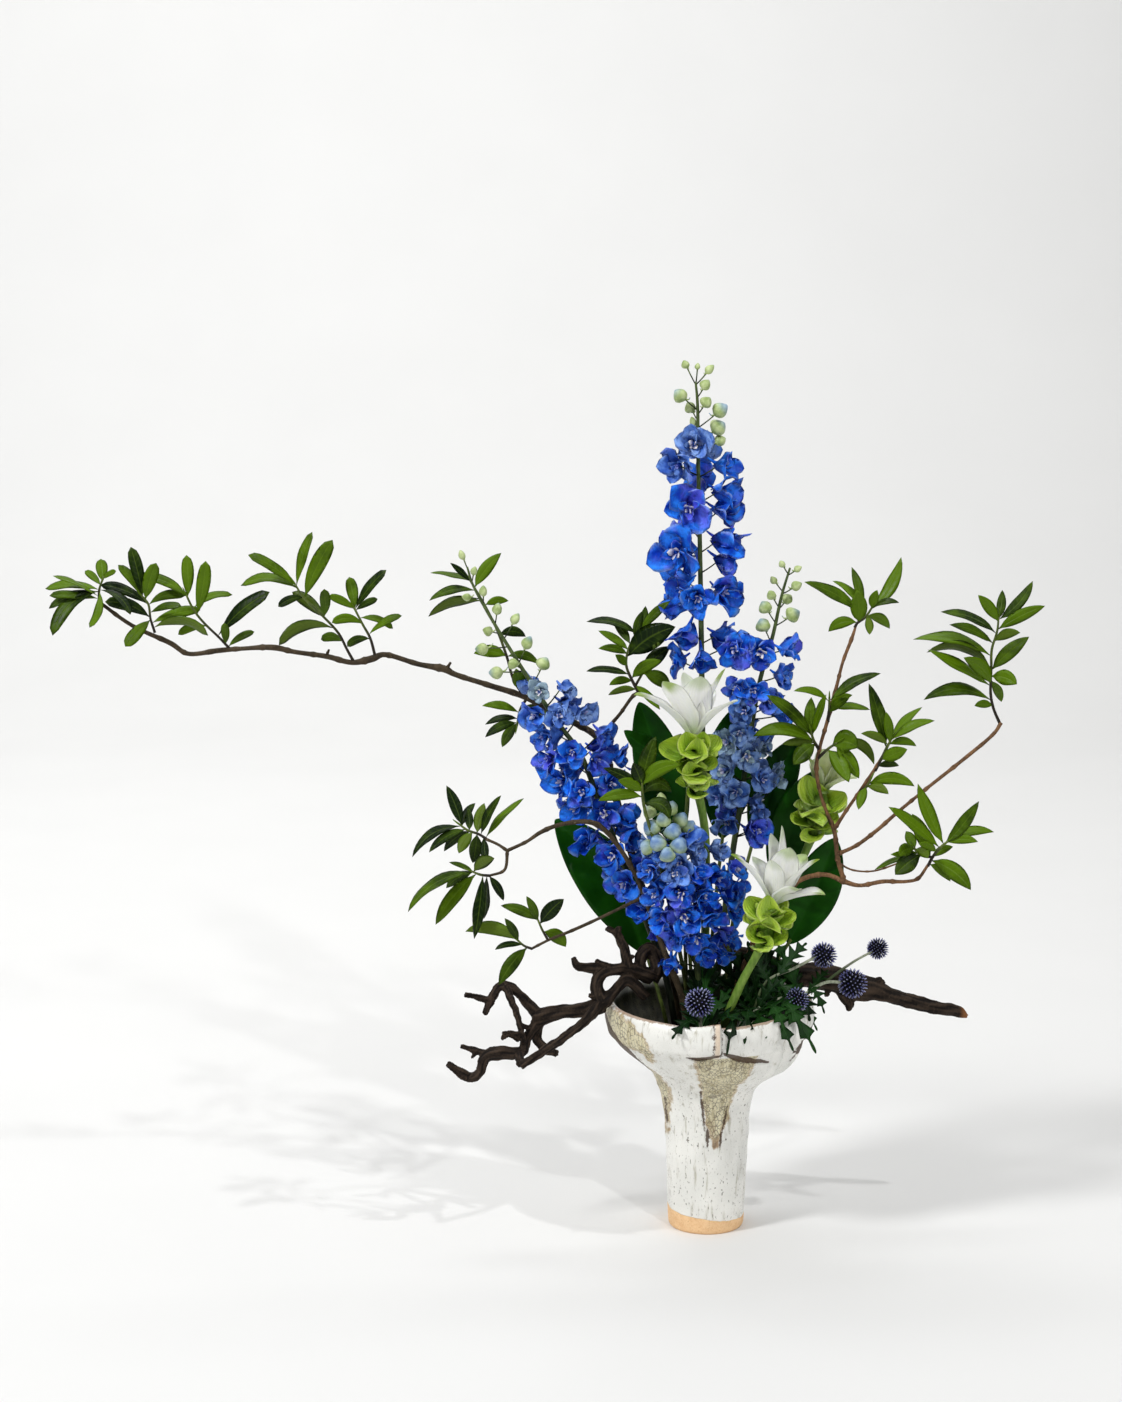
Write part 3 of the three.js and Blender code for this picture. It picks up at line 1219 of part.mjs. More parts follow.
// Driftwood: limbs as rows of u, v, w and radius, joined in one piece
const DRIFTWOOD = {
  driftwood_left: [
    [[-62, 239, -32, 5], [-82, 258, -33, 6], [-94, 246, -33, 5.5], [-106, 236, -33, 8], [-113, 252, -32, 6.5],
      [-108, 264, -29, 6], [-84, 269, -25, 6.5], [-56, 260, -20, 8]],
    [[-57, 257, -20, 7.5], [-51, 272, -15, 7], [-59, 290, -12, 7], [-67, 283, -16, 7], [-68, 266, -22, 5]],
    [[-80, 268, -25, 5.5], [-84, 286, -24, 5], [-92, 305, -20, 4.4], [-103, 312, -18, 2.6]],
    [[-100, 267, -27, 6], [-118, 270, -24, 5.5], [-132, 272, -22, 4.6], [-137, 281, -18, 3]],
    [[-106, 233, -33, 8.5], [-124, 226, -28, 8], [-150, 224, -20, 7.5], [-172, 218, -8, 9]],
    [[-108, 236, -33, 6], [-118, 221, -42, 5.5], [-138, 203, -52, 4.6], [-162, 186, -60, 4.4], [-190, 167, -68, 4.4]],
    [[-170, 219, -8, 7], [-182, 232, -4, 5.4], [-200, 250, 2, 4.6], [-211, 251, 0, 4.6], [-222, 233, -8, 4.2],
      [-227, 221, -12, 2.6]],
    [[-219, 236, -7, 3.8], [-247, 242, -16, 2.6]],
    [[-206, 252, 0, 4], [-194, 222, -20, 3.4], [-187, 192, -30, 3]],
    [[-172, 214, -8, 6.5], [-183, 197, -17, 5], [-190, 181, -30, 6], [-212, 181, -36, 7], [-226, 176, -39, 6],
      [-232, 160, -46, 5], [-241, 155, -50, 5.5], [-265, 169, -60, 3]],
    [[-222, 179, -38, 4.2], [-251, 188, -28, 2.4]],
    [[-192, 180, -32, 5], [-190, 168, -60, 4]],
    [[-173, 212, -8, 6], [-174, 198, -9, 5], [-164, 184, -18, 4.6], [-154, 180, -28, 4]],
  ],
  driftwood_right: [
    [[-22, 292, 66, 5], [2, 290, 66, 8], [34, 284, 66, 8.5], [62, 274, 64, 9.5], [84, 264, 62, 11],
      [108, 262, 56, 13], [128, 258, 50, 14.5], [150, 250, 46, 14], [168, 248, 44, 11.5], [186, 241, 43, 8.5],
      [233, 228, 40, 7], [254, 225, 38, 6], [265, 219, 37, 2]],
    [[136, 248, 46, 8], [144, 231, 40, 5], [143, 225, 38, 2.4]],
    [[166, 250, 44, 7], [178, 258, 42, 4]],
    [[36, 284, 66, 5], [28, 262, 60, 5.5], [20, 244, 58, 4.5]],
  ],
};
const DRIFT_SIDES = 5;

const PALETTE = {
  glaze: [0xdedfd8, 0.45, 0],
  water: [0x6f7f78, 0.1, 0],
  brass: [0x8c8266, 0.4, 1],
  driftwood: [0x43342a, 0.85, 0],
  bark: [0x5a4532, 0.8, 0],
  tanBark: [0x93653f, 0.8, 0],
  leaf: [0x3f7226, 0.5, 0],
  darkLeaf: [0x0f3d14, 0.4, 0],
  blue: [0x2447c8, 0.6, 0],
  petal: [0xf0efe8, 0.5, 0],
  bract: [0x96bd33, 0.5, 0],
  thistle: [0x54578f, 0.8, 0],
  thistleLeaf: [0x123a1c, 0.6, 0],
};

const root = new THREE.Group();

function addNode(name, solid, finish) {
  const { vertProperties, triVerts } = solid.getMesh();
  const geometry = new THREE.BufferGeometry();
  geometry.setAttribute("position", new THREE.BufferAttribute(vertProperties, 3));
  geometry.setIndex(new THREE.BufferAttribute(triVerts, 1));
  const [color, roughness, metalness] = PALETTE[finish];
  const mesh = new THREE.Mesh(geometry, new THREE.MeshStandardMaterial({ color, roughness, metalness }));
  mesh.name = name;
  root.add(mesh);
}

// Each piece is a firm core, which nothing may cut, and soft growth, which gives way to its neighbours.
// A piece's makers take a grow value, so that the same code makes the clearance round it.
const pieces = [];
const addPiece = (name, finish, core, growth = []) => pieces.push({ name, finish, core, growth });

addPiece("vase", "glaze", [vase]);
addPiece("needle_holder", "brass", [needleHolder]);

for (const [name, limbs] of Object.entries(DRIFTWOOD))
  addPiece(name, "driftwood", [], limbs.map((rows) => (grow) => limb(sightedRoute(rows), DRIFT_SIDES, grow)));

for (const [name, { main, sides }] of Object.entries(BRANCHES)) {
  const routes = [stemRoute(name, main), ...sides.map((rows) => sightedRoute(rows))];
  const finish = name === "branch_right" ? "tanBark" : "bark";
  addPiece(name, finish, routes.map((route) => (grow) => limb(route, BRANCH_SIDES, grow)));
}

for (const [name, { stem, florets, buds, spiral }] of Object.entries(DELPHINIUMS)) {
  const growth = florets.map(([u, v, depth, size, azimuth, tilt]) => {
    const root = sight(...nearestOnTwig([stem], u, v - STALK_DROP * size));
    const centre = sight(u, v, nearestOnTwig([stem], u, v)[2] + depth);
    return (grow) => floret(root, centre, heading(azimuth, tilt), size, grow);
  });
  const [start, end] = spiral.away;
  for (let k = 0; k < spiral.count; k++) {
    const v = spiral.from + ((spiral.to - spiral.from) * (k + 0.5)) / spiral.count;
    const facing = heading(start + ((k * GOLDEN_ANGLE) % (end - start)), -5);
    const root = sight(...atHeight(stem, v));
    const centre = root.clone().addScaledVector(facing, spiral.radius).addScaledVector(UP, STALK_DROP * spiral.size);
    growth.push((grow) => floret(root, centre, facing, spiral.size, grow));
  }
  for (const [u, v, depth, length, radius] of buds) {
    const place = nearestOnTwig([stem], u, v - length);
    const centre = sight(u, v, place[2] + depth);
    growth.push((grow) => bud(sight(...place), centre, length, radius, grow));
  }
  addPiece(name, "blue", [(grow) => limb(stemRoute(name, stem), STEM_SIDES, grow)], growth);
}

for (const [name, { stem, petals, bracts }] of Object.entries(CURCUMAS)) {
  const cone = stem.slice(-4);
  const crownSeat = sight(...cone[3].slice(0, 3));
  const crownAxis = crownSeat.clone().sub(sight(...cone[2].slice(0, 3))).normalize();
  const stemSolid = (grow) => limb(stemRoute(name, stem), CURCUMA_SIDES, grow);
  const bractSolid = ([u, v, depth, width, share]) => {
    const [low, high] = [cone[0], cone[3]];
    const at = [0, 1, 2].map((i) => low[i] + (high[i] - low[i]) * share * BRACT_SPAN);
    const base = sight(...at);
    const tip = sight(u, v, at[2] + depth);
    const outward = tip.clone().sub(base).addScaledVector(UP, -tip.z + base.z);
    const control = base.clone().lerp(tip, 0.6).addScaledVector(UP, -0.35 * base.distanceTo(tip));
    const normal = UP.clone().multiplyScalar(outward.length() * 0.8).sub(outward.multiplyScalar(0.6)).normalize();
    return (grow) => blade([base, control, tip], normal, width, BRACT_RIB, 0.4, BRACT, grow, true);
  };
  const petalSolid = ([u, v, depth, width, bulge]) => {
    const base = crownSeat.clone().addScaledVector(crownAxis, SEAT_RISE);
    const tip = sight(u, v, cone[3][2] + depth);
    const chord = tip.clone().sub(base);
    const outward = chord.clone().addScaledVector(crownAxis, -chord.dot(crownAxis));
    const normal = crownAxis.clone().multiplyScalar(outward.length()).sub(outward.multiplyScalar(1.2)).normalize();
    const control = base.clone().lerp(tip, 0.5).addScaledVector(crownAxis, 1.6 * bulge * chord.length());
    if (normal.length() < 0.5) normal.set(0, -1, 0);
    return (grow) => blade([base, control, tip], normal, width, PETAL_RIB, 0.3, PETAL, grow, true);
  };
  const crown = {
    points: [GAP, CROWN_HEIGHT / 2, CROWN_HEIGHT].map((h) => crownSeat.clone().addScaledVector(crownAxis, h)),
    radii: [CROWN_RADIUS, CROWN_RADIUS + 2, CROWN_RADIUS],
  };
  const crownCore = (grow) => limb(crown, CURCUMA_SIDES, grow);
  addPiece(`${name}_stem`, "bract", [stemSolid], bracts.map(bractSolid));
  addPiece(`${name}_crown`, name === "curcuma_back" ? "bract" : "petal", [crownCore], petals.map(petalSolid));
}

const HEAD_CORE = 0.74; // share of a head's radius that its core fills
const HEAD_CLEARANCE = 2.5; // the steep spines need more reach for the same clearance

// A head is a ball with a short three sided spine on each of its facets
function thistleHead([u, v, w, radius], grow = 0) {
  const centre = sight(u, v, w);
  const ball = new THREE.DodecahedronGeometry(1, 0).getAttribute("position");
  const points = [];
  const keys = new Map();
  const faces = [];
  const indexOf = (p) => {
    const key = p.toArray().map((n) => n.toFixed(3)).join();
    if (!keys.has(key)) {
      keys.set(key, points.length);
      points.push(centre.clone().addScaledVector(p, radius * HEAD_CORE + HEAD_CLEARANCE * grow));
    }
    return keys.get(key);
  };
  for (let i = 0; i < ball.count; i += 3) {
    const corners = [0, 1, 2].map((k) => new THREE.Vector3().fromBufferAttribute(ball, i + k));
    const [a, b, c] = corners.map(indexOf);
    const out = corners[0].clone().add(corners[1]).add(corners[2]).normalize();
    const spine = points.push(centre.clone().addScaledVector(out, radius + HEAD_CLEARANCE * grow)) - 1;
    faces.push([a, b, spine], [b, c, spine], [c, a, spine]);
  }
  return toSolid(points, faces);
}
for (const [name, head] of Object.entries(HEADS)) addPiece(name, "thistle", [(grow) => thistleHead(head, grow)]);

function thistleLeaf(twigs, [bu, bv, tu, tv, depth, width, bulge], grow) {
  const place = nearestOnTwig(twigs, bu, bv);
  const base = sight(...place);
  const tip = sight(tu, tv, place[2] + depth);
  const length = base.distanceTo(tip);
  const control = base.clone().lerp(tip, 0.45).addScaledVector(UP, 2 * bulge * length);
  const normal = UP.clone().addScaledVector(EYE.clone().sub(tip).normalize(), 0.9).normalize();
  return blade([base, control, tip], normal, width, LEAF_RIB, 0.12, THISTLE_LEAF, THISTLE_CLEARANCE * grow, true);
}

for (const [name, { stem, stalks, leaves }] of Object.entries(THISTLES)) {
  const twigs = [stem, ...stalks];
  const core = [stemRoute(name, stem), ...stalks.map((rows) => sightedRoute(rows))];
  addPiece(
    name,
    "thistleLeaf",
    [],
    [
      ...core.map((route) => (grow) => limb(route, STEM_SIDES, grow)),
      ...leaves.map((leaf) => (grow) => thistleLeaf(twigs, leaf, grow)),
    ],
  );
}

for (const [name, { stalk, tip, width, bulge, tilt }] of Object.entries(BROAD_LEAVES)) {
  const [below, top] = stalk.slice(-2).map((row) => sight(...row.slice(0, 3)));
  const base = top.clone().addScaledVector(below.sub(top).normalize(), 2 * END_INSET);
  const end = sight(...tip);
  const chord = end.clone().sub(base);
  const length = chord.length();
  const bend = vec(-chord.z, 0, chord.x).normalize();
  const middle = base.clone().lerp(end, 0.5).add(vec(0, BROAD_SAG, 0));
  const control = middle.addScaledVector(bend, bulge * length);
  const normal = vec(0, -1, 0.25).applyAxisAngle(chord.clone().normalize(), THREE.MathUtils.degToRad(tilt));
  const stem = (grow) => limb(stemRoute(name, stalk), STEM_SIDES, grow);
  const leaf = (grow) => blade([base, control, end], normal, width, BROAD_RIB, 0.2, BROAD_LEAF, grow);
  addPiece(name, "darkLeaf", [stem], [leaf]);
}

{
  const { stem, leaves } = FRONT_SHOOT;
  const core = (grow) => limb(stemRoute("front_shoot", stem), STEM_SIDES, grow);
  addPiece("front_shoot", "leaf", [core], leaves.map((leaf) => (grow) => smallLeaf([stem], leaf, grow)));
}

for (const [name, { twigs, leaves }] of Object.entries(SHOOTS))
  addPiece(
    name,
    "leaf",
    [],
    [
      ...twigs.map((rows) => (grow) => limb(sightedRoute(rows), TWIG_SIDES, grow)),
      ...leaves.map((leaf) => (grow) => smallLeaf(twigs, leaf, grow)),
    ],
  );

// Build in order: all cores stand first, then each piece's growth is trimmed clear of them and of earlier growth
const cores = pieces.map(({ core }) => (core.length ? join(core.map((make) => make(0))) : null));
const clearCores = pieces.map(({ core }) => (core.length ? join(core.map((make) => make(GAP))) : null));
let taken = null;
pieces.forEach(({ name, finish, growth }, k) => {
  let body = cores[k];
  if (growth.length) {
    let soft = join(growth.map((make) => make(0)));
    clearCores.forEach((other, i) => {
      if (other && i !== k) soft = soft.subtract(other);
    });
    if (taken) soft = soft.subtract(taken);
    const grown = join(growth.map((make) => make(GAP)));
    taken = taken ? taken.add(grown) : grown;
    body = body ? body.add(soft) : soft;
  }
  addNode(name, mainBody(body), finish);
});

// Water fills the column round the needle holder, with a plain hole for each stem
const upright = (low, high, radii, sides) => limb({ points: [vec(0, 0, low), vec(0, 0, high)], radii }, sides);
const RECESS_RADIUS = HOLDER_RADIUS + 3 * GAP;
const column = upright(HOLDER_BASE, WATER_LEVEL, [WATER_RADIUS, WATER_TOP_RADIUS], WATER_SIDES);
const recess = upright(0, STEM_FOOT, [RECESS_RADIUS, RECESS_RADIUS], WATER_SIDES);
const holes = Object.keys(NECK).map((name) => stemHoles[name]);
addNode("water", mainBody(column.subtract(join([recess, ...holes]))), "water");

export default root;
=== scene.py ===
# %% [markdown]
# # A flower arrangement in a hand built trumpet vase
#
# The construction model already stands: stems are plain rods, leaves are folded wedges, and each of them
# has its right place. This lesson dresses it. Every grown thing follows the same route as its solid, as a
# finer surface that is worked out with arrays, and every surface gets a finish mixed from a few nodes.
#
# The lists below are sighted: a row gives u across and v up, as the viewer sees the place in the upright
# plane through the vase, then w, how far behind that plane it lies, all in millimetres. That way a leaf
# that is seen in the wrong place is moved by two numbers.

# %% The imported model
import math

import bpy
import numpy as np
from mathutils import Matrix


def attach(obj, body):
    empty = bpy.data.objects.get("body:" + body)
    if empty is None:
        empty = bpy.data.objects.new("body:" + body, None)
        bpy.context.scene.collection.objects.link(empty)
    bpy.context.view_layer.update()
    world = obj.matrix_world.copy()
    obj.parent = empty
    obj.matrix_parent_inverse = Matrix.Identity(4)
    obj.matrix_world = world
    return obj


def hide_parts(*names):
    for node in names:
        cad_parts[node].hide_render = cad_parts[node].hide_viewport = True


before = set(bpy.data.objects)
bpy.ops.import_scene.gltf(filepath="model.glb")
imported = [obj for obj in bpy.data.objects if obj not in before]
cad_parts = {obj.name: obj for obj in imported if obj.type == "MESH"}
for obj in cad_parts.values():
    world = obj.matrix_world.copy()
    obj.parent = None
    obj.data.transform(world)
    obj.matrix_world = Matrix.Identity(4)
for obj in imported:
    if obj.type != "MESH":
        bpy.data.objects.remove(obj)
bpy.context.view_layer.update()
print("nodes in the packed model:", len(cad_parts))

# %% [markdown]
# ## Where the viewer stands
#
# The camera comes first, because the sighted lists depend on it. The viewer is 3 metres in front of the
# vase and a little to its left, 1.07 metres up, and looks down by ten degrees. That is far enough away
# for the vase to look almost level, and high enough to see into its mouth.

# %% Camera
EYE = np.array([-149.0, -3000.0, 1074.0])
MM = 0.001
LOOKING_DOWN = 10
FOCAL_PIXELS = 3050
TALL_PIXELS = 1402
FILM = 36
FARTHEST_SEEN = 50

camera_data = bpy.data.cameras.new("viewer")
camera_data.sensor_width = FILM
camera_data.lens = FOCAL_PIXELS / TALL_PIXELS * FILM
camera_data.clip_end = FARTHEST_SEEN
camera = bpy.data.objects.new("viewer", camera_data)
camera.location = EYE * MM
camera.rotation_euler = (math.radians(90 - LOOKING_DOWN), 0, 0)
bpy.context.scene.collection.objects.link(camera)
bpy.context.scene.camera = camera
print("lens", round(camera_data.lens, 1), "mm")

# %% [markdown]
# ## Turning sighted rows into places
#
# A sighted row becomes a place by walking along the viewer's line of sight. A stem is drawn as a few
# rows, and a smooth curve is run through them. The curve bends least when its slopes weigh long and short
# spans by the square roots of their lengths, which keeps it from looping where rows stand close together.

# %% Sight lines, unit vectors and smooth curves
UP = np.array([0.0, 0.0, 1.0])
AWAY = np.array([0.0, 1.0, 0.0])
THINNEST = 0.3


def sight(rows):
    """Place of each row (u, v, w): the eye plus the sight line through (u, v), times (3000 + w) / 3000."""
    rows = np.asarray(rows, float)
    u, v, w = rows[..., 0], rows[..., 1], rows[..., 2]
    reach = (w - EYE[1]) / -EYE[1]
    return np.stack([EYE[0] + (u - EYE[0]) * reach, w, EYE[2] + (v - EYE[2]) * reach], -1)


def length(vectors):
    """Length of each vector, kept as a last axis of one."""
    return np.linalg.norm(vectors, axis=-1, keepdims=True)


def unit(vectors):
    """Each vector divided by its own length."""
    return vectors / np.maximum(length(vectors), 1e-9)


def dot(a, b):
    """Sum of the products of matching parts, kept as a last axis of one."""
    return (a * b).sum(-1, keepdims=True)


def smooth(rows, per_span):
    """Centripetal Catmull-Rom curve: between two rows it is a cubic whose end slopes mix the chords on either
    side, each divided by the square root of its length."""
    p = np.asarray(rows, float)
    p = np.vstack([2 * p[0] - p[1], p, 2 * p[-1] - p[-2]])
    root = np.sqrt(length(np.diff(p[:, :3], axis=0)))
    before, here, after = root[:-2], root[1:-1], root[2:]
    a, b, c, d = p[:-3], p[1:-2], p[2:-1], p[3:]
    leave = here * ((b - a) / before - (c - a) / (before + here)) + (c - b)
    arrive = here * ((d - c) / after - (d - b) / (here + after)) + (c - b)
    t = (np.arange(per_span) / per_span)[None, :, None]
    b, c, leave, arrive = b[:, None], c[:, None], leave[:, None], arrive[:, None]
    curve = (2 * t**3 - 3 * t**2 + 1) * b + (t**3 - 2 * t**2 + t) * leave
    curve = curve + (3 * t**2 - 2 * t**3) * c + (t**3 - t**2) * arrive
    return np.vstack([curve.reshape(-1, p.shape[1]), p[-2]])


def smooth_path(places, radii, per_span):
    """Smooth path through places, with its radii: one curve is run through all four numbers."""
    path = smooth(np.column_stack([places, radii]), per_span)
    return path[:, :3], np.maximum(path[:, 3], THINNEST)


def sighted_path(rows, per_span):
    """Smooth path and radii from sighted rows of u, v, w and radius."""
    rows = np.asarray(rows, float)
    return smooth_path(sight(rows), rows[:, 3], per_span)


def run_along(path):
    """How far along a path each of its points lies: zero, then the sum of the steps so far."""
    return np.concatenate([[0], np.cumsum(length(np.diff(path, axis=0)))])


def bow(start, control, end, t):
    """Quadratic route between two places: (1-t)^2 start + 2t(1-t) control + t^2 end."""
    return (1 - t) ** 2 * start + 2 * t * (1 - t) * control + t**2 * end


def circle(count):
    """Angles of evenly spaced points on a circle: 2 pi k / count."""
    return 2 * np.pi * np.arange(count) / count


# %% [markdown]
# ## Shells
#
# Nearly everything here is a tube of some kind: a stem is a long round one, a leaf is a flattened one
# that closes at its base and tip, and a bud is a short fat one. So one kind of array serves them all: N
# shells, each with L rings of M points, closed at both ends by a single point. The numbers that a finish
# needs, such as how far along the leaf a point lies, travel with the points as named marks.

# %% Shells and the meshes made of them
rng = np.random.default_rng(7)


class Shells:
    """N closed shells of L rings of M points, each with a point at its start and one at its end."""

    def __init__(self, rings, start, end, finish=0, **marks):
        self.rings = rings
        self.poles = np.stack([start, end], 1)
        self.finish = finish
        n, l, m, _ = rings.shape
        self.marks = {}
        for name, values in marks.items():
            values = np.broadcast_to(np.asarray(values, float), (n, l, m))
            ends = np.stack([values[:, 0].mean(-1), values[:, -1].mean(-1)], 1)
            self.marks[name] = np.concatenate([values.ravel(), ends.ravel()])

    def points(self):
        """All ring points, then the two end points of each shell."""
        return np.concatenate([self.rings.reshape(-1, 3), self.poles.reshape(-1, 3)])

    def faces(self):
        """Four cornered faces between rings and three cornered ones at the ends. Where the volume under a
        shell's faces comes out negative, its faces are turned round to face outwards."""
        n, l, m, _ = self.rings.shape
        index = np.arange(n * l * m).reshape(n, l, m)
        turned = np.roll(index, -1, axis=2)
        quads = np.stack([index[:, :-1], turned[:, :-1], turned[:, 1:], index[:, 1:]], -1).reshape(n, -1, 4)
        foot = np.broadcast_to((n * l * m + 2 * np.arange(n))[:, None], (n, m))
        start = np.stack([foot, turned[:, 0], index[:, 0]], -1)
        end = np.stack([foot + 1, index[:, -1], turned[:, -1]], -1)
        fans = np.concatenate([start, end], 1)
        p = self.points()
        halves = np.concatenate([quads[..., [0, 1, 2]], quads[..., [0, 2, 3]], fans], 1)
        volume = (p[halves[..., 0]] * np.cross(p[halves[..., 1]], p[halves[..., 2]])).sum((1, 2))
        inside_out = volume < 0
        quads[inside_out] = quads[inside_out][..., ::-1]
        fans[inside_out] = fans[inside_out][..., ::-1]
        return quads.reshape(-1, 4), fans.reshape(-1, 3)


def make_piece(name, shells, finishes, node):
    """Joins shells in one mesh object, in metres, which rides on the root body and stands for a node."""
    starts = np.cumsum([0] + [len(s.points()) for s in shells])
    points = np.concatenate([s.points() for s in shells]) * MM
    faces = [s.faces() for s in shells]
    quads = np.concatenate([q + start for (q, _), start in zip(faces, starts)])
    fans = np.concatenate([t + start for (_, t), start in zip(faces, starts)])
    finish = np.concatenate([np.full(len(f[k]), s.finish) for k in range(2) for f, s in zip(faces, shells)])
    sizes = np.concatenate([np.full(len(quads), 4), np.full(len(fans), 3)])
    corners = np.concatenate([quads.ravel(), fans.ravel()])
    mesh = bpy.data.meshes.new(name)
    mesh.vertices.add(len(points))
    mesh.vertices.foreach_set("co", points.ravel())
    mesh.loops.add(len(corners))
    mesh.loops.foreach_set("vertex_index", corners.astype(np.int32))
    mesh.polygons.add(len(sizes))
    mesh.polygons.foreach_set("loop_start", np.concatenate([[0], np.cumsum(sizes)[:-1]]).astype(np.int32))
    mesh.polygons.foreach_set("material_index", finish.astype(np.int32))
    mesh.polygons.foreach_set("use_smooth", np.ones(len(sizes), bool))
    for mark in sorted({m for s in shells for m in s.marks}):
        values = np.concatenate([s.marks.get(mark, np.zeros(len(s.points()))) for s in shells])
        mesh.attributes.new(mark, "FLOAT", "POINT").data.foreach_set("value", values.astype(np.float32))
    for material in finishes:
        mesh.materials.append(material)
    mesh.update(calc_edges=True)
    piece = bpy.data.objects.new(name, mesh)
    bpy.context.scene.collection.objects.link(piece)
    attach(piece, "root")
    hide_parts(node)
    print(name, len(shells), "kinds of shell,", len(quads) * 2 + len(fans), "triangles")
    return piece


# %% [markdown]
# ## Tubes and blades
#
# A tube carries a circle along a path. The frame at each point comes from the path's own direction and
# the direction away from the viewer, which no stem here runs along for long. A blade is a lens section
# carried along a bent spine: its half width follows an outline, and its two faces meet at the edges, so
# it is closed and thin, as a real leaf is, and needs no second step to give it thickness.

# %% Tubes
GNARLS = [(2, 0.11, 0, 1), (3, -0.07, 1, 0.6), (5, 0.19, 2, 0.5)]


def directions(path):
    """Tangent by central differences, side = tangent x away, and lift = tangent x side."""
    tangent = unit(np.gradient(path, axis=-2))
    side = unit(np.cross(tangent, AWAY))
    return tangent, side, np.cross(tangent, side)


def tube(path, radius, sides=8, finish=0, gnarl=0.0, **marks):
    """Circle of the local radius carried along a path. Gnarl scales three waves, each with its own number of
    lobes round the tube, drift along it, start and size."""
    _, side, lift = directions(path)
    run = run_along(path)
    turn = circle(sides)[None, :]
    wave = sum(size * np.sin(lobes * turn + run[:, None] * drift + start)
               for lobes, drift, start, size in GNARLS)
    reach = np.asarray(radius)[:, None] * (1 + gnarl * wave)
    rings = path[:, None] + reach[..., None] * (
        np.cos(turn)[..., None] * side[:, None] + np.sin(turn)[..., None] * lift[:, None])
    marks.setdefault("along", (run / run[-1])[:, None])
    return Shells(rings[None], path[:1], path[-1:], finish, **marks)


# %% Blades
FINE_STATIONS = 12
TIP_THICKNESS = 0.35
NIBBLE = 0.6


def blades(base, control, tip, normal, width, outline, stations=9, points=5, thickness=0.5, fold=0.12,
           cup=0.0, ripple=0.0, waves=2.0, finish=0, tone=0.0, sweep=0.0):
    """N blades on quadratic spines. Across the spine, s runs from one edge to the other: the face rises by
    fold * |s| + cup * s^2 half widths, plus a wave along the edges, and the ends of the veins are nibbled by
    a smaller wave. Where a blade has many stations, they stand closer together at both of its ends."""
    base, control, tip, normal = (np.asarray(a, float)[:, None, None] for a in (base, control, tip, normal))
    n = base.shape[0]
    t = np.linspace(0, 1, stations + 2)[None, 1:-1, None, None]
    if stations >= FINE_STATIONS:
        t = 0.5 - 0.5 * np.cos(np.pi * t)
    over = np.linspace(1, -1, points)
    s = np.concatenate([over, over[::-1][1:-1]])[None, None, :, None]
    face_sign = np.concatenate([np.ones(points), -np.ones(points - 2)])[None, None, :, None]
    spine = bow(base, control, tip, t)
    along = unit(2 * (1 - t) * (control - base) + 2 * t * (tip - control))
    side = unit(np.cross(normal, along))
    face = np.cross(along, side)
    half = np.broadcast_to(np.asarray(width, float).reshape(-1, 1, 1, 1), (n, 1, 1, 1)) / 2 * outline(t)
    phase = rng.uniform(0, 2 * np.pi, (n, 1, 1, 1))
    wave = ripple * np.sin(2 * np.pi * waves * t + phase + s) * np.abs(s) ** 1.5
    lift = half * (fold * np.abs(s) + cup * s**2 + wave)
    thick = thickness / 2 * np.sqrt(np.maximum(1 - s**2, 0)) * (TIP_THICKNESS + (1 - TIP_THICKNESS) * (1 - t))
    nibble = sweep * np.abs(s) + NIBBLE * ripple * np.sin(6 * s + 2 * phase)
    rings = spine + side * s * half + face * (lift + face_sign * thick) + along * nibble * half
    tone = np.broadcast_to(np.asarray(tone, float).reshape(-1, 1, 1), (n, 1, 1))
    return Shells(rings, base[:, 0, 0], tip[:, 0, 0], finish, along=t[..., 0], across=np.abs(s[..., 0]),
                  under=(face_sign[..., 0] < 0) * 1.0, tone=tone)

# %% [markdown]
# ## A pale sweep and soft light
#
# The arrangement stands on a pale paper sweep: a floor that curves up into a wall far behind, so that no
# edge is seen. A soft lamp high at the left, like a window, throws a short shadow to the right. Two small
# ones at the right, one beside the arrangement and one in front, throw the faint leafy shadows of the
# branches to the back and the left. A wide one overhead fills them, and a last one only lights the wall.
# The room itself stays dim, because a bright room lays a grey haze of gloss on every leaf.

# %% Sweep
FLOOR_HALF = 9.0
FLOOR_FRONT = -6.0
WALL_TOP = 8.0
BEND_START = 2.6
BEND_RADIUS = 2.2


def sweep_of_paper():
    """Profile of floor, quarter circle and wall, drawn out to both sides."""
    turn = np.linspace(0, np.pi / 2, 24)
    y = np.concatenate([[FLOOR_FRONT], BEND_START + BEND_RADIUS * np.sin(turn), [BEND_START + BEND_RADIUS]])
    z = np.concatenate([[0.0], BEND_RADIUS * (1 - np.cos(turn)), [WALL_TOP]])
    x = np.array([-FLOOR_HALF, FLOOR_HALF])
    grid = np.stack(np.broadcast_arrays(x[None, :], y[:, None], z[:, None]), -1)
    index = np.arange(grid.shape[0] * 2).reshape(-1, 2)
    quads = np.stack([index[:-1, 0], index[:-1, 1], index[1:, 1], index[1:, 0]], -1)
    mesh = bpy.data.meshes.new("sweep")
    mesh.from_pydata(grid.reshape(-1, 3).tolist(), [], quads.tolist())
    mesh.polygons.foreach_set("use_smooth", np.ones(len(quads), bool))
    sweep = bpy.data.objects.new("sweep", mesh)
    bpy.context.scene.collection.objects.link(sweep)
    return sweep


sweep = sweep_of_paper()
print("sweep", len(sweep.data.polygons), "faces")


# %% Lamps
ROOM_LIGHT = 0.22


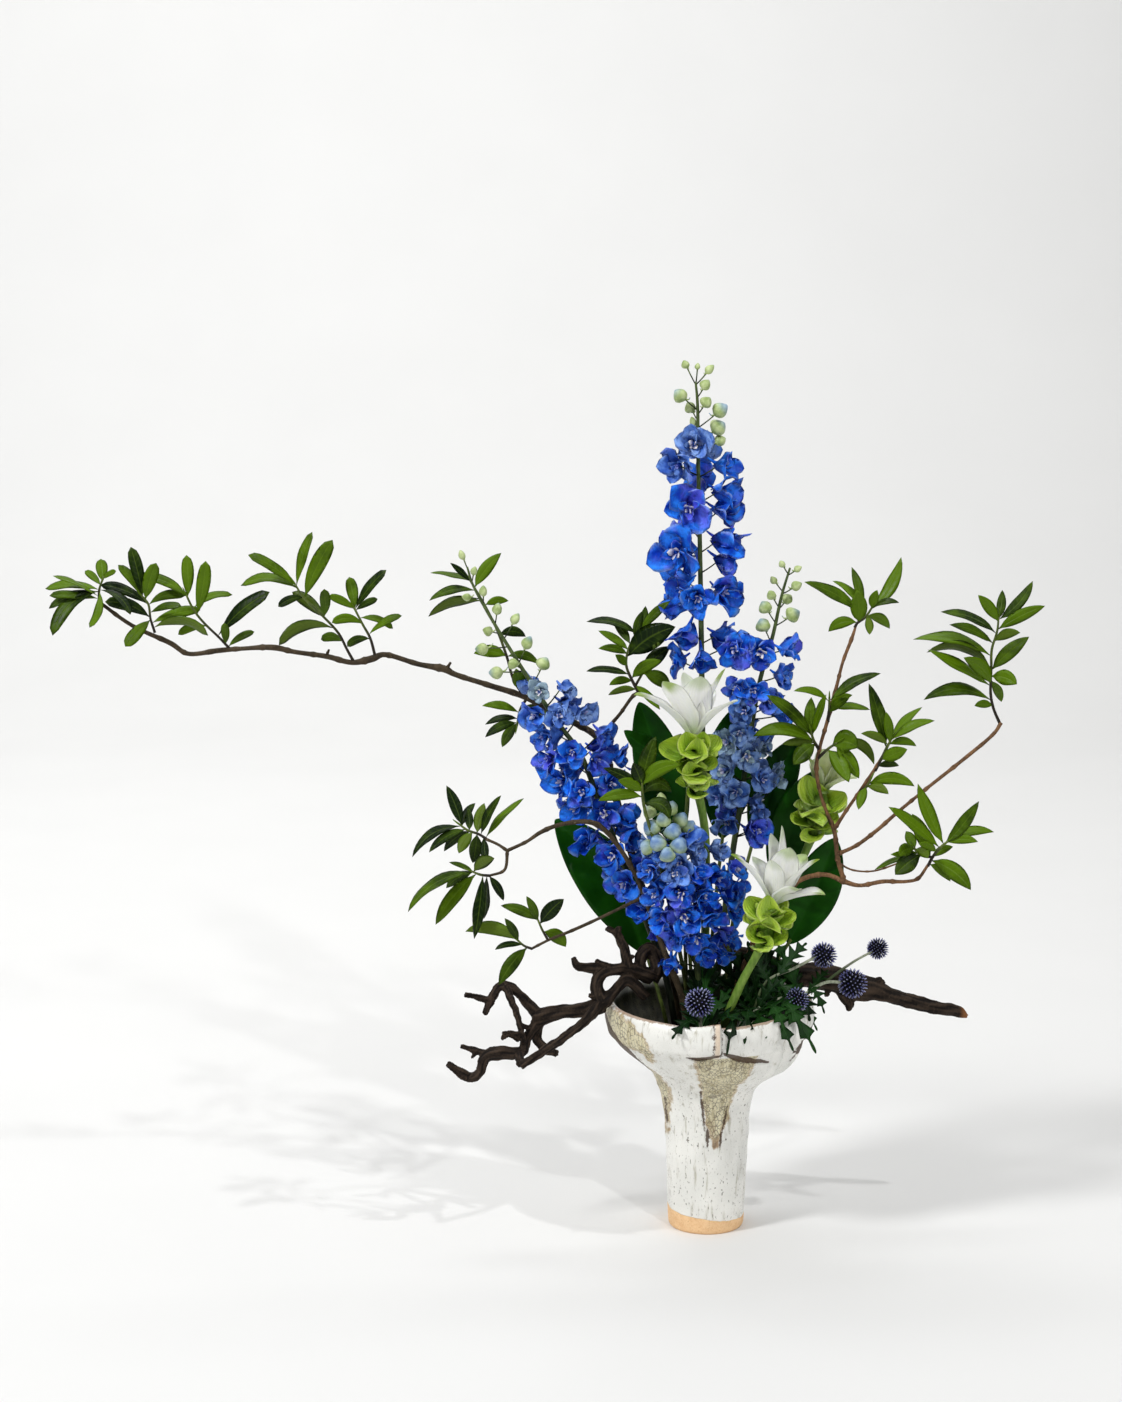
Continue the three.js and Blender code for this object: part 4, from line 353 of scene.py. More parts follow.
def soft_lamp(name, place, target, size, power):
    """Square lamp that faces a target: its turn is worked out from the line between the two."""
    data = bpy.data.lights.new(name, "AREA")
    data.size = size
    data.energy = power
    lamp = bpy.data.objects.new(name, data)
    lamp.location = place
    away = unit(np.array(place, float) - np.array(target, float))
    lamp.rotation_euler = (math.acos(away[2]), 0, math.atan2(away[0], -away[1]))
    bpy.context.scene.collection.objects.link(lamp)


soft_lamp("window", (-2.6, -1.7, 3.1), (0, 0, 0.3), 0.6, 92)
soft_lamp("side", (1.3, -1.25, 3.4), (0, 0, 0.4), 0.1, 28)
soft_lamp("front", (1.6, -3.35, 2.9), (0, 0, 0.4), 0.12, 44)
soft_lamp("ceiling", (0, 0.3, 3.4), (0, 0.2, 0), 3.0, 18)
soft_lamp("wall_wash", (-0.9, 1.6, 4.0), (-1.3, 4.8, 1.2), 2.6, 119)
world = bpy.data.worlds.new("room")
world.use_nodes = True
world.node_tree.nodes["Background"].inputs["Color"].default_value = (1, 1, 1, 1)
world.node_tree.nodes["Background"].inputs["Strength"].default_value = ROOM_LIGHT
bpy.context.scene.world = world
bpy.context.scene.view_settings.view_transform = "Standard"

# %% [markdown]
# ## Mixing finishes
#
# A finish is a small sum: a bit of noise here, a mark of the mesh there, one colour mixed over another.
# Written with nodes one by one it would fill pages, so a wire stands for a socket and takes part in sums
# as a number does. Each sum adds its own Math node, and only what changes over the surface is wired at
# all.

# %% Wires and paints
class Wire:
    """One socket of a finish, which adds a Math node for each sum that it takes part in."""

    def __init__(self, paint, socket):
        self.paint = paint
        self.socket = socket

    def math(self, operation, first, second=0.0):
        """A new wire that carries the outcome of one operation."""
        return self.paint.node("ShaderNodeMath", {"operation": operation}, {0: first, 1: second})

    def __add__(self, other):
        return self.math("ADD", self, other)

    def __sub__(self, other):
        return self.math("SUBTRACT", self, other)

    def __rsub__(self, other):
        return self.math("SUBTRACT", other, self)

    def __mul__(self, other):
        return self.math("MULTIPLY", self, other)

    def wave(self):
        """The sine of the value."""
        return self.math("SINE", self)

    def over(self, other):
        """The larger of two values."""
        return self.math("MAXIMUM", self, other)

    __radd__ = __add__
    __rmul__ = __mul__


def shade(red, green, blue):
    """Colour as a screen counts it, from 0 to 255, in the amounts of light that a shader counts in: a
    straight line for the darkest values, a power curve for the others."""
    c = np.array([red, green, blue]) / 255
    return (*np.where(c <= 0.04045, c / 12.92, ((c + 0.055) / 1.055) ** 2.4).tolist(), 1.0)


class Paint:
    """A finish being mixed. Each method adds nodes and gives back the wire that leaves them."""

    def __init__(self, name):
        self.material = bpy.data.materials.new(name)
        self.material.use_nodes = True
        self.tree = self.material.node_tree
        self.tree.nodes.clear()

    def node(self, kind, settings=None, values=None, out=0):
        """One node of any kind: its settings, then a number, a colour or a wire for each of its sockets."""
        node = self.tree.nodes.new(kind)
        for name, setting in (settings or {}).items():
            setattr(node, name, setting)
        for key, value in (values or {}).items():
            if isinstance(value, Wire):
                self.tree.links.new(value.socket, node.inputs[key])
            else:
                node.inputs[key].default_value = value
        return Wire(self, node.outputs[out]) if node.outputs else None

    def mark(self, name):
        """A number that the mesh carries at each point."""
        return self.node("ShaderNodeAttribute", {"attribute_name": name}, out="Fac")

    def place(self, stretch=(1, 1, 1)):
        """Place on the object, with each direction stretched by its own number."""
        place = self.node("ShaderNodeTexCoord", out="Object")
        return self.node("ShaderNodeVectorMath", {"operation": "MULTIPLY"}, {0: place, 1: stretch})

    def noise(self, place, scale, detail=2.0, rough=0.5):
        """Cloudy value about one half. The larger the scale, the finer its grain."""
        return self.node("ShaderNodeTexNoise", None,
                         {"Vector": place, "Scale": scale, "Detail": detail, "Roughness": rough})

    def step(self, value, low, high):
        """Smooth step from 0 below low to 1 above high."""
        return self.node("ShaderNodeMapRange", {"interpolation_type": "SMOOTHSTEP"},
                         {"Value": value, "From Min": low, "From Max": high})

    def mix(self, factor, one, other):
        """Colour one where the factor is 0 and the other colour where it is 1."""
        return self.node("ShaderNodeMix", {"data_type": "RGBA"}, {0: factor, 6: one, 7: other}, out=2)

    def bump(self, height, depth, strength=1.0):
        """Tilted normals, as if the surface rose by depth metres where the height is 1."""
        return self.node("ShaderNodeBump", None, {"Height": height, "Distance": depth, "Strength": strength})

    def finish(self, values):
        """The shader with its own numbers and wires, and the output it goes to."""
        shader = self.node("ShaderNodeBsdfPrincipled", None, values)
        self.node("ShaderNodeOutputMaterial", None, {"Surface": shader})
        return self.material


# %% Paper of the sweep
paper = Paint("paper")
grain = paper.noise(paper.place(), 3.0)
sweep.data.materials.append(paper.finish({
    "Base Color": paper.mix(grain, shade(224, 224, 223), shade(229, 229, 228)),
    "Roughness": 0.9,
    "Specular IOR Level": 0.2,
}))

# %% [markdown]
# ## Finishes of leaves and stems
#
# A leaf is darkest between its veins and paler along its rib, and its underside is a duller, greyer
# green. No two leaves on a twig match, so each blade has a tone of its own that shifts it between a deep
# and a fresh green. The rib and the side veins come from the marks that the blade carries, so they run
# where they should on every leaf.

# %% Leaf finishes
FULL_TURN = 6.283
VEIN_SLANT = 5.0


def leaf_finish(name, deep, fresh, below, rib, roughness, vein_count=9.0, vein_depth=0.0003):
    """Green between deep and fresh by noise and tone, pale at the rib, with side veins at a slant."""
    p = Paint(name)
    along, across, tone = p.mark("along"), p.mark("across"), p.mark("tone")
    cloud = p.noise(p.place(), 45.0, 3.0)
    vein = (along * (vein_count * FULL_TURN) - across * VEIN_SLANT).wave()
    green = p.mix(p.step(cloud * 0.7 + tone * 0.6, 0.34, 0.86), deep, fresh)
    green = p.mix(p.step(vein, 0.75, 1.0) * 0.06, green, rib)
    green = p.mix((1 - p.step(across, 0.02, 0.12)) * 0.22, green, rib)
    green = p.mix(p.mark("under") * 0.85, green, below)
    height = p.step(across, 0.0, 0.16) * 0.8 + p.step(vein, 0.4, 1.0) * -0.35 + cloud * 0.3
    return p.finish({
        "Base Color": green,
        "Roughness": p.step(cloud, 0.2, 0.9) * 0.2 + roughness,
        "Normal": p.bump(height, vein_depth),
        "Specular IOR Level": 0.13,
    })


small_leaf = leaf_finish("small_leaf", shade(12, 30, 2), shade(82, 112, 4), shade(86, 106, 32),
                         shade(112, 140, 36), 0.3)
broad_leaf = leaf_finish("broad_leaf", shade(6, 42, 0), shade(22, 80, 4), shade(20, 62, 12),
                         shade(34, 92, 20), 0.3, 5.0, 0.0002)


def stem_finish(name, dark, light, foot, scale=90.0, roughness=0.5):
    """Green skin with faint lengthwise flecks, which turns to its foot colour towards its foot; where that
    colour is near black, it is painted shade in the mouth of the vase.
    """
    p = Paint(name)
    fleck = p.noise(p.place((1, 1, 0.25)), scale * 6, 3.0)
    cloud = p.noise(p.place(), scale)
    skin = p.mix(p.step(fleck * 0.6 + cloud * 0.5, 0.3, 0.8), dark, light)
    return p.finish({
        "Base Color": p.mix(p.step(p.mark("along") + (cloud - 0.5) * 0.3, 0.25, 0.8), foot, skin),
        "Roughness": p.step(cloud, 0.2, 0.8) * 0.15 + roughness,
        "Normal": p.bump(fleck, 0.0002),
        "Specular IOR Level": 0.3,
    })


# The near-black feet of these two are painted shade where stems and stalks stand in the dark mouth of the
# vase; on the twigs of the shoots the same colour is their real woody brown foot.
young_stem = stem_finish("young_stem", shade(52, 68, 20), shade(98, 112, 44), shade(34, 26, 14))
spike_stem = stem_finish("spike_stem", shade(44, 62, 28), shade(92, 108, 56), shade(14, 22, 8))


# %% Bark finishes
def bark_finish(name, dark, light, spot):
    """Fissured skin: stretched noise for the ridges, and a few pale breathing spots."""
    p = Paint(name)
    ridge = p.noise(p.place((1, 1, 0.5)), 420.0, 4.0, 0.6)
    cloud = p.noise(p.place(), 55.0, 3.0)
    spots = p.noise(p.place(), 300.0, 1.0)
    brown = p.mix(p.step(ridge * 0.6 + cloud * 0.6, 0.35, 0.85), dark, light)
    brown = p.mix(p.step(spots, 0.68, 0.76) * 0.6, brown, spot)
    return p.finish({
        "Base Color": brown,
        "Roughness": p.step(cloud, 0.3, 0.8) * -0.15 + 0.75,
        "Normal": p.bump(ridge + cloud * 0.6, 0.0009),
        "Specular IOR Level": 0.25,
    })


dark_bark = bark_finish("dark_bark", shade(34, 28, 18), shade(78, 64, 44), shade(116, 100, 76))
tan_bark = bark_finish("tan_bark", shade(64, 46, 32), shade(140, 102, 68), shade(164, 132, 98))

# %% [markdown]
# ## The vase
#
# The real vase is a clay column thrown or rolled by hand, with a trumpet luted onto it and a slab bent
# round the top whose two ends overlap in front. White glaze stops above a bare terracotta foot and thins
# to a buff crackle where it ran. It is one closed surface of two parameters: the angle round the axis,
# packed closely at the overlap, and the way from the foot up the outside, over the rim and down the
# inside to the floor.

# %% Profile and unevenness of the vase
VASE_OUTSIDE = [
    (36.6, 0), (38, 1.8), (39.2, 17), (42, 90), (46, 134), (53, 152), (62.5, 163), (78, 175), (90.5, 189),
    (99, 203), (102, 205.5), (106.5, 222), (103.6, 236), (100.5, 238.2),
]
VASE_INSIDE = [(97.8, 236), (95, 217), (83.5, 196), (62, 176), (42, 158), (38.5, 144), (34.6, 12)]
SEAM_ANGLE = -85.5
SHOULDER_HEIGHT = 174
CREASE_HEIGHT = 204
LIP_START = 225
RIM_HEIGHT = 237
RIM_TOP = 238


def smoothstep(value, low, high):
    """Cubic step 3x^2 - 2x^3 between low and high."""
    x = np.clip((value - low) / (high - low), 0, 1)
    return x * x * (3 - 2 * x)


def vase_wall(height, radius, from_seam, inside):
    """Wall point of the vase: its mean radius, plus the wobble and step of the slab above the crease, and the
    fuller right shoulder; the lip rises where the upper end of the slab lies over the lower one."""
    a = np.radians(from_seam + SEAM_ANGLE)
    left = smoothstep(-from_seam, -0.7, 0.7)


    def bank(width):
        """Soft hump of this width about the seam."""
        return np.exp(-((from_seam / width) ** 2))

    slab = smoothstep(height, CREASE_HEIGHT - 2, CREASE_HEIGHT + 8)
    step = left * 5 * bank(32) - (1 - left) * 2.5 * bank(30)
    wobble = 1.6 * np.sin(3 * a + 0.6) + 1.1 * np.sin(5 * a + 2)
    full = 9 * np.exp(-(((height - SHOULDER_HEIGHT) / 17) ** 2)) * np.cos(a) * np.where(height > 150, 1, 0.3)
    r = radius + slab * (wobble + step * np.where(inside, 0.6, 1)) + full
    lip = smoothstep(height, LIP_START, RIM_HEIGHT - 2)
    rise = left * 5 * bank(10) - (1 - left) * 1.5 * bank(14)
    return r, a, height + lip * (rise + 1.4 * np.sin(2 * a + 1))


def near_line(x, z, rows):
    """How far inside a painted stroke each point lies: its half width there, less the distance to it."""
    rows = np.asarray(rows, float)
    a, b = rows[:-1], rows[1:]
    p = np.stack([x, z], -1)[..., None, :]
    span = b[:, :2] - a[:, :2]
    t = np.clip(((p - a[:, :2]) * span).sum(-1) / (span**2).sum(-1), 0, 1)
    away = np.linalg.norm(p - a[:, :2] - t[..., None] * span, axis=-1)
    return (a[:, 2] + (b[:, 2] - a[:, 2]) * t - away).max(-1)


# %% [markdown]
# The glaze's history is painted as strokes of x, z and half width in millimetres: the buff tongue below the
# overlap, narrower ones at the left of the neck and on the slab, broad burns at both sides that fade towards
# the back, thin dark scars, and the cracks along the crease. The dark of the cracks, and of the lines along
# both edges of the overlap, is painted shade in the crease and in the gaps. The mesh carries how deep inside
# a stroke each point lies, and the finish makes the edge ragged.

# %% Strokes on the vase
NO_STROKE = -20
BUFF_FRONT = [(14, 206, 34), (12, 188, 28), (9, 168, 21), (8, 146, 17), (8, 126, 12), (7, 108, 7), (6, 94, 3)]
BUFF_LEFT = [(-62, 178, 3), (-52, 166, 5), (-45, 150, 8), (-42, 130, 5), (-41, 112, 3), (-41, 98, 1.5)]
BUFF_SLAB = [(-108, 224, 18), (-88, 218, 18), (-74, 214, 12), (-64, 204, 7), (-58, 192, 3)]
BUFF_BACK = [(-30, 200, 20), (-24, 176, 12), (-22, 150, 6)]
BURNS = [
    [(-110, 229, 6), (-107, 214, 12), (-97, 203, 13), (-84, 193, 11), (-70, 182, 8), (-56, 169, 3)],
    [(108, 216, 4), (103, 206, 8), (93, 195, 6), (80, 186, 3)],
]
SCARS = [
    [(-9, 158, 0.8), (-8, 146, 1.5), (-6, 130, 1.5), (-4, 112, 1.2)],
    [(-1, 114, 2), (-1, 100, 2), (0, 90, 0.8)],
    [(19, 140, 0.8), (16, 122, 1.2), (12, 104, 1.6), (12, 92, 0.8)],
    [(-43, 140, 1.4), (-41, 112, 1.4)],
]
CRACKS = [
    [(-26, 205, 0.6), (-14, 203.5, 3.2), (-2, 206, 2.8), (7, 210, 1.6)],
    [(12, 210, 1.4), (23, 204.5, 3.6), (38, 199, 3.6), (60, 193, 0.8)],
    [(84, 194, 0.4), (90, 198, 2.4), (94, 203, 1.4)],
]


def vase_shell():
    """Closed wall of the vase and the marks of its finish."""
    fine = np.linspace(-3, 3, 37)
    wide = np.linspace(3, 357, 400)[1:-1]
    from_seam = np.concatenate([fine, wide])
    from_seam = np.where(from_seam > 180, from_seam - 360, from_seam)[None, :]
    outside, inside = (smooth(np.pad(np.array(rows, float), ((0, 0), (0, 1))), 9)
                       for rows in (VASE_OUTSIDE, VASE_INSIDE))
    profile = np.vstack([outside, inside])
    is_inside = np.concatenate([np.zeros(len(outside)), np.ones(len(inside))])[:, None]
    r, a, z = vase_wall(profile[:, 1:2], profile[:, 0:1], from_seam, is_inside > 0)
    a = np.broadcast_to(a, r.shape)
    outer = 1 - is_inside
    clay_above = smoothstep(z, 2, 14)
    r = r + outer * clay_above * (
        0.45 * np.sin(z * 0.21 + 2 * np.sin(3 * a)) * np.sin(2 * a + z * 0.013)
        + 0.35 * np.sin(7 * a + z * 0.03)
        + 0.25 * np.sin(11 * a - z * 0.05 + 1))
    folds = np.exp(-(((a + 0.6) / 0.5) ** 2)) * np.exp(-(((z - 200) / 30) ** 2))
    r = r + outer * folds * 1.8 * np.sin(a * 40 + z * 0.04)
    x, y = r * np.cos(a), r * np.sin(a)
    front = smoothstep(-y, -8, 4)
    crack = np.maximum.reduce([near_line(x, z, rows) for rows in CRACKS])
    strip = smoothstep(-from_seam, 0.6, 1.2) * (1 - smoothstep(-from_seam, 3.2, 4.0))
    strip = strip * smoothstep(z, 203, 208)
    r = r - outer * front * 2.2 * smoothstep(crack, -0.8, 1.0) + outer * strip * 1.3
    x, y = r * np.cos(a), r * np.sin(a)
    rings = np.stack([x, y, z], -1)

    def mask(rows, side):
        """Depth inside a stroke on the side of the vase where it was painted."""
        return np.where(side > 0, near_line(x, z, rows), NO_STROKE)

    buff = np.maximum.reduce([mask(BUFF_FRONT, front * (z < 205)), mask(BUFF_LEFT, outer),
                              mask(BUFF_SLAB, front), mask(BUFF_BACK, 1 - front)])
    fading = np.where(y > 0, 0.5 * y, -0.06 * y)
    scar = np.maximum.reduce([mask(rows, front) for rows in SCARS]
                             + [mask(rows, outer) - fading for rows in BURNS])
    # Painted shade: the cracks along the crease and the two edges of the overlapping slab join the scars'
    # mark, and their dark stands for the shade in the crease and in the gaps beside the overlap.
    crack = np.where(front > 0, crack * 2, NO_STROKE)
    edge = 0.7 - np.minimum(np.abs(from_seam + 3.9), np.abs(from_seam - 0.5) + 0.3) + np.where(z > 206, 0, -6)
    scar = np.maximum.reduce([scar, crack, edge * np.ones_like(z)])
    rim = 3 - np.abs(profile[:, 1:2] - RIM_TOP) + 0.8 * np.sin(5 * a + 1) - 1.4
    rim = np.where(is_inside > 0, rim - 1, rim)
    # Mask of the painted shade inside the mouth, from a few millimetres below the rim down.
    inner = is_inside * smoothstep(RIM_TOP - z, 3, 12)
    return Shells(rings[None], np.array([[0, 0, 0]]), np.array([[0, 0, 12.0]]), 0, buff=buff[None],
                  scar=scar[None], strip=strip[None], lip=np.broadcast_to(rim, z.shape)[None],
                  inner=np.broadcast_to(inner, z.shape)[None], outer=np.broadcast_to(outer, z.shape)[None])


# %% [markdown]
# The glaze itself is a cold white that breaks into fine brown specks and faint grey runs. It is glossy
# where it is thick, dull where it thinned to buff, and the foot is bare clay with a sandy surface.

# %% Glaze
def glaze_finish():
    """White over buff over dark scars by the painted strokes, with painted shade in the cracks, along the
    overlap edges and down the inside of the mouth, and bare clay below a ragged slanting line.
    """
    p = Paint("white_glaze")
    place = p.place()
    height = p.node("ShaderNodeSeparateXYZ", None, {0: place}, out="Z")
    ragged = p.noise(place, 130.0, 5.0, 0.65)
    fine = p.noise(place, 700.0, 3.0, 0.6)
    runs = p.noise(p.place((1, 1, 0.16)), 170.0, 4.0, 0.6)
    specks = p.noise(p.place((1, 1, 0.45)), 520.0, 2.0, 0.5)
    crackle = p.node("ShaderNodeTexVoronoi", {"feature": "DISTANCE_TO_EDGE"},
                     {"Vector": p.place((1, 1, 0.7)), "Scale": 290.0}, out="Distance")
    cloud = p.noise(place, 22.0, 2.0)
    white = p.mix(p.step(cloud, 0.3, 0.7), shade(234, 234, 228), shade(249, 248, 242))
    white = p.mix(p.step(runs, 0.54, 0.72) * 0.7, white, shade(166, 160, 138))
    speck = p.step(specks, 0.63, 0.68) * p.step(ragged, 0.4, 0.55)
    speck = speck * (1 - p.step(height * 1000.0, 150, 190) * 0.8)
    white = p.mix(speck * 0.85, white, shade(84, 68, 50))
    buff_edge = p.mark("buff") + (ragged - 0.5) * 11.0 + (runs - 0.5) * 9.0
    buff = p.step(buff_edge, -1.0, 2.5)
    net = (1 - p.step(crackle, 0.03, 0.14)) * p.step(ragged, 0.36, 0.5)
    buff_colour = p.mix(p.step(runs + (fine - 0.5) * 0.5, 0.42, 0.62), shade(224, 216, 182),
                        shade(190, 178, 138))
    buff_colour = p.mix(net * 0.72, buff_colour, shade(74, 56, 34))
    drip = (1 - p.step(height * 1000.0, 92, 130)) * p.step(runs, 0.44, 0.56)
    buff_colour = p.mix(drip * 0.8, buff_colour, shade(120, 78, 36))
    buff_colour = p.mix((1 - p.step(buff_edge, 1.5, 4.0)) * 0.5, buff_colour, shade(186, 150, 104))
    colour = p.mix(buff * 0.92, white, buff_colour)
    colour = p.mix(p.mark("strip") * 0.8, colour, p.mix(fine, shade(214, 186, 158), shade(232, 214, 190)))
    rim_line = p.step(p.mark("lip") + (ragged - 0.5) * 3.0 + (fine - 0.5) * 2.0, 0.2, 1.2)
    colour = p.mix(rim_line * 0.75, colour, shade(150, 112, 74))
    # This mark carries the real brown scars and burns, and the painted shade of the cracks and the overlap
    # edges.
    scar = p.step(p.mark("scar") + (ragged - 0.5) * 5.0 + (fine - 0.5) * 3.0, -0.2, 0.8)
    colour = p.mix(scar * 0.92, colour, p.mix(fine, shade(36, 24, 16), shade(96, 68, 42)))
    # Painted shade: the inside of the vase below the rim is darkened to stand for the shade down in its
    # mouth.
    inside_shade = p.mix(p.step(runs, 0.35, 0.7), shade(34, 36, 26), shade(66, 64, 50))
    colour = p.mix(p.mark("inner"), colour, inside_shade)
    sideways = p.node("ShaderNodeSeparateXYZ", None, {0: place}, out="X")
    level = (height + sideways * 0.11) * 1000.0 + (ragged - 0.5) * 3.0 + (cloud - 0.5) * 5.0
    waterline = p.step(level, 16.0, 16.6)
    clay = p.mix(p.step(ragged * 0.6 + fine * 0.5, 0.35, 0.8), shade(252, 214, 166), shade(232, 184, 132))
    clay = p.mix(p.step(fine, 0.62, 0.72) * 0.4, clay, shade(150, 106, 68))
    bare = (1 - waterline) * p.mark("outer")
    colour = p.mix(bare, colour, clay)
    thick = p.noise(place, 60.0, 3.0)
    height_map = thick * 0.5 + runs * 0.35 + fine * 0.06 + buff * -0.25 + scar * -0.3 + speck * -0.08
    height_map = height_map + waterline * 0.35 + net * buff * -0.12
    return p.finish({
        "Base Color": colour,
        "Roughness": (bare * 0.5).over(buff * 0.25).over(scar * 0.35) + p.step(fine, 0.3, 0.8) * 0.12 + 0.26,
        "Normal": p.bump(height_map, 0.0016, 0.7),
        "Specular IOR Level": 0.5,
    })


make_piece("glazed_vase", [vase_shell()], [glaze_finish()], "vase")

# %% [markdown]
# ## What stands in the vase
#
# The needle holder and the water keep their solids, whose shapes are right, and only take a finish: worn
# brass, and clear water in which light is bent.

# %% Brass and water
brass = Paint("brass")
wear = brass.noise(brass.place(), 90.0, 4.0)
brass_material = brass.finish({
    "Base Color": brass.mix(wear, shade(126, 112, 74), shade(168, 150, 104)),
    "Metallic": 1.0,
    "Roughness": wear * 0.3 + 0.25,
})
water = Paint("water")
ripple = water.noise(water.place(), 25.0)
water_material = water.finish({
    "Base Color": water.mix(ripple, shade(196, 214, 206), shade(214, 226, 220)),
    "Roughness": 0.03,
    "IOR": 1.33,
    "Transmission Weight": 1.0,
})
for node, material in {"needle_holder": brass_material, "water": water_material}.items():
    for material_slot in bpy.data.objects[node].material_slots:
        material_slot.material = material
    print(node, "keeps its solid and takes", material.name)

# %% [markdown]
# ## Branches
#
# Each woody branch runs from the needles, through the neck of the vase, to its tips. The bends between
# rows are smoothed, and the bark swells where a twig once left. A row is u, v, w and radius. The foot of
# each stem stands on the needles, a little nearer the middle than where it passes the neck.

# %% Stems from the needles up
FOOT_HEIGHT = 35.7
COLUMN_SQUEEZE = 0.97
COLUMN_DROP = 18
FOOT_SQUEEZE = 0.8
NECK_HEIGHT = 150
NECK = {
    "branch_left": (-21, 17),
    "branch_low_left": (-20, -16),
    "branch_right": (9, -5),
    "front_shoot": (-13, -6),
    "delphinium_tall": (-6, 15),
    "delphinium_left": (-26, -5),
    "delphinium_right": (7, 15),
    "delphinium_front": (-6, -13),
    "curcuma_top": (-4, 3),
    "curcuma_front": (9, -20),
    "curcuma_back": (18, 9),
    "thistle_centre": (-6, -26),
    "thistle_front": (21, -20),
    "thistle_right": (19, -8),
    "broad_leaf_low_left": (-29, 7),
    "broad_leaf_high_left": (-10, 27),
    "broad_leaf_level": (-16, 5),
    "broad_leaf_high_right": (4, 27),
    "broad_leaf_upper_right": (17, 23),
    "broad_leaf_mid_right": (27, 13),
    "broad_leaf_low_right": (28, 1),
}


def stem_path(name, rows, per_span=6):
    """Path and radii of a stem: foot on the needles, two places in the column, then the sighted rows."""
    x, y = NECK[name]
    rows = np.asarray(rows, float)
    low = [(x * FOOT_SQUEEZE, y * FOOT_SQUEEZE, FOOT_HEIGHT),
           (x * COLUMN_SQUEEZE, y * COLUMN_SQUEEZE, NECK_HEIGHT - COLUMN_DROP),
           (x, y, NECK_HEIGHT)]
    radii = np.concatenate([np.full(len(low), rows[0, 3]), rows[:, 3]])
    return smooth_path(np.vstack([low, sight(rows)]), radii, per_span)


def bark_tube(path, radius, every, swell):
    """Tube with soft rings, as the bark has at its old leaf nodes: a sharp wave along the length run."""
    rings = np.maximum(np.sin(run_along(path) * 2 * np.pi / every), 0) ** 8
    return tube(path, radius * (1 + swell * rings), 12, gnarl=0.035)


# %% Branch routes
BRANCHES = {
    "branch_left": dict(main=[
        (-36, 250, 19, 4.4), (-52, 300, 21, 4.3), (-75, 380, 25, 4.1), (-95, 450, 28, 3.9),
        (-110, 505, 30, 3.8), (-150, 530, 33, 3.4), (-185, 549, 35, 3.2), (-224, 562, 33, 3),
        (-257, 573, 31, 3), (-264, 577, 31, 3.9), (-290, 582, 28, 2.8), (-326, 592, 23, 2.9),
        (-337, 588, 22, 4), (-357, 584, 20, 2.8), (-382, 590, 18, 2.9), (-416, 595, 14, 2.5),
        (-434, 599, 12, 3.2), (-466, 598, 9, 2.3), (-491, 596, 7, 2.8), (-521, 593, 5, 2.4),
        (-537, 603, 3, 2.7), (-575, 621, -1, 2.1), (-608, 645, -5, 1.9),
    ], sides=[
        [(-108, 500, 29, 2.6), (-101, 518, 27, 2.1), (-90, 532, 25, 1.9), (-77, 550, 23, 1.9),
         (-71, 554, 22, 2)],
        [(-264, 576, 31, 1.8), (-259, 584, 28, 1.3)],
        [(-383, 590, 18, 1.6), (-380, 597, 16, 1.1)],
    ]),
    "branch_low_left": dict(main=[
        (-22, 222, -40, 3.6), (-29, 248, -44, 3.4), (-45, 290, -46, 3), (-66, 349, -52, 2.8),
        (-73, 366, -54, 2.6), (-101, 409, -58, 2.5), (-118, 421, -60, 2.8), (-149, 419, -62, 2.2),
        (-169, 411, -64, 2.2), (-184, 401, -65, 1.8), (-203, 392, -67, 1.9),
    ], sides=[
        [(-203, 393, -67, 1.7), (-206, 372, -70, 1.5), (-221, 366, -73, 1.4)],
        [(-202, 391, -67, 1.7), (-212, 398, -64, 1.5), (-225, 404, -60, 1.4)],
        [(-64, 345, -52, 2.2), (-80, 337, -58, 1.7), (-110, 322, -66, 1.6), (-138, 309, -74, 1.7),
         (-162, 299, -80, 1.4), (-179, 290, -84, 1.3)],
    ]),
    "branch_right": dict(main=[
        (26, 240, -10, 4.2), (40, 280, -10, 4), (62, 330, -13, 3.6), (80, 352, -17, 3.3), (98, 364, -20, 3),
        (119, 367, -22, 2.9), (137, 360, -25, 3.4), (152, 356, -30, 2.5), (176, 360, -38, 2.8),
        (199, 360, -46, 2.2), (211, 363, -50, 2.1), (221, 377, -52, 1.9),
    ], sides=[
        [(137, 360, -25, 3), (130, 383, -23, 2.8), (126, 412, -21, 2.9), (118, 432, -20, 2.2),
         (112, 449, -19, 2.1), (107, 476, -18, 2.6), (110, 497, -16, 2.2), (117, 523, -13, 2.5),
         (126, 560, -10, 2.3), (132, 585, -8, 2), (141, 610, -6, 2.2), (144, 620, -5, 1.5)],
        [(126, 414, -21, 2.6), (137, 432, -26, 2.2), (151, 453, -32, 2.2), (166, 476, -38, 2.2),
         (177, 496, -42, 1.6)],
        [(129, 388, -22, 2.6), (148, 397, -14, 2.4), (169, 413, -2, 2.6), (190, 432, 10, 2.3),
         (217, 455, 24, 2.2), (256, 487, 44, 2.5), (285, 513, 58, 2.4), (291, 523, 61, 2.8)],
        [(131, 379, -23, 1.4), (145, 372, -10, 1.2), (167, 371, 4, 1.2), (194, 380, 4, 1.1)],
    ]),
}

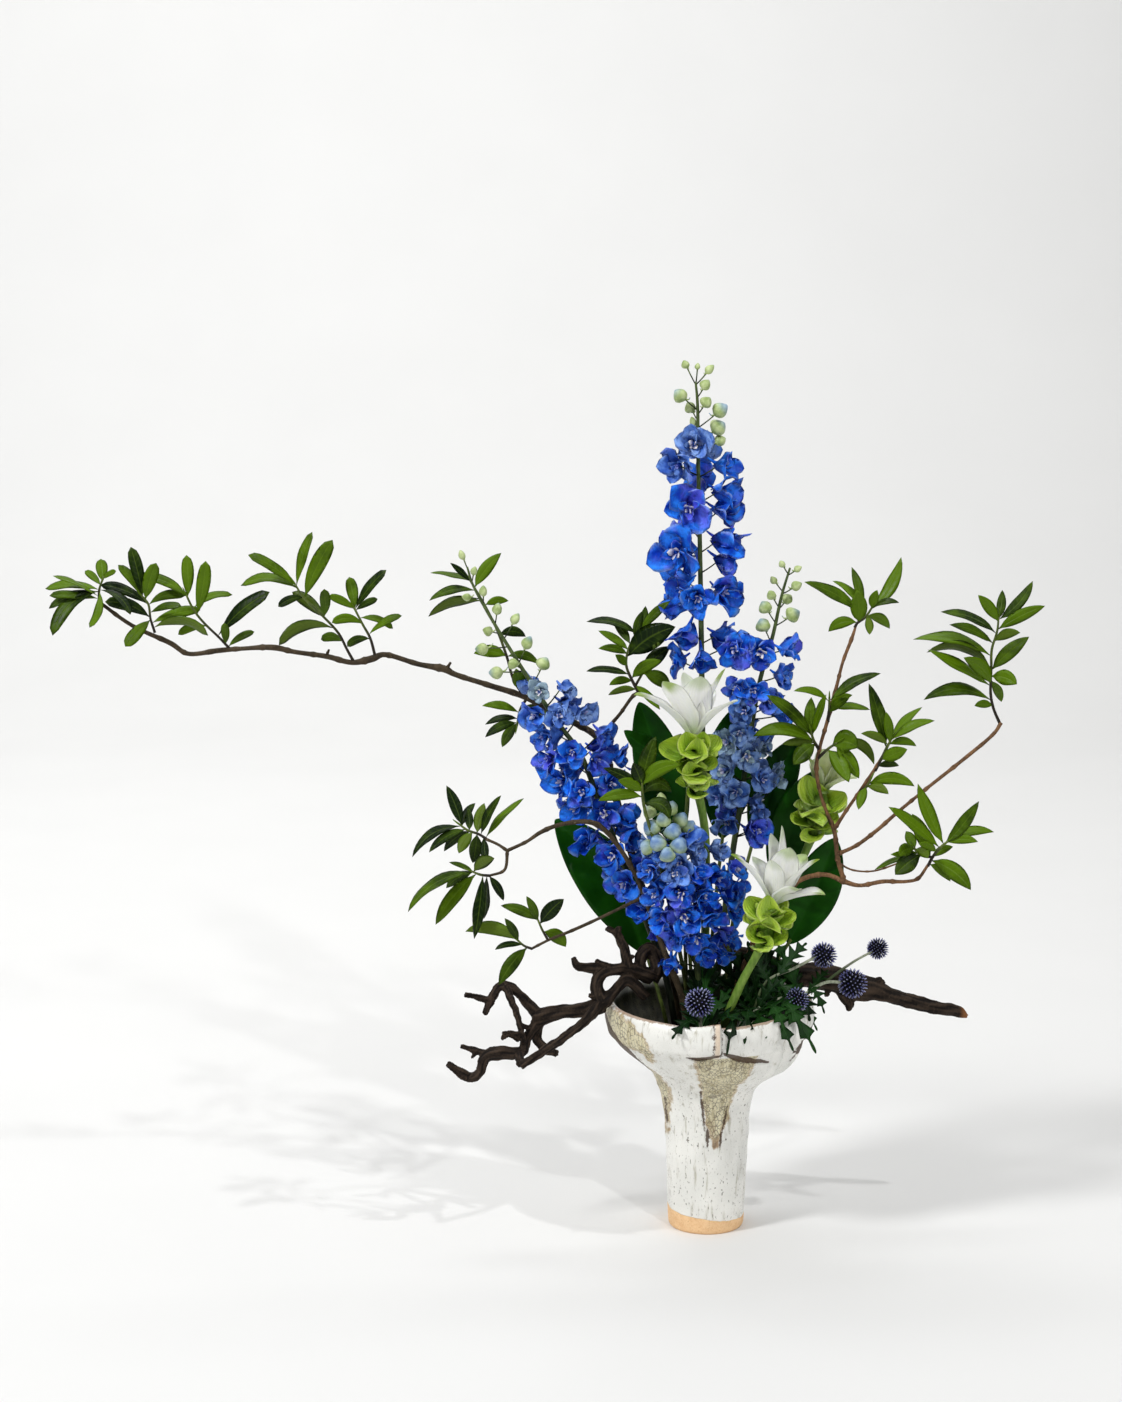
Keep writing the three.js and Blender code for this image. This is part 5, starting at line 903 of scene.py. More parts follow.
# %% Branches with their bark
for name, branch in BRANCHES.items():
    tan = name == "branch_right"
    slim, swell = (0.78, 0.4) if tan else (0.95, 0.25)
    path, radius = stem_path(name, branch["main"], 10)
    shells = [bark_tube(path, radius * slim, 26.0, swell)]
    for rows in branch["sides"]:
        path, radius = sighted_path(rows, 10)
        shells.append(bark_tube(path, radius * slim, 19.0, swell))
    make_piece(f"{name}_wood", shells, [tan_bark if tan else dark_bark], name)

# %% [markdown]
# ## Leafy shoots
#
# A shoot is a young green twig with a tuft of narrow leaves. Each leaf is a row: u and v of its base, u
# and v of its tip, how far the tip lies behind the base, the width that the viewer sees and the bulge of
# its spine. Where little of the width is seen, the blade is turned until only that much shows, and a
# negative width shows the underside. That keeps every leaf's real width while its picture stays as drawn.
# The leaves of the right-hand branch are a younger, fresh green, those of the low left one darker, which is
# painted shade from the flowers above them, and those of the long left one have blunt ends.

# %% Places on twigs
END_INSET = 3.0
LEAF_STEM = 1
SLIMMEST = 0.22
LEVEL = 0.2
RIGHT_BRANCH = 90
LOW_LEFT_BRANCH = (-60, 420)


def nearest_on(twigs, u, v):
    """Nearest sighted place to each (u, v): its foot on every span of every twig, and then the closest."""
    spans = [(np.asarray(t, float)[:-1, :3], np.asarray(t, float)[1:, :3]) for t in twigs]
    a, b = (np.concatenate(part) for part in zip(*spans))
    last = np.concatenate([np.arange(len(s[0])) == len(s[0]) - 1 for s in spans])
    span = (b - a)[:, :2]
    most = np.where(last, 1 - END_INSET / np.linalg.norm(span, axis=1), 1)
    from_start = np.stack([u, v], -1)[:, None] - a[None, :, :2]
    t = np.clip((from_start * span).sum(-1) / (span**2).sum(-1), 0, most)
    place = a + (b - a) * t[..., None]
    away = ((place[..., :2] - np.stack([u, v], -1)[:, None]) ** 2).sum(-1)
    return place[np.arange(len(u)), away.argmin(1)]


def leaf_outline(rise, fall, scale):
    """Half width of a leaf, t^rise (1-t)^fall, scaled to one at its widest, on a short thin stalk."""
    def outline(t):
        body = np.clip((t - 0.06) / 0.94, 0, 1)
        return np.maximum(body**rise * (1 - body) ** fall * scale, 0.08 * (1 - t))
    return outline


willow_outline = leaf_outline(0.8, 0.9, 3.22)
blunt_outline = leaf_outline(0.75, 0.5, 2.35)


def small_leaves(twigs, rows, outline=willow_outline):
    """Leaves of a shoot. Each bends up, or to the right if it is level, and turns about its own chord until
    no more of its width than its row says is seen: turn = arccos(seen / width)."""
    u, v, tip_u, tip_v, depth, seen, bulge = np.asarray(rows, float).T
    place = nearest_on(twigs, u, v)
    base = sight(place)
    tip = sight(np.stack([tip_u, tip_v, place[:, 2] + depth], -1))
    chord, span = unit(tip - base), length(tip - base)
    bend = unit(np.stack([-(tip_v - v), np.zeros(len(u)), tip_u - u], -1))
    flip = (bend[:, 2:] < -LEVEL) | ((np.abs(bend[:, 2:]) <= LEVEL) & (bend[:, :1] < 0))
    bend = np.where(flip, -bend, bend)
    middle = (base + tip) / 2
    to_eye = unit(EYE - middle)
    to_eye = unit(to_eye - chord * dot(to_eye, chord))
    side = np.cross(chord, to_eye)
    side = np.where(side[:, 2:] < 0, -side, side)
    width = np.maximum(np.abs(seen), SLIMMEST * span[:, 0])
    turn = np.arccos(np.abs(seen) / width)[:, None]
    normal = to_eye * np.sign(seen)[:, None] * np.cos(turn) + side * np.sin(turn)
    control = middle + bend * 2 * bulge[:, None] * span
    # Leaves on the right-hand branch get a younger, fresh tone; those low on the left get a darker one, which
    # is painted shade from the flowers above them.
    freshness_and_painted_shade = 0.22 * (u > RIGHT_BRANCH) - 0.3 * ((u < LOW_LEFT_BRANCH[0]) & (v < LOW_LEFT_BRANCH[1]))
    tone = np.clip(rng.uniform(0, 1, len(u)) + freshness_and_painted_shade, 0, 1)
    return blades(base, control, tip, normal, width * 1.08, outline, stations=10, thickness=0.55, fold=0.2,
                  cup=-0.1, ripple=0.10, waves=1.6, tone=tone)


# %% Shoots
SHOOTS = {
    "shoot_left_tip": dict(twigs=[[(-608, 645, -5, 1.3), (-607, 658, -6, 1.2), (-602, 671, -8, 1)]], leaves=[
        (-606, 666, -605, 688, 14, 11, .02), (-608, 650, -653, 671, -12, 4, .05),
        (-607, 657, -661, 658, 10, 8, .08), (-607, 655, -658, 638, -6, 8, .1),
        (-607, 656, -655, 611, -20, 12, .16), (-604, 668, -590, 676, -16, 5, .05),
        (-607, 657, -577, 632, -24, 8, .15), (-607, 656, -618, 619, -26, 8, -.1),
        (-607, 662, -621, 676, 18, 7, .05), (-608, 648, -657, 651, -10, 8, .05),
    ]),
    "shoot_left_second": dict(twigs=[
        [(-553, 614, 1, 1.4), (-557, 628, 0, 1.2), (-559, 643, -1, 1.2), (-566, 652, -2, 1)],
    ], leaves=[
        (-567, 650, -575, 700, 8, 12, .02), (-560, 648, -550, 684, -14, 13, .03),
        (-560, 642, -606, 662, 14, 10, .08), (-557, 629, -602, 645, -18, 12, .1),
        (-557, 642, -522, 651, 16, 9, .14), (-556, 634, -526, 641, -14, 7, .08),
        (-555, 624, -507, 637, 8, 10, .06), (-575, 622, -583, 600, -16, 12, .03),
        (-554, 619, -500, 611, -20, -9, .18), (-565, 652, -588, 682, 12, 9, .06),
    ]),
    "shoot_left_third": dict(twigs=[
        [(-478, 597, 8, 1.5), (-489, 609, 6, 1.3), (-505, 625, 4, 1.3), (-514, 637, 2, 1.2),
         (-521, 652, 1, 1)],
    ], leaves=[
        (-520, 652, -520, 692, 10, 11.5, .02), (-507, 635, -501, 686, -12, 13, .02),
        (-521, 650, -571, 670, 12, 10, .12), (-510, 640, -475, 652, 16, 7, .14),
        (-490, 611, -438, 655, -10, 13, .06), (-479, 601, -454, 615, 14, 7, .08),
        (-482, 603, -484, 624, -14, 8, .02), (-500, 621, -530, 612, 12, 8, .1),
    ]),
    "shoot_left_fourth": dict(twigs=[
        [(-355, 584, 20, 1.6), (-362, 597, 19, 1.4), (-370, 613, 17, 1.4), (-385, 630, 14, 1.3),
         (-405, 650, 10, 1.2), (-413, 663, 8, 1)],
    ], leaves=[
        (-415, 666, -459, 692, -12, 10, .06), (-413, 665, -395, 715, 8, 9, .04),
        (-402, 650, -375, 707, -10, 15, .04), (-411, 657, -467, 661, 14, 9, .16),
        (-384, 628, -416, 655, 24, -12, .05), (-384, 630, -384, 658, -18, 10, .03),
        (-375, 618, -430, 601, -16, -11, .2), (-365, 605, -388, 607, 18, 9, .14),
        (-404, 650, -430, 640, -14, 8, .1),
    ]),
    "shoot_left_knot": dict(twigs=[
        [(-334, 590, 22, 1.6), (-339, 609, 19, 1.4), (-346, 622, 16, 1.3), (-355, 640, 13, 1.1)],
    ], leaves=[
        (-355, 640, -359, 670, 12, 11, .02), (-353, 640, -322, 677, -8, 9, .05),
        (-354, 636, -331, 648, 18, 7, .05), (-347, 622, -377, 624, -16, 9, .16),
        (-338, 613, -307, 631, -12, 7, .08), (-338, 608, -362, 600, 16, 8, .12),
        (-355, 638, -380, 651, -12, 8, .06), (-347, 630, -316, 618, 12, 7, .12),
    ]),
    "shoot_by_delphinium": dict(twigs=[
        [(-185, 549, 35, 1.7), (-196, 566, 36, 1.5), (-203, 590, 37, 1.5), (-213, 618, 38, 1.4),
         (-226, 644, 38, 1.3), (-240, 668, 38, 1)],
    ], leaves=[
        (-233, 660, -208, 694, 12, 12, .06), (-240, 668, -259, 684, -12, 6, .02),
        (-235, 655, -280, 646, -14, 8, .12), (-228, 645, -281, 630, 12, -10, .12),
        (-210, 612, -184, 610, 20, 10, .14), (-203, 590, -236, 593, -10, 12, .12),
        (-190, 556, -194, 578, -22, 13, .02), (-203, 590, -170, 582, 26, 9, .12),
        (-239, 666, -279, 674, 10, 5, .06), (-224, 642, -201, 646, 22, 8, .08),
    ]),
    "shoot_under_delphinium": dict(twigs=[
        [(-183, 548, 35, 1.6), (-190, 536, 30, 1.3), (-193, 520, 24, 1.1)],
    ], leaves=[
        (-191, 533, -228, 540, -12, 8, .1), (-193, 522, -225, 508, -14, 9, .1),
        (-193, 520, -208, 498, 14, 10, .05), (-188, 541, -160, 520, 26, -11, .1),
        (-192, 527, -225, 521, 10, 7, .1),
    ]),
    "shoot_low_left_top": dict(twigs=[
        [(-224, 404, -60, 1.5), (-232, 409, -58, 1.3), (-243, 413, -56, 1.3), (-251, 419, -54, 1)],
    ], leaves=[
        (-250, 419, -264, 459, 12, 11, .03), (-250, 416, -299, 385, -10, 9, .16),
        (-240, 411, -267, 391, 14, 9, .1), (-238, 410, -252, 389, -22, -11, .06),
        (-233, 411, -238, 379, 10, 12, .02), (-227, 406, -226, 378, -16, 8, .02),
        (-249, 418, -235, 441, 18, 8, .08), (-233, 411, -226, 441, 16, -11, .03),
        (-229, 409, -209, 449, -12, 8, .05), (-225, 405, -186, 446, 10, 7, .05),
        (-245, 413, -282, 390, -14, 9, .1), (-241, 413, -243, 436, 14, 8, .03),
    ]),
    "shoot_low_left_under": dict(twigs=[[(-220, 366, -73, 1.5), (-230, 367, -74, 1.3), (-240, 371, -76, 1)]],
        leaves=[
        (-240, 371, -262, 380, 8, 5, .05), (-238, 370, -304, 328, -12, 10, .14),
        (-239, 370, -265, 353, 18, 10, .08), (-234, 368, -276, 315, 6, 14, .05),
        (-240, 371, -216, 384, -22, -12, .1), (-228, 366, -237, 300, -14, 11, .02),
        (-224, 366, -227, 321, 14, 8, .02), (-222, 366, -207, 340, 10, 8, .05),
    ]),
    "shoot_low_fork": dict(twigs=[[(-178, 290, -84, 1.4), (-186, 293, -85, 1.2), (-194, 300, -84, 1)]],
        leaves=[
        (-190, 299, -246, 308, 12, -13, .16), (-186, 295, -216, 289, -18, 6, .1),
        (-183, 291, -212, 252, -8, 13, .06), (-193, 299, -206, 322, -14, 8, .03),
    ]),
    "shoot_low_fork_side": dict(twigs=[[(-162, 299, -80, 1.4), (-168, 310, -78, 1.2), (-173, 322, -76, 1)]],
        leaves=[
        (-172, 320, -210, 335, 12, 10, .08), (-170, 316, -146, 342, -12, 14, .04),
        (-167, 308, -144, 292, 14, 13, .12), (-173, 322, -184, 345, -18, 8, .02),
    ]),
    "shoot_upper_left": dict(twigs=[
        [(-71, 553, 22, 1.8), (-78, 566, 24, 1.6), (-84, 582, 26, 1.4), (-80, 602, 28, 1.3),
         (-68, 618, 30, 1)],
        [(-75, 560, 23, 1.5), (-66, 576, 22, 1.1)],
    ], leaves=[
        (-73, 612, -124, 625, 10, 8, .12), (-80, 602, -98, 628, 22, 9, .04),
        (-76, 608, -68, 636, -16, 8, .03), (-68, 618, -65, 641, 14, 8, .03),
        (-68, 618, -40, 646, -8, 9, .05), (-82, 590, -35, 620, -16, 24, .08),
        (-78, 568, -49, 586, -20, 12, .08), (-66, 576, -40, 600, 10, 14, .06),
        (-66, 572, -40, 556, 12, 14, .12), (-83, 570, -124, 575, -12, 7, .08),
        (-74, 556, -102, 551, -18, -7, .08), (-77, 561, -50, 536, -16, 8, .04),
        (-82, 592, -112, 598, -12, 8, .1), (-79, 564, -101, 561, 12, 8, .12),
        (-84, 580, -95, 592, -16, 8, .05), (-82, 596, -112, 616, 12, 8, .06),
    ]),
    "shoot_right_top": dict(twigs=[
        [(143, 619, -5, 1.5), (146, 624, -5, 1.4), (153, 629, -5, 1.3), (161, 641, -5, 1)],
        [(147, 624, -5, 1.2), (151, 640, -2, 1)],
    ], leaves=[
        (148, 634, 92, 665, -14, 11, .06), (152, 640, 120, 666, 16, 7, .12),
        (147, 624, 145, 657, -18, 16, .02), (158, 637, 188, 690, 8, 12, -.1),
        (161, 641, 187, 644, -12, 6, .14), (155, 632, 158, 612, -20, -8, .04),
        (146, 624, 117, 615, 12, 11, .16), (154, 631, 178, 618, 24, 10, .12),
        (161, 641, 165, 657, -12, 9, .03), (152, 640, 139, 680, 10, 9, .04),
    ]),
    "shoot_right_middle": dict(twigs=[[(118, 524, -13, 1.7), (119, 536, -18, 1.4), (119, 548, -24, 1.1)]],
        leaves=[
        (119, 544, 83, 555, -12, 7, .14), (119, 546, 170, 573, -14, 10, .08),
        (119, 538, 160, 536, -18, 7, .06), (119, 533, 139, 548, -26, 8, .05),
        (121, 540, 142, 551, 14, 8, .08),
    ]),
    "shoot_right_middle_left": dict(twigs=[
        [(110, 495, -16, 1.8), (104, 505, -22, 1.5), (101, 515, -28, 1.1)],
    ], leaves=[
        (103, 508, 101, 549, 14, 12, -.04), (103, 510, 116, 552, -16, 8, .02),
        (103, 508, 56, 551, -14, 12, .06), (105, 502, 43, 509, -18, 13, .16),
        (105, 502, 72, 501, -4, -8, .06), (105, 501, 84, 480, -20, 16, .05),
    ]),
    "shoot_right_middle_right": dict(twigs=[
        [(108, 486, -17, 1.8), (118, 496, -22, 1.4), (128, 503, -28, 1.1)],
    ], leaves=[
        (122, 499, 148, 497, -14, 22, .22), (127, 502, 165, 480, 12, -10, .24),
        (126, 501, 150, 466, -12, 14, .04), (118, 496, 140, 462, -26, 15, .06),
    ]),
    "shoot_right_inner": dict(twigs=[
        [(166, 474, -38, 1.7), (172, 486, -41, 1.5), (177, 497, -43, 1.5), (182, 507, -45, 1)],
    ], leaves=[
        (176, 497, 158, 563, 8, 13, .02), (181, 504, 212, 539, 16, 8, .06), (181, 504, 225, 525, -12, 9, .1),
        (179, 500, 207, 499, 18, 8, .14), (172, 485, 198, 496, -18, 13, .02),
        (179, 500, 151, 512, -14, -8, .1), (168, 478, 190, 479, 14, 7, .1),
        (180, 502, 176, 534, -12, 9, .03),
    ]),
    "shoot_right_fork": dict(twigs=[[(151, 453, -32, 1.6), (158, 458, -40, 1.3), (162, 466, -44, 1)]],
        leaves=[
        (159, 460, 206, 458, -10, 12, .16), (157, 458, 180, 450, -18, -9, .12),
        (158, 458, 150, 434, -22, 9, .04),
    ]),
    "shoot_right_low": dict(twigs=[
        [(221, 376, -52, 1.7), (226, 386, -54, 1.5), (233, 395, -56, 1.4), (241, 402, -58, 1.1)],
        [(225, 385, -54, 1.5), (212, 388, -48, 1.3), (206, 396, -44, 1.1)],
    ], leaves=[
        (236, 399, 209, 461, 12, 13, -.03), (236, 399, 271, 443, -12, 12, -.04),
        (241, 402, 287, 411, 14, 10, .12), (232, 395, 180, 437, -10, 12, .03),
        (224, 388, 204, 430, 14, 14, .03), (206, 396, 192, 386, -20, 12, .14),
        (207, 394, 221, 384, -26, -10, .1), (224, 382, 265, 351, -12, 16, .1),
        (214, 387, 188, 367, -16, 17, .05), (206, 396, 198, 412, 18, 10, .03),
        (240, 401, 271, 401, -14, 9, .1), (179, 366, 167, 372, 10, 6, .05),
        (180, 367, 183, 388, -10, 7, .03), (180, 367, 195, 383, 12, 7, .05), (222, 378, 244, 360, 12, 9, .1),
        (229, 391, 211, 399, -12, 8, .08), (225, 385, 246, 396, 14, 8, .08),
    ]),
    "shoot_far_right": dict(twigs=[
        [(290, 522, 61, 1.7), (283, 538, 60, 1.5), (280, 552, 59, 1.5), (280, 579, 57, 1.4),
         (280, 597, 55, 1.3), (285, 616, 53, 1.2), (286, 630, 52, 1)],
    ], leaves=[
        (285, 625, 265, 652, -12, 11, .04), (286, 627, 319, 666, 10, 11, -.08),
        (285, 617, 332, 641, -12, 12, .04), (284, 613, 228, 635, 12, 9, .1),
        (282, 605, 308, 614, -24, -10, .1), (280, 576, 317, 610, 10, 14, .04),
        (280, 570, 306, 562, -20, 15, .1), (280, 566, 291, 544, 18, 9, .05),
        (280, 577, 215, 594, 14, -10, .22), (280, 590, 201, 607, 22, 11, .12),
        (279, 562, 252, 589, -24, 15, .1), (279, 560, 216, 597, -10, 10, .02),
        (281, 545, 213, 546, -14, 12, .16), (283, 540, 264, 540, -10, 8, .1),
        (281, 603, 237, 622, -12, 9, .08), (286, 629, 289, 657, 12, 9, .03),
    ]),
}
FRONT_SHOOT = dict(stem=[
    (-22, 250, -18, 2.2), (-36, 320, -38, 2), (-52, 390, -62, 1.9), (-66, 440, -74, 1.6),
    (-68, 462, -78, 1.2),
], leaves=[
    (-67, 460, -54, 509, 6, 15, .04), (-68, 460, -77, 482, -10, 13, .03), (-68, 456, -107, 477, 12, 10, .05),
    (-67, 452, -92, 464, -14, 11, .08), (-67, 458, -28, 480, -10, 14, .16), (-66, 450, -38, 452, 14, 14, .3),
    (-66, 447, -112, 443, -14, 11, .1), (-64, 440, -40, 424, -12, 13, .3),
])


def twig_tubes(twigs):
    """Green tubes for the twigs of a shoot."""
    return [tube(*sighted_path(rows, 5), sides=7, finish=LEAF_STEM, gnarl=0.03) for rows in twigs]


def leaf_buds(twigs):
    """A small pointed bud of folded young leaves at the end of each twig."""
    ends = np.array([t[-1] for t in twigs], float)
    before = np.array([t[-2] for t in twigs], float)
    tip, root = sight(ends), sight(before)
    out = unit(tip - root)
    return blades(tip - out * 2, tip + out * 3, tip + out * 9, np.cross(out, AWAY), 3.6, willow_outline, 6, 5,
                  thickness=2.4, fold=0.1, tone=1.0)


for name, shoot in SHOOTS.items():
    outline = blunt_outline if name.startswith("shoot_left") else willow_outline
    shells = [*twig_tubes(shoot["twigs"]), small_leaves(shoot["twigs"], shoot["leaves"], outline),
              leaf_buds(shoot["twigs"])]
    make_piece(f"{name}_leaves", shells, [small_leaf, young_stem], name)

path, radius = stem_path("front_shoot", FRONT_SHOOT["stem"], 6)
shells = [tube(path, radius, 8, LEAF_STEM), small_leaves([FRONT_SHOOT["stem"]], FRONT_SHOOT["leaves"]),
          leaf_buds([FRONT_SHOOT["stem"]])]
make_piece("front_shoot_leaves", shells, [small_leaf, young_stem], "front_shoot")

# %% [markdown]
# ## Broad leaves
#
# Seven broad, dark, leathery leaves stand behind the flowers and make the white and blue look brighter.
# Each is one blade on its own stalk, wide and slowly pointed, with veins that run along it, so it gets a
# finer grid than the small ones and a gentle wave along its edges.

# %% Broad leaves on their stalks
BROAD_LEAVES = {
    "broad_leaf_low_left": dict(stalk=[(-46, 230, 14, 2), (-64, 290, 40, 1.8)], tip=(-155, 424, 50),
        width=62, bulge=-.1, tilt=8),
    "broad_leaf_high_left": dict(stalk=[(-20, 300, 48, 2), (-34, 400, 58, 1.8)], tip=(-71, 544, 58),
        width=52, bulge=-.06, tilt=-8),
    "broad_leaf_level": dict(stalk=[(-22, 260, 6, 2), (-24, 400, 2, 1.8), (-20, 486, -8, 1.6)],
        tip=(-86, 515, -22), width=26, bulge=.16, tilt=20),
    "broad_leaf_high_right": dict(stalk=[(4, 300, 50, 2), (14, 410, 62, 1.8)], tip=(34, 545, 60), width=56,
        bulge=.06, tilt=6),
    "broad_leaf_upper_right": dict(stalk=[(22, 300, 46, 2), (46, 410, 76, 1.8)], tip=(88, 507, 76), width=44,
        bulge=.04, tilt=-8),
    "broad_leaf_mid_right": dict(stalk=[(42, 270, 34, 2), (66, 372, 48, 1.8)], tip=(113, 476, 50), width=50,
        bulge=.04, tilt=6),
    "broad_leaf_low_right": dict(stalk=[(52, 245, 24, 2), (84, 300, 30, 1.8)], tip=(127, 405, 36), width=50,
        bulge=-.06, tilt=-6),
}


def broad_outline(t):
    """Half width of a broad leaf: a fast rise, a long full middle and a short point."""
    return np.maximum(np.sin(np.pi * t**1.02) ** 0.66, 0.03)


def turned(vector, axis, degrees):
    """Vector turned about an axis: v cos + (axis x v) sin + axis (axis . v)(1 - cos)."""
    a = math.radians(degrees)
    kept = axis * dot(axis, vector) * (1 - math.cos(a))
    return vector * math.cos(a) + np.cross(axis, vector) * math.sin(a) + kept


for name, leaf in BROAD_LEAVES.items():
    below, top = sight(leaf["stalk"][-2:])
    base = top + unit(below - top) * 2 * END_INSET
    tip = sight([leaf["tip"]])[0]
    chord = tip - base
    bend = unit(np.array([-chord[2], 0, chord[0]]))
    control = (base + tip) / 2 + bend * leaf["bulge"] * length(chord) + 8 * AWAY
    normal = turned(np.array([0, -1, 0.25]), unit(chord), leaf["tilt"])
    path, radius = stem_path(name, leaf["stalk"], 6)
    blade = blades(base[None], control[None], tip[None], normal[None], leaf["width"], broad_outline,
                   stations=30, points=15, thickness=0.9, fold=0.2, ripple=0.05, waves=2.3,
                   tone=rng.uniform(0, 0.6))
    make_piece(f"{name}_blade", [tube(path, radius, 8, LEAF_STEM), blade], [broad_leaf, young_stem], name)

# %% [markdown]
# ## Delphiniums
#
# A delphinium carries its florets on short stalks all round one stem: five rounded blue sepals, a spur
# that points back, and a small pale tuft in the middle. They open from below, so the top of the spike is
# buds, pale green at the very tip and bluer further down, and each spike has one band of paler, milkier
# florets. All florets of a spike are worked out at once, five sepals each, with the tone of the floret as
# a mark.

# %% Floret finishes
def sepal_finish():
    """Deep blue with violet clouds, milky where the tone says so, with painted shade in the hollow and a
    painted highlight at the rim.
    """
    p = Paint("blue_sepal")
    along, across, tone = p.mark("along"), p.mark("across"), p.mark("tone")
    cloud = p.noise(p.place(), 70.0, 3.0)
    vein = p.noise(p.place((1, 1, 0.5)), 500.0, 2.0)
    deep = p.mix(p.step(cloud, 0.34, 0.66), shade(6, 60, 190), shade(36, 134, 255))
    deep = p.mix(p.step(p.noise(p.place(), 30.0), 0.54, 0.64) * 0.6, deep, shade(108, 106, 240))
    pale = p.mix(p.step(cloud, 0.35, 0.68), shade(66, 112, 196), shade(146, 180, 234))
    blue = p.mix(p.step(tone, 0.35, 0.75), deep, pale)
    blue = p.mix(p.step(tone, 0.8, 1.0), blue, shade(164, 188, 190))
    # Painted shade: the foot of each sepal, down in the hollow of the floret, is darkened.
    blue = p.mix((1 - p.step(along, 0.12, 0.46)) * 0.45, blue, shade(4, 24, 96))
    blue = p.mix(p.mark("under") * 0.4, blue, shade(30, 70, 160))
    # Painted highlight: the tip and edges of each sepal are lightened.
    blue = p.mix(p.step(across + along * 0.35, 0.9, 1.25) * 0.55, blue, shade(166, 194, 250))
    blue = p.mix(p.step(vein + across * 0.1, 0.5, 0.7) * 0.2, blue, shade(6, 24, 120))
    return p.finish({
        "Base Color": blue,
        "Roughness": p.step(cloud, 0.2, 0.8) * 0.15 + 0.42,
        "Normal": p.bump(vein + cloud, 0.0004),
        "Specular IOR Level": 0.25,
    })


def tuft_finish():
    """White hairs that turn blue towards their foot, and all over where the tone is low."""
    p = Paint("pale_tuft")
    along = p.mark("along")
    hair = p.noise(p.place(), 900.0, 2.0)
    white = p.mix(p.mark("tone") * p.step(along, 0.1, 0.8), shade(112, 128, 214), shade(244, 240, 232))
    return p.finish({"Base Color": p.mix(hair * 0.3, white, shade(130, 128, 196)), "Roughness": 0.6})


def bud_finish():
    """Green while the bud is young, then blue from its tip down."""
    p = Paint("floret_bud")
    along, tone = p.mark("along"), p.mark("tone")
    cloud = p.noise(p.place(), 120.0, 3.0)
    green = p.mix(p.step(cloud, 0.3, 0.7), shade(136, 158, 88), shade(188, 202, 144))
    blue = p.mix(p.step(cloud, 0.3, 0.7), shade(84, 122, 182), shade(146, 176, 206))
    colour = p.mix(p.step(tone * 0.7 + along * 0.7, 0.85, 1.35), green, blue)
    return p.finish({"Base Color": colour, "Roughness": 0.5, "Normal": p.bump(cloud, 0.0003)})


# %% Floret shapes
SEPALS = 5
INNER = 3
FULLNESS = 1.22
TUFT_PETALS = 4
SPIKE_STEM, SEPAL, TUFT, BUD = range(4)


def sepal_outline(t):
    """Half width of a sepal: a narrow claw that widens fast and ends in a blunt point."""
    return (0.25 + 0.75 * smoothstep(t, 0, 0.55)) * np.maximum(1 - t**4, 0) ** 0.7


def petal_ring(centre, facing, size, count, first, last, width, outline, dip, spin, **more):
    """Count blades round each centre: first and last give how far out and how far forward a blade starts and
    ends, in radii of the floret. Each is turned, stretched, widened and tipped by chance."""
    n = len(centre)
    wide = unit(np.cross(facing, UP))
    tall = np.cross(facing, wide)
    first, last = (np.reshape(np.broadcast_arrays(*pair, np.zeros(n))[:2], (2, n, 1, 1))
                   for pair in (first, last))
    angle = spin[:, None] + circle(count) + rng.uniform(-0.24, 0.24, (n, count))
    out = np.cos(angle)[..., None] * wide[:, None] + np.sin(angle)[..., None] * tall[:, None]
    radius = (size / 2)[:, None, None] * rng.uniform(0.8, 1.12, (n, count, 1))

    def at(far, near):
        """Places so far out from the centre and so far in front of it."""
        return centre[:, None] + radius * (far * out + near * facing[:, None])

    base, tip = at(*first), at(last[0], last[1] + rng.uniform(-0.16, 0.3, (n, count, 1)))
    control = (base + tip) / 2 - radius * dip * facing[:, None]
    normal = facing[:, None] + rng.uniform(-0.45, 0.45, (n, count, 1)) * np.cross(facing[:, None], out)
    widths = (radius[..., 0] * width * rng.uniform(0.85, 1.2, (n, count))).ravel()
    places = (a.reshape(-1, 3) for a in (base, control, tip, normal))
    return blades(*places, widths, outline, **more)


def ringed(path, reach, angle):
    """Rings of points round N paths at once: reach times (cos angle, sin angle) across each path."""
    _, side, lift = directions(path)
    return path[:, :, None] + reach * (np.cos(angle) * side[:, :, None] + np.sin(angle) * lift[:, :, None])


def stalk_tubes(starts, bends, ends, radii, sides=5, finish=0, tone=0.0):
    """N short curved tubes at once: circles of the given radii on quadratic routes from starts to ends."""
    t = np.linspace(0, 1, len(radii))[None, :, None]
    starts, bends, ends = starts[:, None], bends[:, None], ends[:, None]
    path = bow(starts, bends, ends, t)
    rings = ringed(path, np.asarray(radii, float)[None, :, None, None], circle(sides)[:, None])
    return Shells(rings, path[:, 0], path[:, -1], finish, along=t, tone=np.reshape(tone, (-1, 1, 1)))


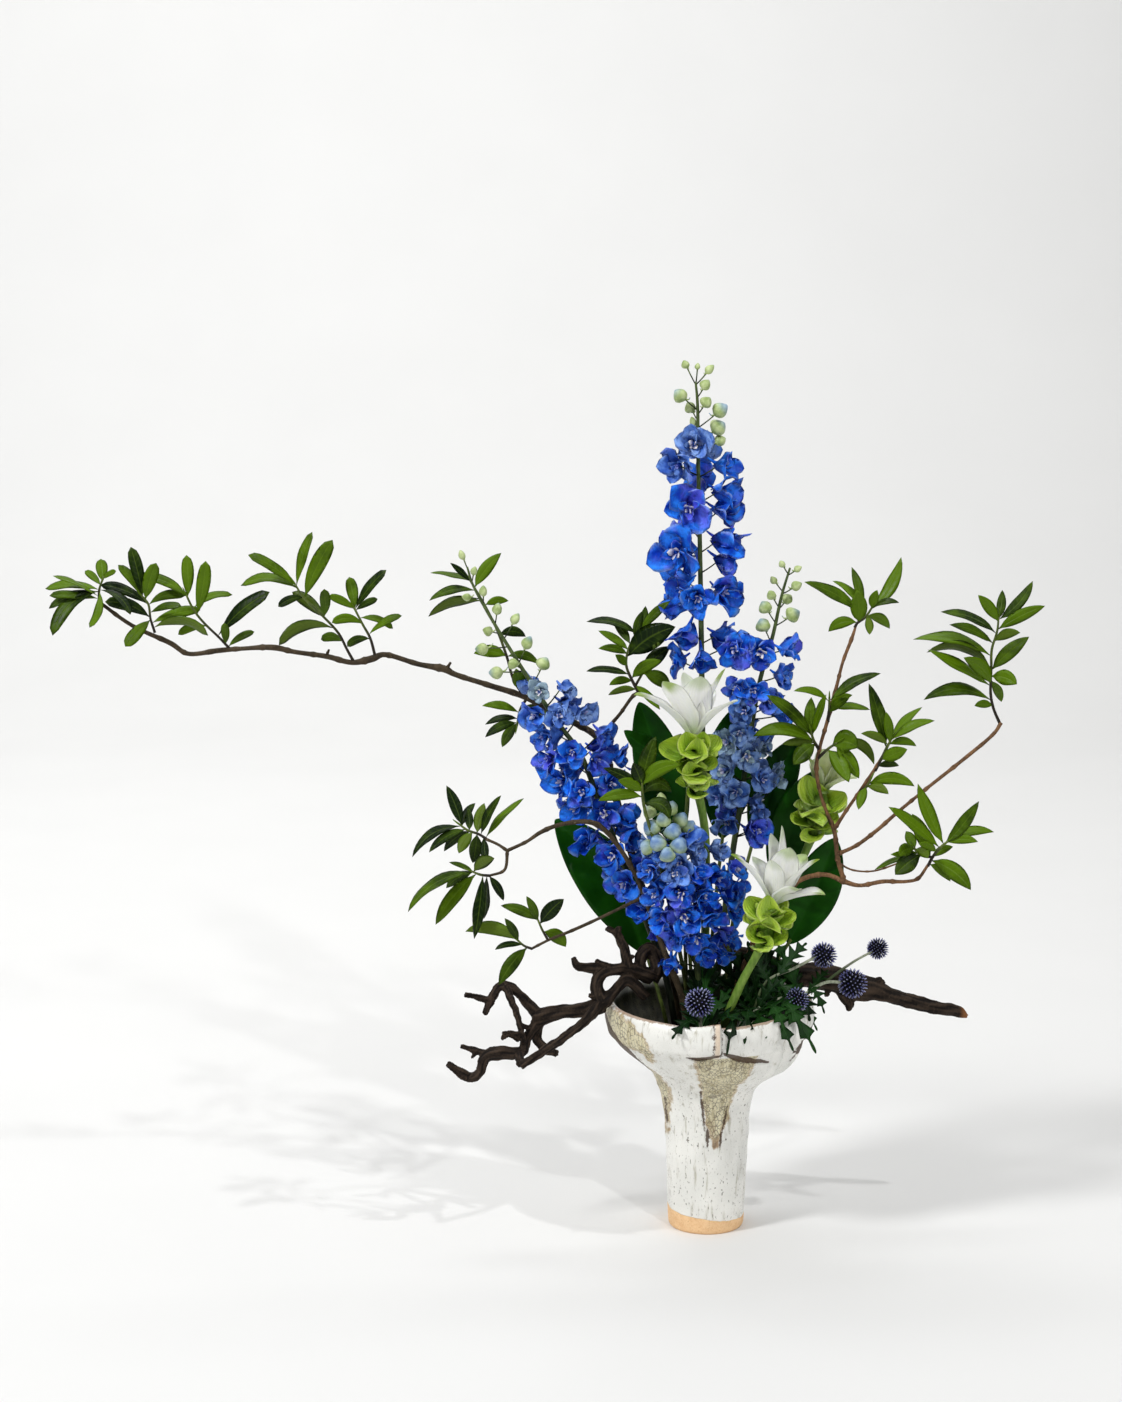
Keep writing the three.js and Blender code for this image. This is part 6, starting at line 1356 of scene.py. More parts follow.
# %% Delphinium rows
DELPHINIUMS = {
    "delphinium_tall": dict(stem=[
        (-4, 280, 22, 3.2), (-5, 380, 26, 3.1), (-7, 480, 24, 3), (-9, 592, 20, 2.8), (-12, 720, 15, 2.2),
        (-14, 790, 13, 1.9), (-15, 843, 11, 1.5), (-17, 863, 10, 1.1),
    ], florets=[
        (-19, 801, -15, 39, -10, 5), (-35, 780, -12, 34, -30, -12), (12, 781, -5, 38, 65, 0),
        (12, 756, -8, 38, 60, 5), (-23, 738, -19, 44, -5, 0), (13, 735, 2, 42, 70, -5),
        (-36, 694, -13, 48, -18, 0), (12, 707, -10, 42, 55, 0), (-29, 657, -9, 36, -50, -15),
        (14, 654, -10, 44, 45, -5), (-36, 586, -4, 34, -80, -5), (21, 600, -8, 36, 40, -5),
        (-8, 588, -18, 32, 10, -45), (14, 686, 4, 40, 75, -10), (-13, 648, -18, 34, 0, -10),
        (-25, 616, -12, 36, -40, -35),
    ], buds=[
        (-27, 880, -2, 9, 3.6), (-15, 878, 2, 7, 2.4), (-3, 875, -2, 12, 3.6), (-7, 860, -3, 12, 4.8),
        (-32, 850, -2, 15, 6.4), (-6, 843, -3, 12, 5.4), (8, 835, -2, 17, 6.8), (6, 818, 4, 16, 7.6),
        (8, 805, 7, 12, 5), (-19, 824, 5, 11, 3), (-22, 838, 8, 13, 5),
    ], spiral=dict(start=590, end=800, count=8, radius=22, size=34, away=(105, 255)), pale=(815, 42)),
    "delphinium_left": dict(stem=[
        (-42, 258, -7, 3.3), (-73, 345, -4, 3.1), (-92, 395, 0, 3), (-110, 440, 2, 2.8), (-130, 492, 3, 2.6),
        (-150, 520, 3, 2.4), (-181, 567, 3, 2.1), (-236, 661, 3, 1.3), (-242, 680, 3, 1),
    ], florets=[
        (-171, 554, -16, 24, -10, 5), (-146, 558, -10, 24, 40, -10), (-176, 530, -14, 30, -30, 0),
        (-168, 508, -10, 30, -45, -5), (-125, 533, -8, 28, 50, -10), (-106, 512, -4, 28, 60, -15),
        (-164, 486, -10, 34, -45, -5), (-138, 492, -20, 30, -5, 0), (-112, 484, -12, 32, 35, -5),
        (-150, 462, -12, 36, -45, 0), (-98, 460, -14, 30, 30, 0), (-136, 436, -10, 34, -40, -10),
        (-120, 404, -16, 34, -35, -5), (-82, 408, -14, 30, 40, 0), (-86, 356, -22, 34, -30, -10),
        (-66, 374, -12, 30, 20, 0), (-50, 312, -14, 26, -30, -25), (-98, 386, -22, 34, -10, 0),
        (-90, 488, 0, 28, 75, 0), (-66, 332, -16, 30, -30, -10), (-38, 276, -16, 26, -10, -45),
        (-151, 530, -18, 26, 10, 0), (-106, 430, -22, 32, 0, 0), (-128, 452, -22, 32, -10, 0),
    ], buds=[
        (-247, 692, 0, 11, 3), (-235, 676, -3, 10, 3), (-243, 650, 4, 10, 3.4), (-212, 638, -3, 13, 4.4),
        (-194, 628, 2, 13, 4), (-222, 616, 5, 11, 4.4), (-228, 598, -4, 14, 5.2), (-182, 604, -3, 15, 5),
        (-166, 583, 2, 14, 6.4), (-214, 574, -5, 15, 5.6), (-226, 656, -3, 12, 3.6), (-197, 583, -8, 11, 5),
    ], spiral=dict(start=300, end=560, count=16, radius=20, size=32, away=(60, 300)), pale=(580, 90)),
    "delphinium_right": dict(stem=[
        (10, 262, 18, 3.3), (24, 390, 20, 3.1), (31, 437, 19, 3), (35, 470, 18, 2.8), (41, 515, 16, 2.6),
        (50, 568, 13, 2.3), (62, 612, 10, 1.9), (70, 651, 8, 1.5), (78, 679, 6, 1.1),
    ], florets=[
        (24, 597, -20, 38, 0, 0), (50, 594, -18, 36, 5, 0), (77, 597, -6, 32, 65, 5),
        (73, 570, -8, 32, 60, 0), (26, 557, -18, 26, -20, 0), (60, 545, -16, 30, 20, 0),
        (72, 530, -8, 28, 60, 0), (16, 503, -16, 30, -35, 0), (13, 474, -14, 30, -45, 0),
        (37, 488, -22, 28, 5, 0), (70, 470, -6, 30, 70, 0), (54, 464, -18, 28, 25, 0),
        (26, 452, -22, 30, -10, 0), (50, 434, -16, 26, 20, -30), (17, 420, -22, 30, -15, -20),
        (49, 412, -14, 32, 30, 0), (30, 512, -22, 26, -5, 0), (53, 497, -14, 24, 35, 0),
        (8, 446, -14, 28, -50, 0), (43, 556, -22, 30, 0, 0), (34, 534, -20, 26, -15, 0),
    ], buds=[
        (86, 678, -2, 9, 3), (70, 683, -2, 8, 3), (85, 661, -3, 12, 4.4), (62, 667, 3, 9, 3.2),
        (60, 652, -4, 11, 4.2), (82, 632, -4, 15, 7), (54, 640, -4, 14, 6), (52, 622, -6, 15, 6.6),
        (76, 648, 8, 12, 5),
    ], spiral=dict(start=400, end=540, count=10, radius=19, size=29, away=(60, 300)), pale=(480, 90)),
    "delphinium_front": dict(stem=[
        (-9, 252, -30, 3.2), (-16, 320, -44, 3), (-24, 355, -50, 2.8), (-32, 390, -54, 2.5),
        (-41, 420, -56, 2), (-46, 438, -57, 1.4),
    ], florets=[
        (-64, 398, -8, 24, -50, 0), (-46, 388, -18, 22, -15, 0), (-60, 372, -14, 26, -40, 0),
        (-34, 368, -22, 28, 0, 0), (-12, 368, -18, 26, 35, 0), (8, 392, 4, 30, 50, 0),
        (10, 362, -6, 34, 50, 0), (-54, 346, -16, 28, -35, 0), (-28, 346, -22, 28, 0, 0),
        (-4, 344, -18, 28, 30, 0), (22, 344, 2, 32, 55, 0), (-48, 322, -16, 28, -40, -5),
        (2, 322, -18, 30, 30, -5), (-12, 300, -22, 28, 5, -15), (16, 306, -10, 28, 50, -10),
        (14, 284, -8, 24, 50, -30), (-22, 404, -14, 22, 25, 10), (-12, 388, -14, 24, 45, 0),
        (-4, 282, -18, 24, 20, -30), (-36, 300, -16, 28, -35, -20), (-24, 322, -22, 30, -5, 0),
        (28, 372, 10, 28, 45, 0), (32, 352, 12, 28, 55, -10), (28, 328, 12, 28, 50, -15),
        (-36, 276, -14, 22, -30, -30), (24, 300, 14, 26, 60, -15),
    ], buds=[
        (-60, 432, -4, 15, 6), (-58, 416, -8, 19, 7.6), (-38, 436, -5, 16, 6.4), (-28, 424, -6, 17, 7),
        (-48, 446, 4, 12, 4.6), (-36, 412, -14, 20, 8), (-52, 400, -20, 19, 7.6), (-20, 416, -6, 17, 7),
        (-46, 424, -12, 17, 6.6), (-30, 398, -24, 19, 7.6), (-42, 388, -28, 18, 7), (-62, 396, -16, 17, 7),
    ], spiral=dict(start=286, end=405, count=14, radius=18, size=29, away=(60, 420)), pale=(430, 60)),
}
STALK_DROP = 0.3
GOLDEN_ANGLE = 137.5


def heading(azimuth, tilt):
    """Unit vector from an azimuth, 0 towards the viewer and 90 to the right, and a tilt above the level."""
    a, t = np.radians(azimuth), np.radians(tilt)
    return np.stack([np.sin(a) * np.cos(t), -np.cos(a) * np.cos(t), np.sin(t)], -1)


def at_height(stem, v):
    """Places on a stem at given heights, straight between its rows."""
    stem = np.asarray(stem, float)
    return np.stack([np.interp(v, stem[:, 1], stem[:, k]) for k in range(3)], -1)


def spike_florets(stem, rows, spiral):
    """Root, centre, facing and size of all florets: the sighted ones, then the spiral on the far side."""
    u, v, depth, size, azimuth, tilt = np.asarray(rows, float).T
    root = sight(nearest_on([stem], u, v - STALK_DROP * size))
    centre = sight(np.stack([u, v, nearest_on([stem], u, v)[:, 2] + depth], -1))
    facing = heading(azimuth, tilt)
    k = np.arange(spiral["count"])
    high = spiral["start"] + (spiral["end"] - spiral["start"]) * (k + 0.5) / spiral["count"]
    low, top = spiral["away"]
    back_facing = heading(low + (k * GOLDEN_ANGLE) % (top - low), np.full(len(k), -5.0))
    back_root = sight(at_height(stem, high))
    back_centre = back_root + back_facing * spiral["radius"] + UP * STALK_DROP * spiral["size"]
    return (np.vstack([root, back_root]), np.vstack([centre, back_centre]), np.vstack([facing, back_facing]),
            np.concatenate([size, np.full(len(k), float(spiral["size"]))]))


def florets(root, centre, facing, size, tone, opened):
    """Sepals, tuft, spur and stalk of all florets of a spike. The less open one is, the more it is a bell."""
    n = len(size)
    radius = (size / 2)[:, None]
    spin = rng.uniform(0, 2 * np.pi, n)
    closed = 1 - opened
    back = centre - facing * 0.3 * radius
    sepals = petal_ring(centre, facing, size * FULLNESS, SEPALS, (0.06, -0.6),
                        (1 - 0.42 * closed, 0.05 + 0.75 * closed), 1.04, sepal_outline,
                        -0.22, spin, stations=7, points=5, thickness=0.5, cup=0.2, ripple=0.3, waves=1.5,
                        finish=SEPAL, tone=np.repeat(tone, SEPALS))
    inner = petal_ring(centre, facing, size * FULLNESS, INNER, (0.05, -0.45),
                       (0.5 - 0.2 * closed, 0.12 + 0.3 * closed), 0.42, sepal_outline,
                       -0.12, spin + 0.6, stations=4, points=5, thickness=0.5, cup=0.3, ripple=0.3, waves=1.2,
                       finish=SEPAL, tone=np.repeat(np.clip(tone + 0.1, 0, 1), INNER))
    bright = np.clip(rng.uniform(0, 1, n) ** 1.5 + 0.6 * (facing[:, 1] < -0.85), 0, 1)
    tuft = petal_ring(centre, facing, size * (0.5 + 0.55 * bright * opened), TUFT_PETALS, (0.02, -0.3),
                      (0.3, 0.16), 0.3, sepal_outline, -0.04, spin + 0.4, stations=3, points=3, thickness=0.7,
                      fold=0.2, finish=TUFT, tone=np.repeat(bright, TUFT_PETALS))
    spur = stalk_tubes(centre - facing * 0.12 * radius, back - facing * 0.3 * radius + UP * 0.1 * radius,
                       centre - facing * 0.95 * radius + UP * 0.35 * radius,
                       np.array([2.6, 2.2, 1.7, 1.3, 0.9]), 6, SEPAL, tone * 0.8)
    stalk = stalk_tubes(root, (root + back) / 2 - UP * 1.5, back, [0.9, 0.75, 0.7, 0.7], 5, SPIKE_STEM)
    return [sepals, inner, tuft, spur, stalk]


def floret_buds(stem, rows):
    """Buds on their stalks: a drop that is widest past its middle, with a small spur bent back."""
    u, v, depth, size, radius = np.asarray(rows, float).T
    place = nearest_on([stem], u, v - size)
    root = sight(place)
    centre = sight(np.stack([u, v, place[:, 2] + depth], -1))
    out = unit(centre - root)
    t = np.linspace(0.03, 0.97, 8)[None, :, None]
    path = centre[:, None] + out[:, None] * size[:, None, None] * (t - 0.5)
    angle = circle(12)[:, None]
    swell = radius[:, None, None, None] * (np.sin(np.pi * t**0.8) ** 0.75)[..., None]
    swell = swell * (1.12 + 0.13 * np.cos(3 * angle) + 0.04 * np.cos(7 * angle))
    age = np.clip((size - 7) / 12, 0, 1)
    rings = ringed(path, swell, angle)
    drop = Shells(rings, path[:, 0], path[:, -1], BUD, along=t, tone=age.reshape(-1, 1, 1))
    foot = centre - out * size[:, None] * 0.45
    spur = stalk_tubes(foot + out * 2, foot - out * radius[:, None] * 0.6,
                       foot - out * radius[:, None] + UP * radius[:, None] * 0.9,
                       np.array([1.2, 1.0, 0.7, 0.5]), 5, BUD, age)
    stalk = stalk_tubes(root, (root + foot) / 2 - UP, foot, np.array([0.8, 0.7, 0.7, 0.8]), 5, SPIKE_STEM)
    return [drop, spur, stalk]


# %% Delphinium spikes
sepal_paint, tuft_paint, bud_paint = sepal_finish(), tuft_finish(), bud_finish()
for name, spike in DELPHINIUMS.items():
    path, radius = stem_path(name, spike["stem"], 6)
    root, centre, facing, size = spike_florets(spike["stem"], spike["florets"], spike["spiral"])
    heights = centre[:, 2]
    middle, spread = spike["pale"]
    pale = np.exp(-(((heights - middle) / spread) ** 2))
    tone = np.clip(0.8 * pale + rng.uniform(-0.2, 0.2, len(size)), 0, 1)
    opened = np.clip(rng.uniform(-0.1, 1.1, len(size)) + 0.9 * np.clip(-facing[:, 1] - 0.8, 0, 1) * 5, 0, 1)
    shells = [tube(path, radius, 10, SPIKE_STEM), *florets(root, centre, facing, size, tone, opened),
              *floret_buds(spike["stem"], spike["buds"])]
    make_piece(f"{name}_spike", shells, [spike_stem, sepal_paint, tuft_paint, bud_paint], name)

# %% [markdown]
# ## Curcumas
#
# A curcuma head is a cone of green pockets under a crown of long white petals with green tips. The
# pockets are bracts: each leaves the cone, turns up and out, and cups like a spoon. The petals share one
# seat and fan out from it, the outer ones lower. Pocket and petal are both blades, with a strong cup
# across, and a finer grid, because there are few of them and they are what the eye goes to.

# %% Petal and bract finishes
def petal_finish(name, body, shadow, tip, tip_start):
    """Pale petal with lengthwise veins, a shadowed throat that turns green at its foot, and a green tip."""
    p = Paint(name)
    along, across = p.mark("along"), p.mark("across")
    cloud = p.noise(p.place(), 60.0, 3.0)
    vein = (across * 34.0).wave()
    colour = p.mix((1 - p.step(along, 0.0, 0.34)) * 0.6, body, shadow)
    colour = p.mix((1 - p.step(along, 0.02, 0.26)) * 0.45, colour, tip)
    colour = p.mix(p.step(vein, 0.3, 1.0) * 0.06, colour, shadow)
    green = p.step(along + (cloud - 0.5) * 0.12 - across * 0.05, tip_start, tip_start + 0.18)
    colour = p.mix(p.step(across, 0.35, 1.0) * 0.14, colour, shadow)
    colour = p.mix(green * p.mark("tone"), colour, tip)
    return p.finish({
        "Base Color": colour,
        "Roughness": p.step(cloud, 0.2, 0.8) * 0.1 + 0.42,
        "Normal": p.bump(vein * 0.4 + cloud, 0.0002),
        "Subsurface Weight": 0.25,
        "Subsurface Radius": (0.004, 0.004, 0.002),
        "Subsurface Scale": 1.0,
    })


def bract_finish():
    """Lime green with a pale rim, and painted shade in the hollow of the pocket and at its foot, under the
    bracts above.
    """
    p = Paint("lime_bract")
    along, across = p.mark("along"), p.mark("across")
    cloud = p.noise(p.place(), 50.0, 3.0)
    vein = (across * 26.0).wave()
    green = p.mix(p.step(cloud * 0.6 + along * 0.6, 0.3, 0.85), shade(110, 150, 20), shade(180, 212, 66))
    green = p.mix(p.step(across, 0.8, 1.0) * 0.5, green, shade(210, 228, 124))
    # Painted shade in the hollow along the middle of the cupped bract.
    green = p.mix((1 - p.step(across, 0.1, 0.8)) * 0.4, green, shade(78, 118, 14))
    green = p.mix(p.mark("under") * 0.35, green, shade(120, 160, 60))
    # Painted shade at the foot, where the bracts lie over one another.
    green = p.mix((1 - p.step(along, 0.1, 0.55)) * 0.65, green, shade(52, 84, 10))
    return p.finish({
        "Base Color": green,
        "Roughness": p.step(cloud, 0.2, 0.8) * 0.12 + 0.36,
        "Normal": p.bump(vein * 0.5 + cloud, 0.0005),
        "Subsurface Weight": 0.2,
        "Subsurface Radius": (0.003, 0.004, 0.001),
        "Subsurface Scale": 1.0,
    })


white_petal = petal_finish("white_petal", shade(252, 252, 248), shade(202, 214, 166), shade(126, 162, 4), 0.7)
green_petal = petal_finish("green_petal", shade(214, 224, 176), shade(150, 180, 96), shade(140, 176, 70), 0.7)
lime_bract = bract_finish()
curcuma_stem = stem_finish("curcuma_stem", shade(84, 118, 34), shade(128, 158, 66), shade(96, 122, 50),
                           60.0, 0.4)

# %% Curcuma rows
CURCUMAS = {
    "curcuma_top": dict(stem=[
        (-3, 270, -6, 4.4), (-3, 350, -14, 4.3), (-4, 410, -28, 4.2), (-10, 446, -42, 4.4),
        (-16, 470, -50, 7), (-17, 492, -52, 8), (-17, 507, -52, 3),
    ], petals=[
        (-76, 551, -14, 22, .16), (-46, 565, -34, 24, .06), (-27, 574, -6, 26, .02),
        (-10, 570, -30, 24, .02), (15, 578, -8, 20, .04), (28, 545, -24, 16, .12), (-38, 560, 26, 22, .06),
        (-14, 552, 6, 18, .02), (0, 562, 28, 22, .06),
    ], bracts=[
        (-50, 502, -6, 30, .9), (-6, 514, -24, 20, .95), (8, 510, 4, 22, .9), (-34, 484, -24, 26, .6),
        (6, 488, -12, 24, .65), (-30, 468, 8, 24, .3), (-22, 456, -22, 24, .1), (-20, 484, -30, 24, .4),
        (-4, 500, 28, 26, .7), (2, 466, 16, 22, .3), (-6, 470, -26, 22, .25), (-34, 494, 24, 26, .7),
        (-24, 514, -34, 24, .9), (-12, 508, -36, 22, .8),
    ]),
    "curcuma_front": dict(stem=[
        (16, 208, -66, 4.2), (28, 240, -74, 4.2), (37, 260, -78, 4.2), (51, 287, -82, 4.6),
        (57, 303, -84, 8), (61, 322, -85, 9), (65, 337, -85, 3),
    ], petals=[
        (22, 388, -14, 16, .1), (62, 410, 16, 18, .02), (73, 418, 4, 18, .02), (82, 395, -18, 22, .02),
        (112, 383, -10, 16, .12), (118, 346, -14, 22, .1), (98, 388, 28, 18, .06), (92, 352, -30, 16, .08),
        (44, 386, 26, 18, .06), (64, 382, -26, 16, .04),
    ], bracts=[
        (40, 345, -12, 22, .9), (88, 328, -14, 24, .8), (58, 326, -30, 30, .6), (42, 316, -18, 20, .35),
        (80, 309, -20, 24, .3), (78, 322, 22, 26, .6), (74, 346, 2, 18, .95), (60, 306, 20, 22, .25),
        (44, 330, 20, 24, .6), (62, 304, -26, 22, .12), (60, 346, -36, 22, .9),
    ]),
    "curcuma_back": dict(stem=[
        (38, 262, 10, 4), (66, 322, 10, 3.9), (92, 378, 10, 3.9), (101, 400, 9, 4.6), (107, 420, 8, 9),
        (111, 440, 8, 9), (114, 455, 8, 3),
    ], petals=[
        (98, 488, -6, 18, .04), (116, 496, -12, 22, .02), (136, 486, -4, 20, .08), (148, 466, -10, 20, .12),
        (106, 486, 22, 20, .04), (130, 482, 24, 20, .06),
    ], bracts=[
        (82, 430, -12, 24, .5), (98, 470, -8, 22, .95), (108, 434, -28, 28, .55), (136, 452, -12, 26, .8),
        (128, 432, -18, 24, .4), (132, 446, 22, 26, .7), (124, 416, 18, 24, .3), (98, 416, -18, 22, .15),
        (94, 446, 20, 26, .7),
    ]),
}
BRACT_SPAN = 0.8
SEAT_RISE = -3
CROWN_RADIUS = 4


def petal_outline(t):
    """Half width of a crown petal: widest past its middle, then a quick point."""
    return np.maximum((0.35 + 0.65 * smoothstep(t, 0, 0.45)) * (1 - np.clip(t, 0, 1) ** 5) ** 0.8, 0.02)


def bract_outline(t):
    """Half width of a bract: broad and round, like the bowl of a spoon."""
    return (0.55 + 0.45 * smoothstep(t, 0, 0.5)) * np.sqrt(np.maximum(1 - t**5, 0))


def bracts(cone, rows):
    """Bracts that leave the cone at a share of its height, dip and turn up to their tips."""
    u, v, depth, width, share = np.asarray(rows, float).T
    low, high = np.asarray(cone[0], float)[:3], np.asarray(cone[3], float)[:3]
    at = low + (high - low) * share[:, None] * BRACT_SPAN
    base = sight(at)
    tip = sight(np.stack([u, v, at[:, 2] + depth], -1))
    outward = (tip - base) * (1 - UP)
    control = base + (tip - base) * 0.6 - UP * 0.35 * length(tip - base)
    normal = unit(UP * 0.75 + unit(EYE - tip) * 0.45 + unit(outward) * 0.35)
    return blades(base, control, tip, normal, width * 1.3, bract_outline, stations=16, points=13,
                  thickness=1.0, fold=0.0, cup=0.62, ripple=0.1, waves=1.2, finish=1,
                  tone=rng.uniform(0, 1, len(u)))


def crown(seat, axis, seat_depth, rows):
    """Petals that share a seat on the cone's axis and arch out to their tips."""
    u, v, depth, width, bulge = np.asarray(rows, float).T
    base = np.broadcast_to(seat + axis * SEAT_RISE, (len(u), 3))
    tip = sight(np.stack([u, v, seat_depth + depth], -1))
    chord = tip - base
    outward = chord - axis * dot(chord, axis)
    normal = unit(axis * length(outward) - outward * 1.2)
    normal = np.where(length(normal) < 0.5, -AWAY, normal)
    control = (base + tip) / 2 + axis * 1.6 * bulge[:, None] * length(chord)
    tone = rng.uniform(0.1, 1, len(u)) ** 0.5
    return blades(base, control, tip, normal, width * 1.5, petal_outline, stations=20, points=13,
                  thickness=0.9, fold=0.1, cup=0.28, ripple=0.09, waves=1.5, finish=0, tone=tone)


for name, bloom in CURCUMAS.items():
    path, radius = stem_path(name, bloom["stem"], 6)
    cone = bloom["stem"][-4:]
    seat, under = sight(cone[3]), sight(cone[2])
    axis = unit(seat - under)
    stem = tube(path, radius, 14, 0, gnarl=0.02)
    make_piece(f"{name}_pockets", [stem, bracts(cone, bloom["bracts"])], [curcuma_stem, lime_bract],
               f"{name}_stem")
    rise = np.linspace(-6, 8, 8)[:, None]
    plump = CROWN_RADIUS + 1.5 * np.sin(np.pi * (rise[:, 0] + 6) / 14)
    heart = tube(seat + axis * rise, plump, 12, along=0.1, tone=0.0)
    pale = name == "curcuma_back"
    make_piece(f"{name}_petals", [heart, crown(seat, axis, cone[3][2], bloom["petals"])],
               [green_petal if pale else white_petal], f"{name}_crown")

# %% [markdown]
# ## Globe thistles
#
# A globe thistle is a ball of some hundreds of small florets, all on one core. From a distance it is a dark
# ball with pale points in even rows, so the florets stand on a spiral that spaces them evenly over a ball.
# Each is a needle of a dozen faces that swells near its tip. The dark of the ball is shade deep between the
# needles, painted on the core and on the feet of the needles. The leaves are dark, deeply cut and end in
# points, which is an outline that swings in and out along the blade.

# %% Thistle finishes
def thistle_finish():
    """Nearly black at the core and the feet of the needles, which is painted shade deep in the ball, and
    violet to white at the tips.
    """
    p = Paint("thistle_floret")
    along, tone = p.mark("along"), p.mark("tone")
    tip = p.mix(tone, shade(84, 84, 160), shade(186, 190, 226))
    # Painted shade: the lower half of each needle, deep in the ball, is nearly black.
    colour = p.mix(p.step(along, 0.55, 0.95), shade(8, 8, 18), tip)
    return p.finish({"Base Color": colour, "Roughness": 0.6, "Specular IOR Level": 0.15})


thistle_floret = thistle_finish()
thistle_leaf = leaf_finish("thistle_leaf", shade(6, 28, 6), shade(24, 64, 14), shade(50, 78, 40),
                           shade(60, 96, 52), 0.36, 6.0)
thistle_stem = stem_finish("thistle_stem", shade(116, 128, 104), shade(186, 190, 168), shade(70, 84, 50),
                           80.0, 0.6)

# %% Thistle rows
HEADS = {
    "thistle_head_centre": (-8, 233.7, -88, 15.5),
    "thistle_head_front": (90.4, 236.4, -52, 13),
    "thistle_head_upper": (117.6, 283.6, -26, 13.8),
    "thistle_head_lower": (147, 254, -34, 15.6),
    "thistle_head_far": (172, 290.3, 0, 11.6),
}
THISTLES = {
    "thistle_centre": dict(stem=[(-5, 190, -58, 1.8), (-7, 212, -78, 1.7), (-8, 226, -87, 1.6)], stalks=[],
        leaves=[
        (-7, 214, -36, 195, -36, 17, .16), (-6, 200, 36, 214, -34, 18, .2), (-5, 196, 22, 238, 14, 18, .1),
        (-5, 196, -14, 216, 22, 15, .1), (-5, 196, 4, 246, 20, 20, .05), (-5, 196, -26, 240, 22, 18, .05),
        (-6, 200, 24, 248, 24, 20, .06), (-6, 200, -20, 268, 62, 20, .04), (-6, 200, -8, 284, 66, 20, .04),
        (-6, 204, 8, 276, 70, 20, .04), (-6, 204, -14, 300, 74, 18, .04), (-6, 204, 2, 304, 76, 18, .04),
    ]),
    "thistle_front": dict(stem=[
        (34, 212, -46, 1.9), (46, 224, -48, 1.8), (60, 232, -50, 1.7), (78, 239, -52, 1.6),
        (88, 238, -52, 1.5),
    ], stalks=[[(45, 222, -48, 1.6), (60, 256, -42, 1.5), (86, 269, -33, 1.5), (112, 283, -27, 1.4)]],
        leaves=[
        (37, 215, 20, 178, -70, 17, .34), (58, 231, 111, 180, -36, 22, .24), (52, 228, 88, 182, -42, 18, .2),
        (60, 254, 96, 232, -10, 18, .14), (70, 262, 100, 296, 10, 20, .06), (48, 228, 30, 256, -12, 20, .05),
        (46, 224, 60, 196, -42, 18, .14), (60, 256, 44, 286, 16, 20, .06), (58, 231, 78, 206, -34, 22, .22),
        (44, 222, 38, 190, -56, 20, .3), (70, 236, 96, 206, -26, 20, .2), (50, 228, 76, 258, -6, 22, .1),
    ]),
    "thistle_right": dict(stem=[
        (42, 208, -20, 1.9), (80, 228, -26, 1.8), (104, 246, -32, 1.7), (120, 255, -34, 1.6),
        (136, 255, -34, 1.5),
    ], stalks=[[(119, 255, -34, 1.5), (137, 269, -20, 1.4), (150, 278, -12, 1.3), (166, 287, -3, 1.3)]],
        leaves=[
        (100, 244, 119, 222, -14, 14, .4), (84, 231, 112, 204, 12, 16, .2), (64, 220, 60, 262, 10, 20, .04),
        (80, 228, 92, 268, 14, 20, .04), (52, 214, 34, 240, 14, 18, .05), (74, 264, 68, 300, 16, 18, .04),
        (62, 220, 84, 246, -8, 22, .1), (52, 214, 60, 240, -14, 22, .1), (96, 240, 104, 214, -22, 20, .25),
        (70, 224, 40, 268, 22, 22, .06), (92, 238, 76, 284, 24, 20, .06), (104, 246, 122, 268, 12, 16, .04),
        (52, 214, 20, 262, 14, 22, .04), (52, 214, 32, 278, 18, 22, .04), (56, 216, 50, 284, 20, 22, .04),
        (60, 218, 72, 288, 14, 22, .04), (48, 212, 16, 242, 10, 20, .08), (66, 222, 88, 252, 6, 22, .1),
        (48, 214, 10, 286, 20, 22, .03), (50, 214, 22, 296, 14, 22, .03), (54, 216, 40, 298, 8, 22, .03),
        (58, 218, 60, 300, 18, 22, .04), (46, 212, 4, 266, 22, 20, .05),
    ]),
}
FLORETS_A_HEAD = 160
CORE_SHARE = 0.52


def even_directions(count):
    """Directions spaced evenly over a ball: equal steps in height, each turned by the golden angle."""
    z = 1 - (2 * np.arange(count) + 1) / count
    turn = np.arange(count) * np.radians(GOLDEN_ANGLE)
    flat = np.sqrt(1 - z * z)
    return np.stack([flat * np.cos(turn), flat * np.sin(turn), z], -1)


def thistle_ball(centre, radius):
    """Core ball, and needles from its surface to the full radius."""
    t = np.linspace(0.06, 0.94, 14)
    core_radius = radius * CORE_SHARE
    # The core takes the near black of the painted shade deep in the ball.
    core = tube(centre - UP * core_radius * np.cos(np.pi * t)[:, None], core_radius * np.sin(np.pi * t), 20,
                along=0.0, tone=0.0)
    out = even_directions(FLORETS_A_HEAD)
    reach = radius * rng.uniform(0.95, 1.03, (len(out), 1))
    start = centre + out * core_radius * 0.96
    end = centre + out * reach
    needles = stalk_tubes(start, (start + end) / 2, end, radius * np.array([0.03, 0.03, 0.062, 0.01]), 4,
                          tone=rng.uniform(0, 1, len(out)))
    return [core, needles]


def cut_outline(t):
    """Half width of a cut leaf: a full leaf shape times teeth that rise slowly and fall fast."""
    teeth = (t * 4.6) % 1.0
    tooth = np.where(teeth < 0.68, teeth / 0.68, (1 - teeth) / 0.32)
    return np.maximum(np.sin(np.pi * np.clip(t, 0, 1) ** 0.8) ** 0.7 * (0.2 + 0.8 * tooth**1.5), 0.03)


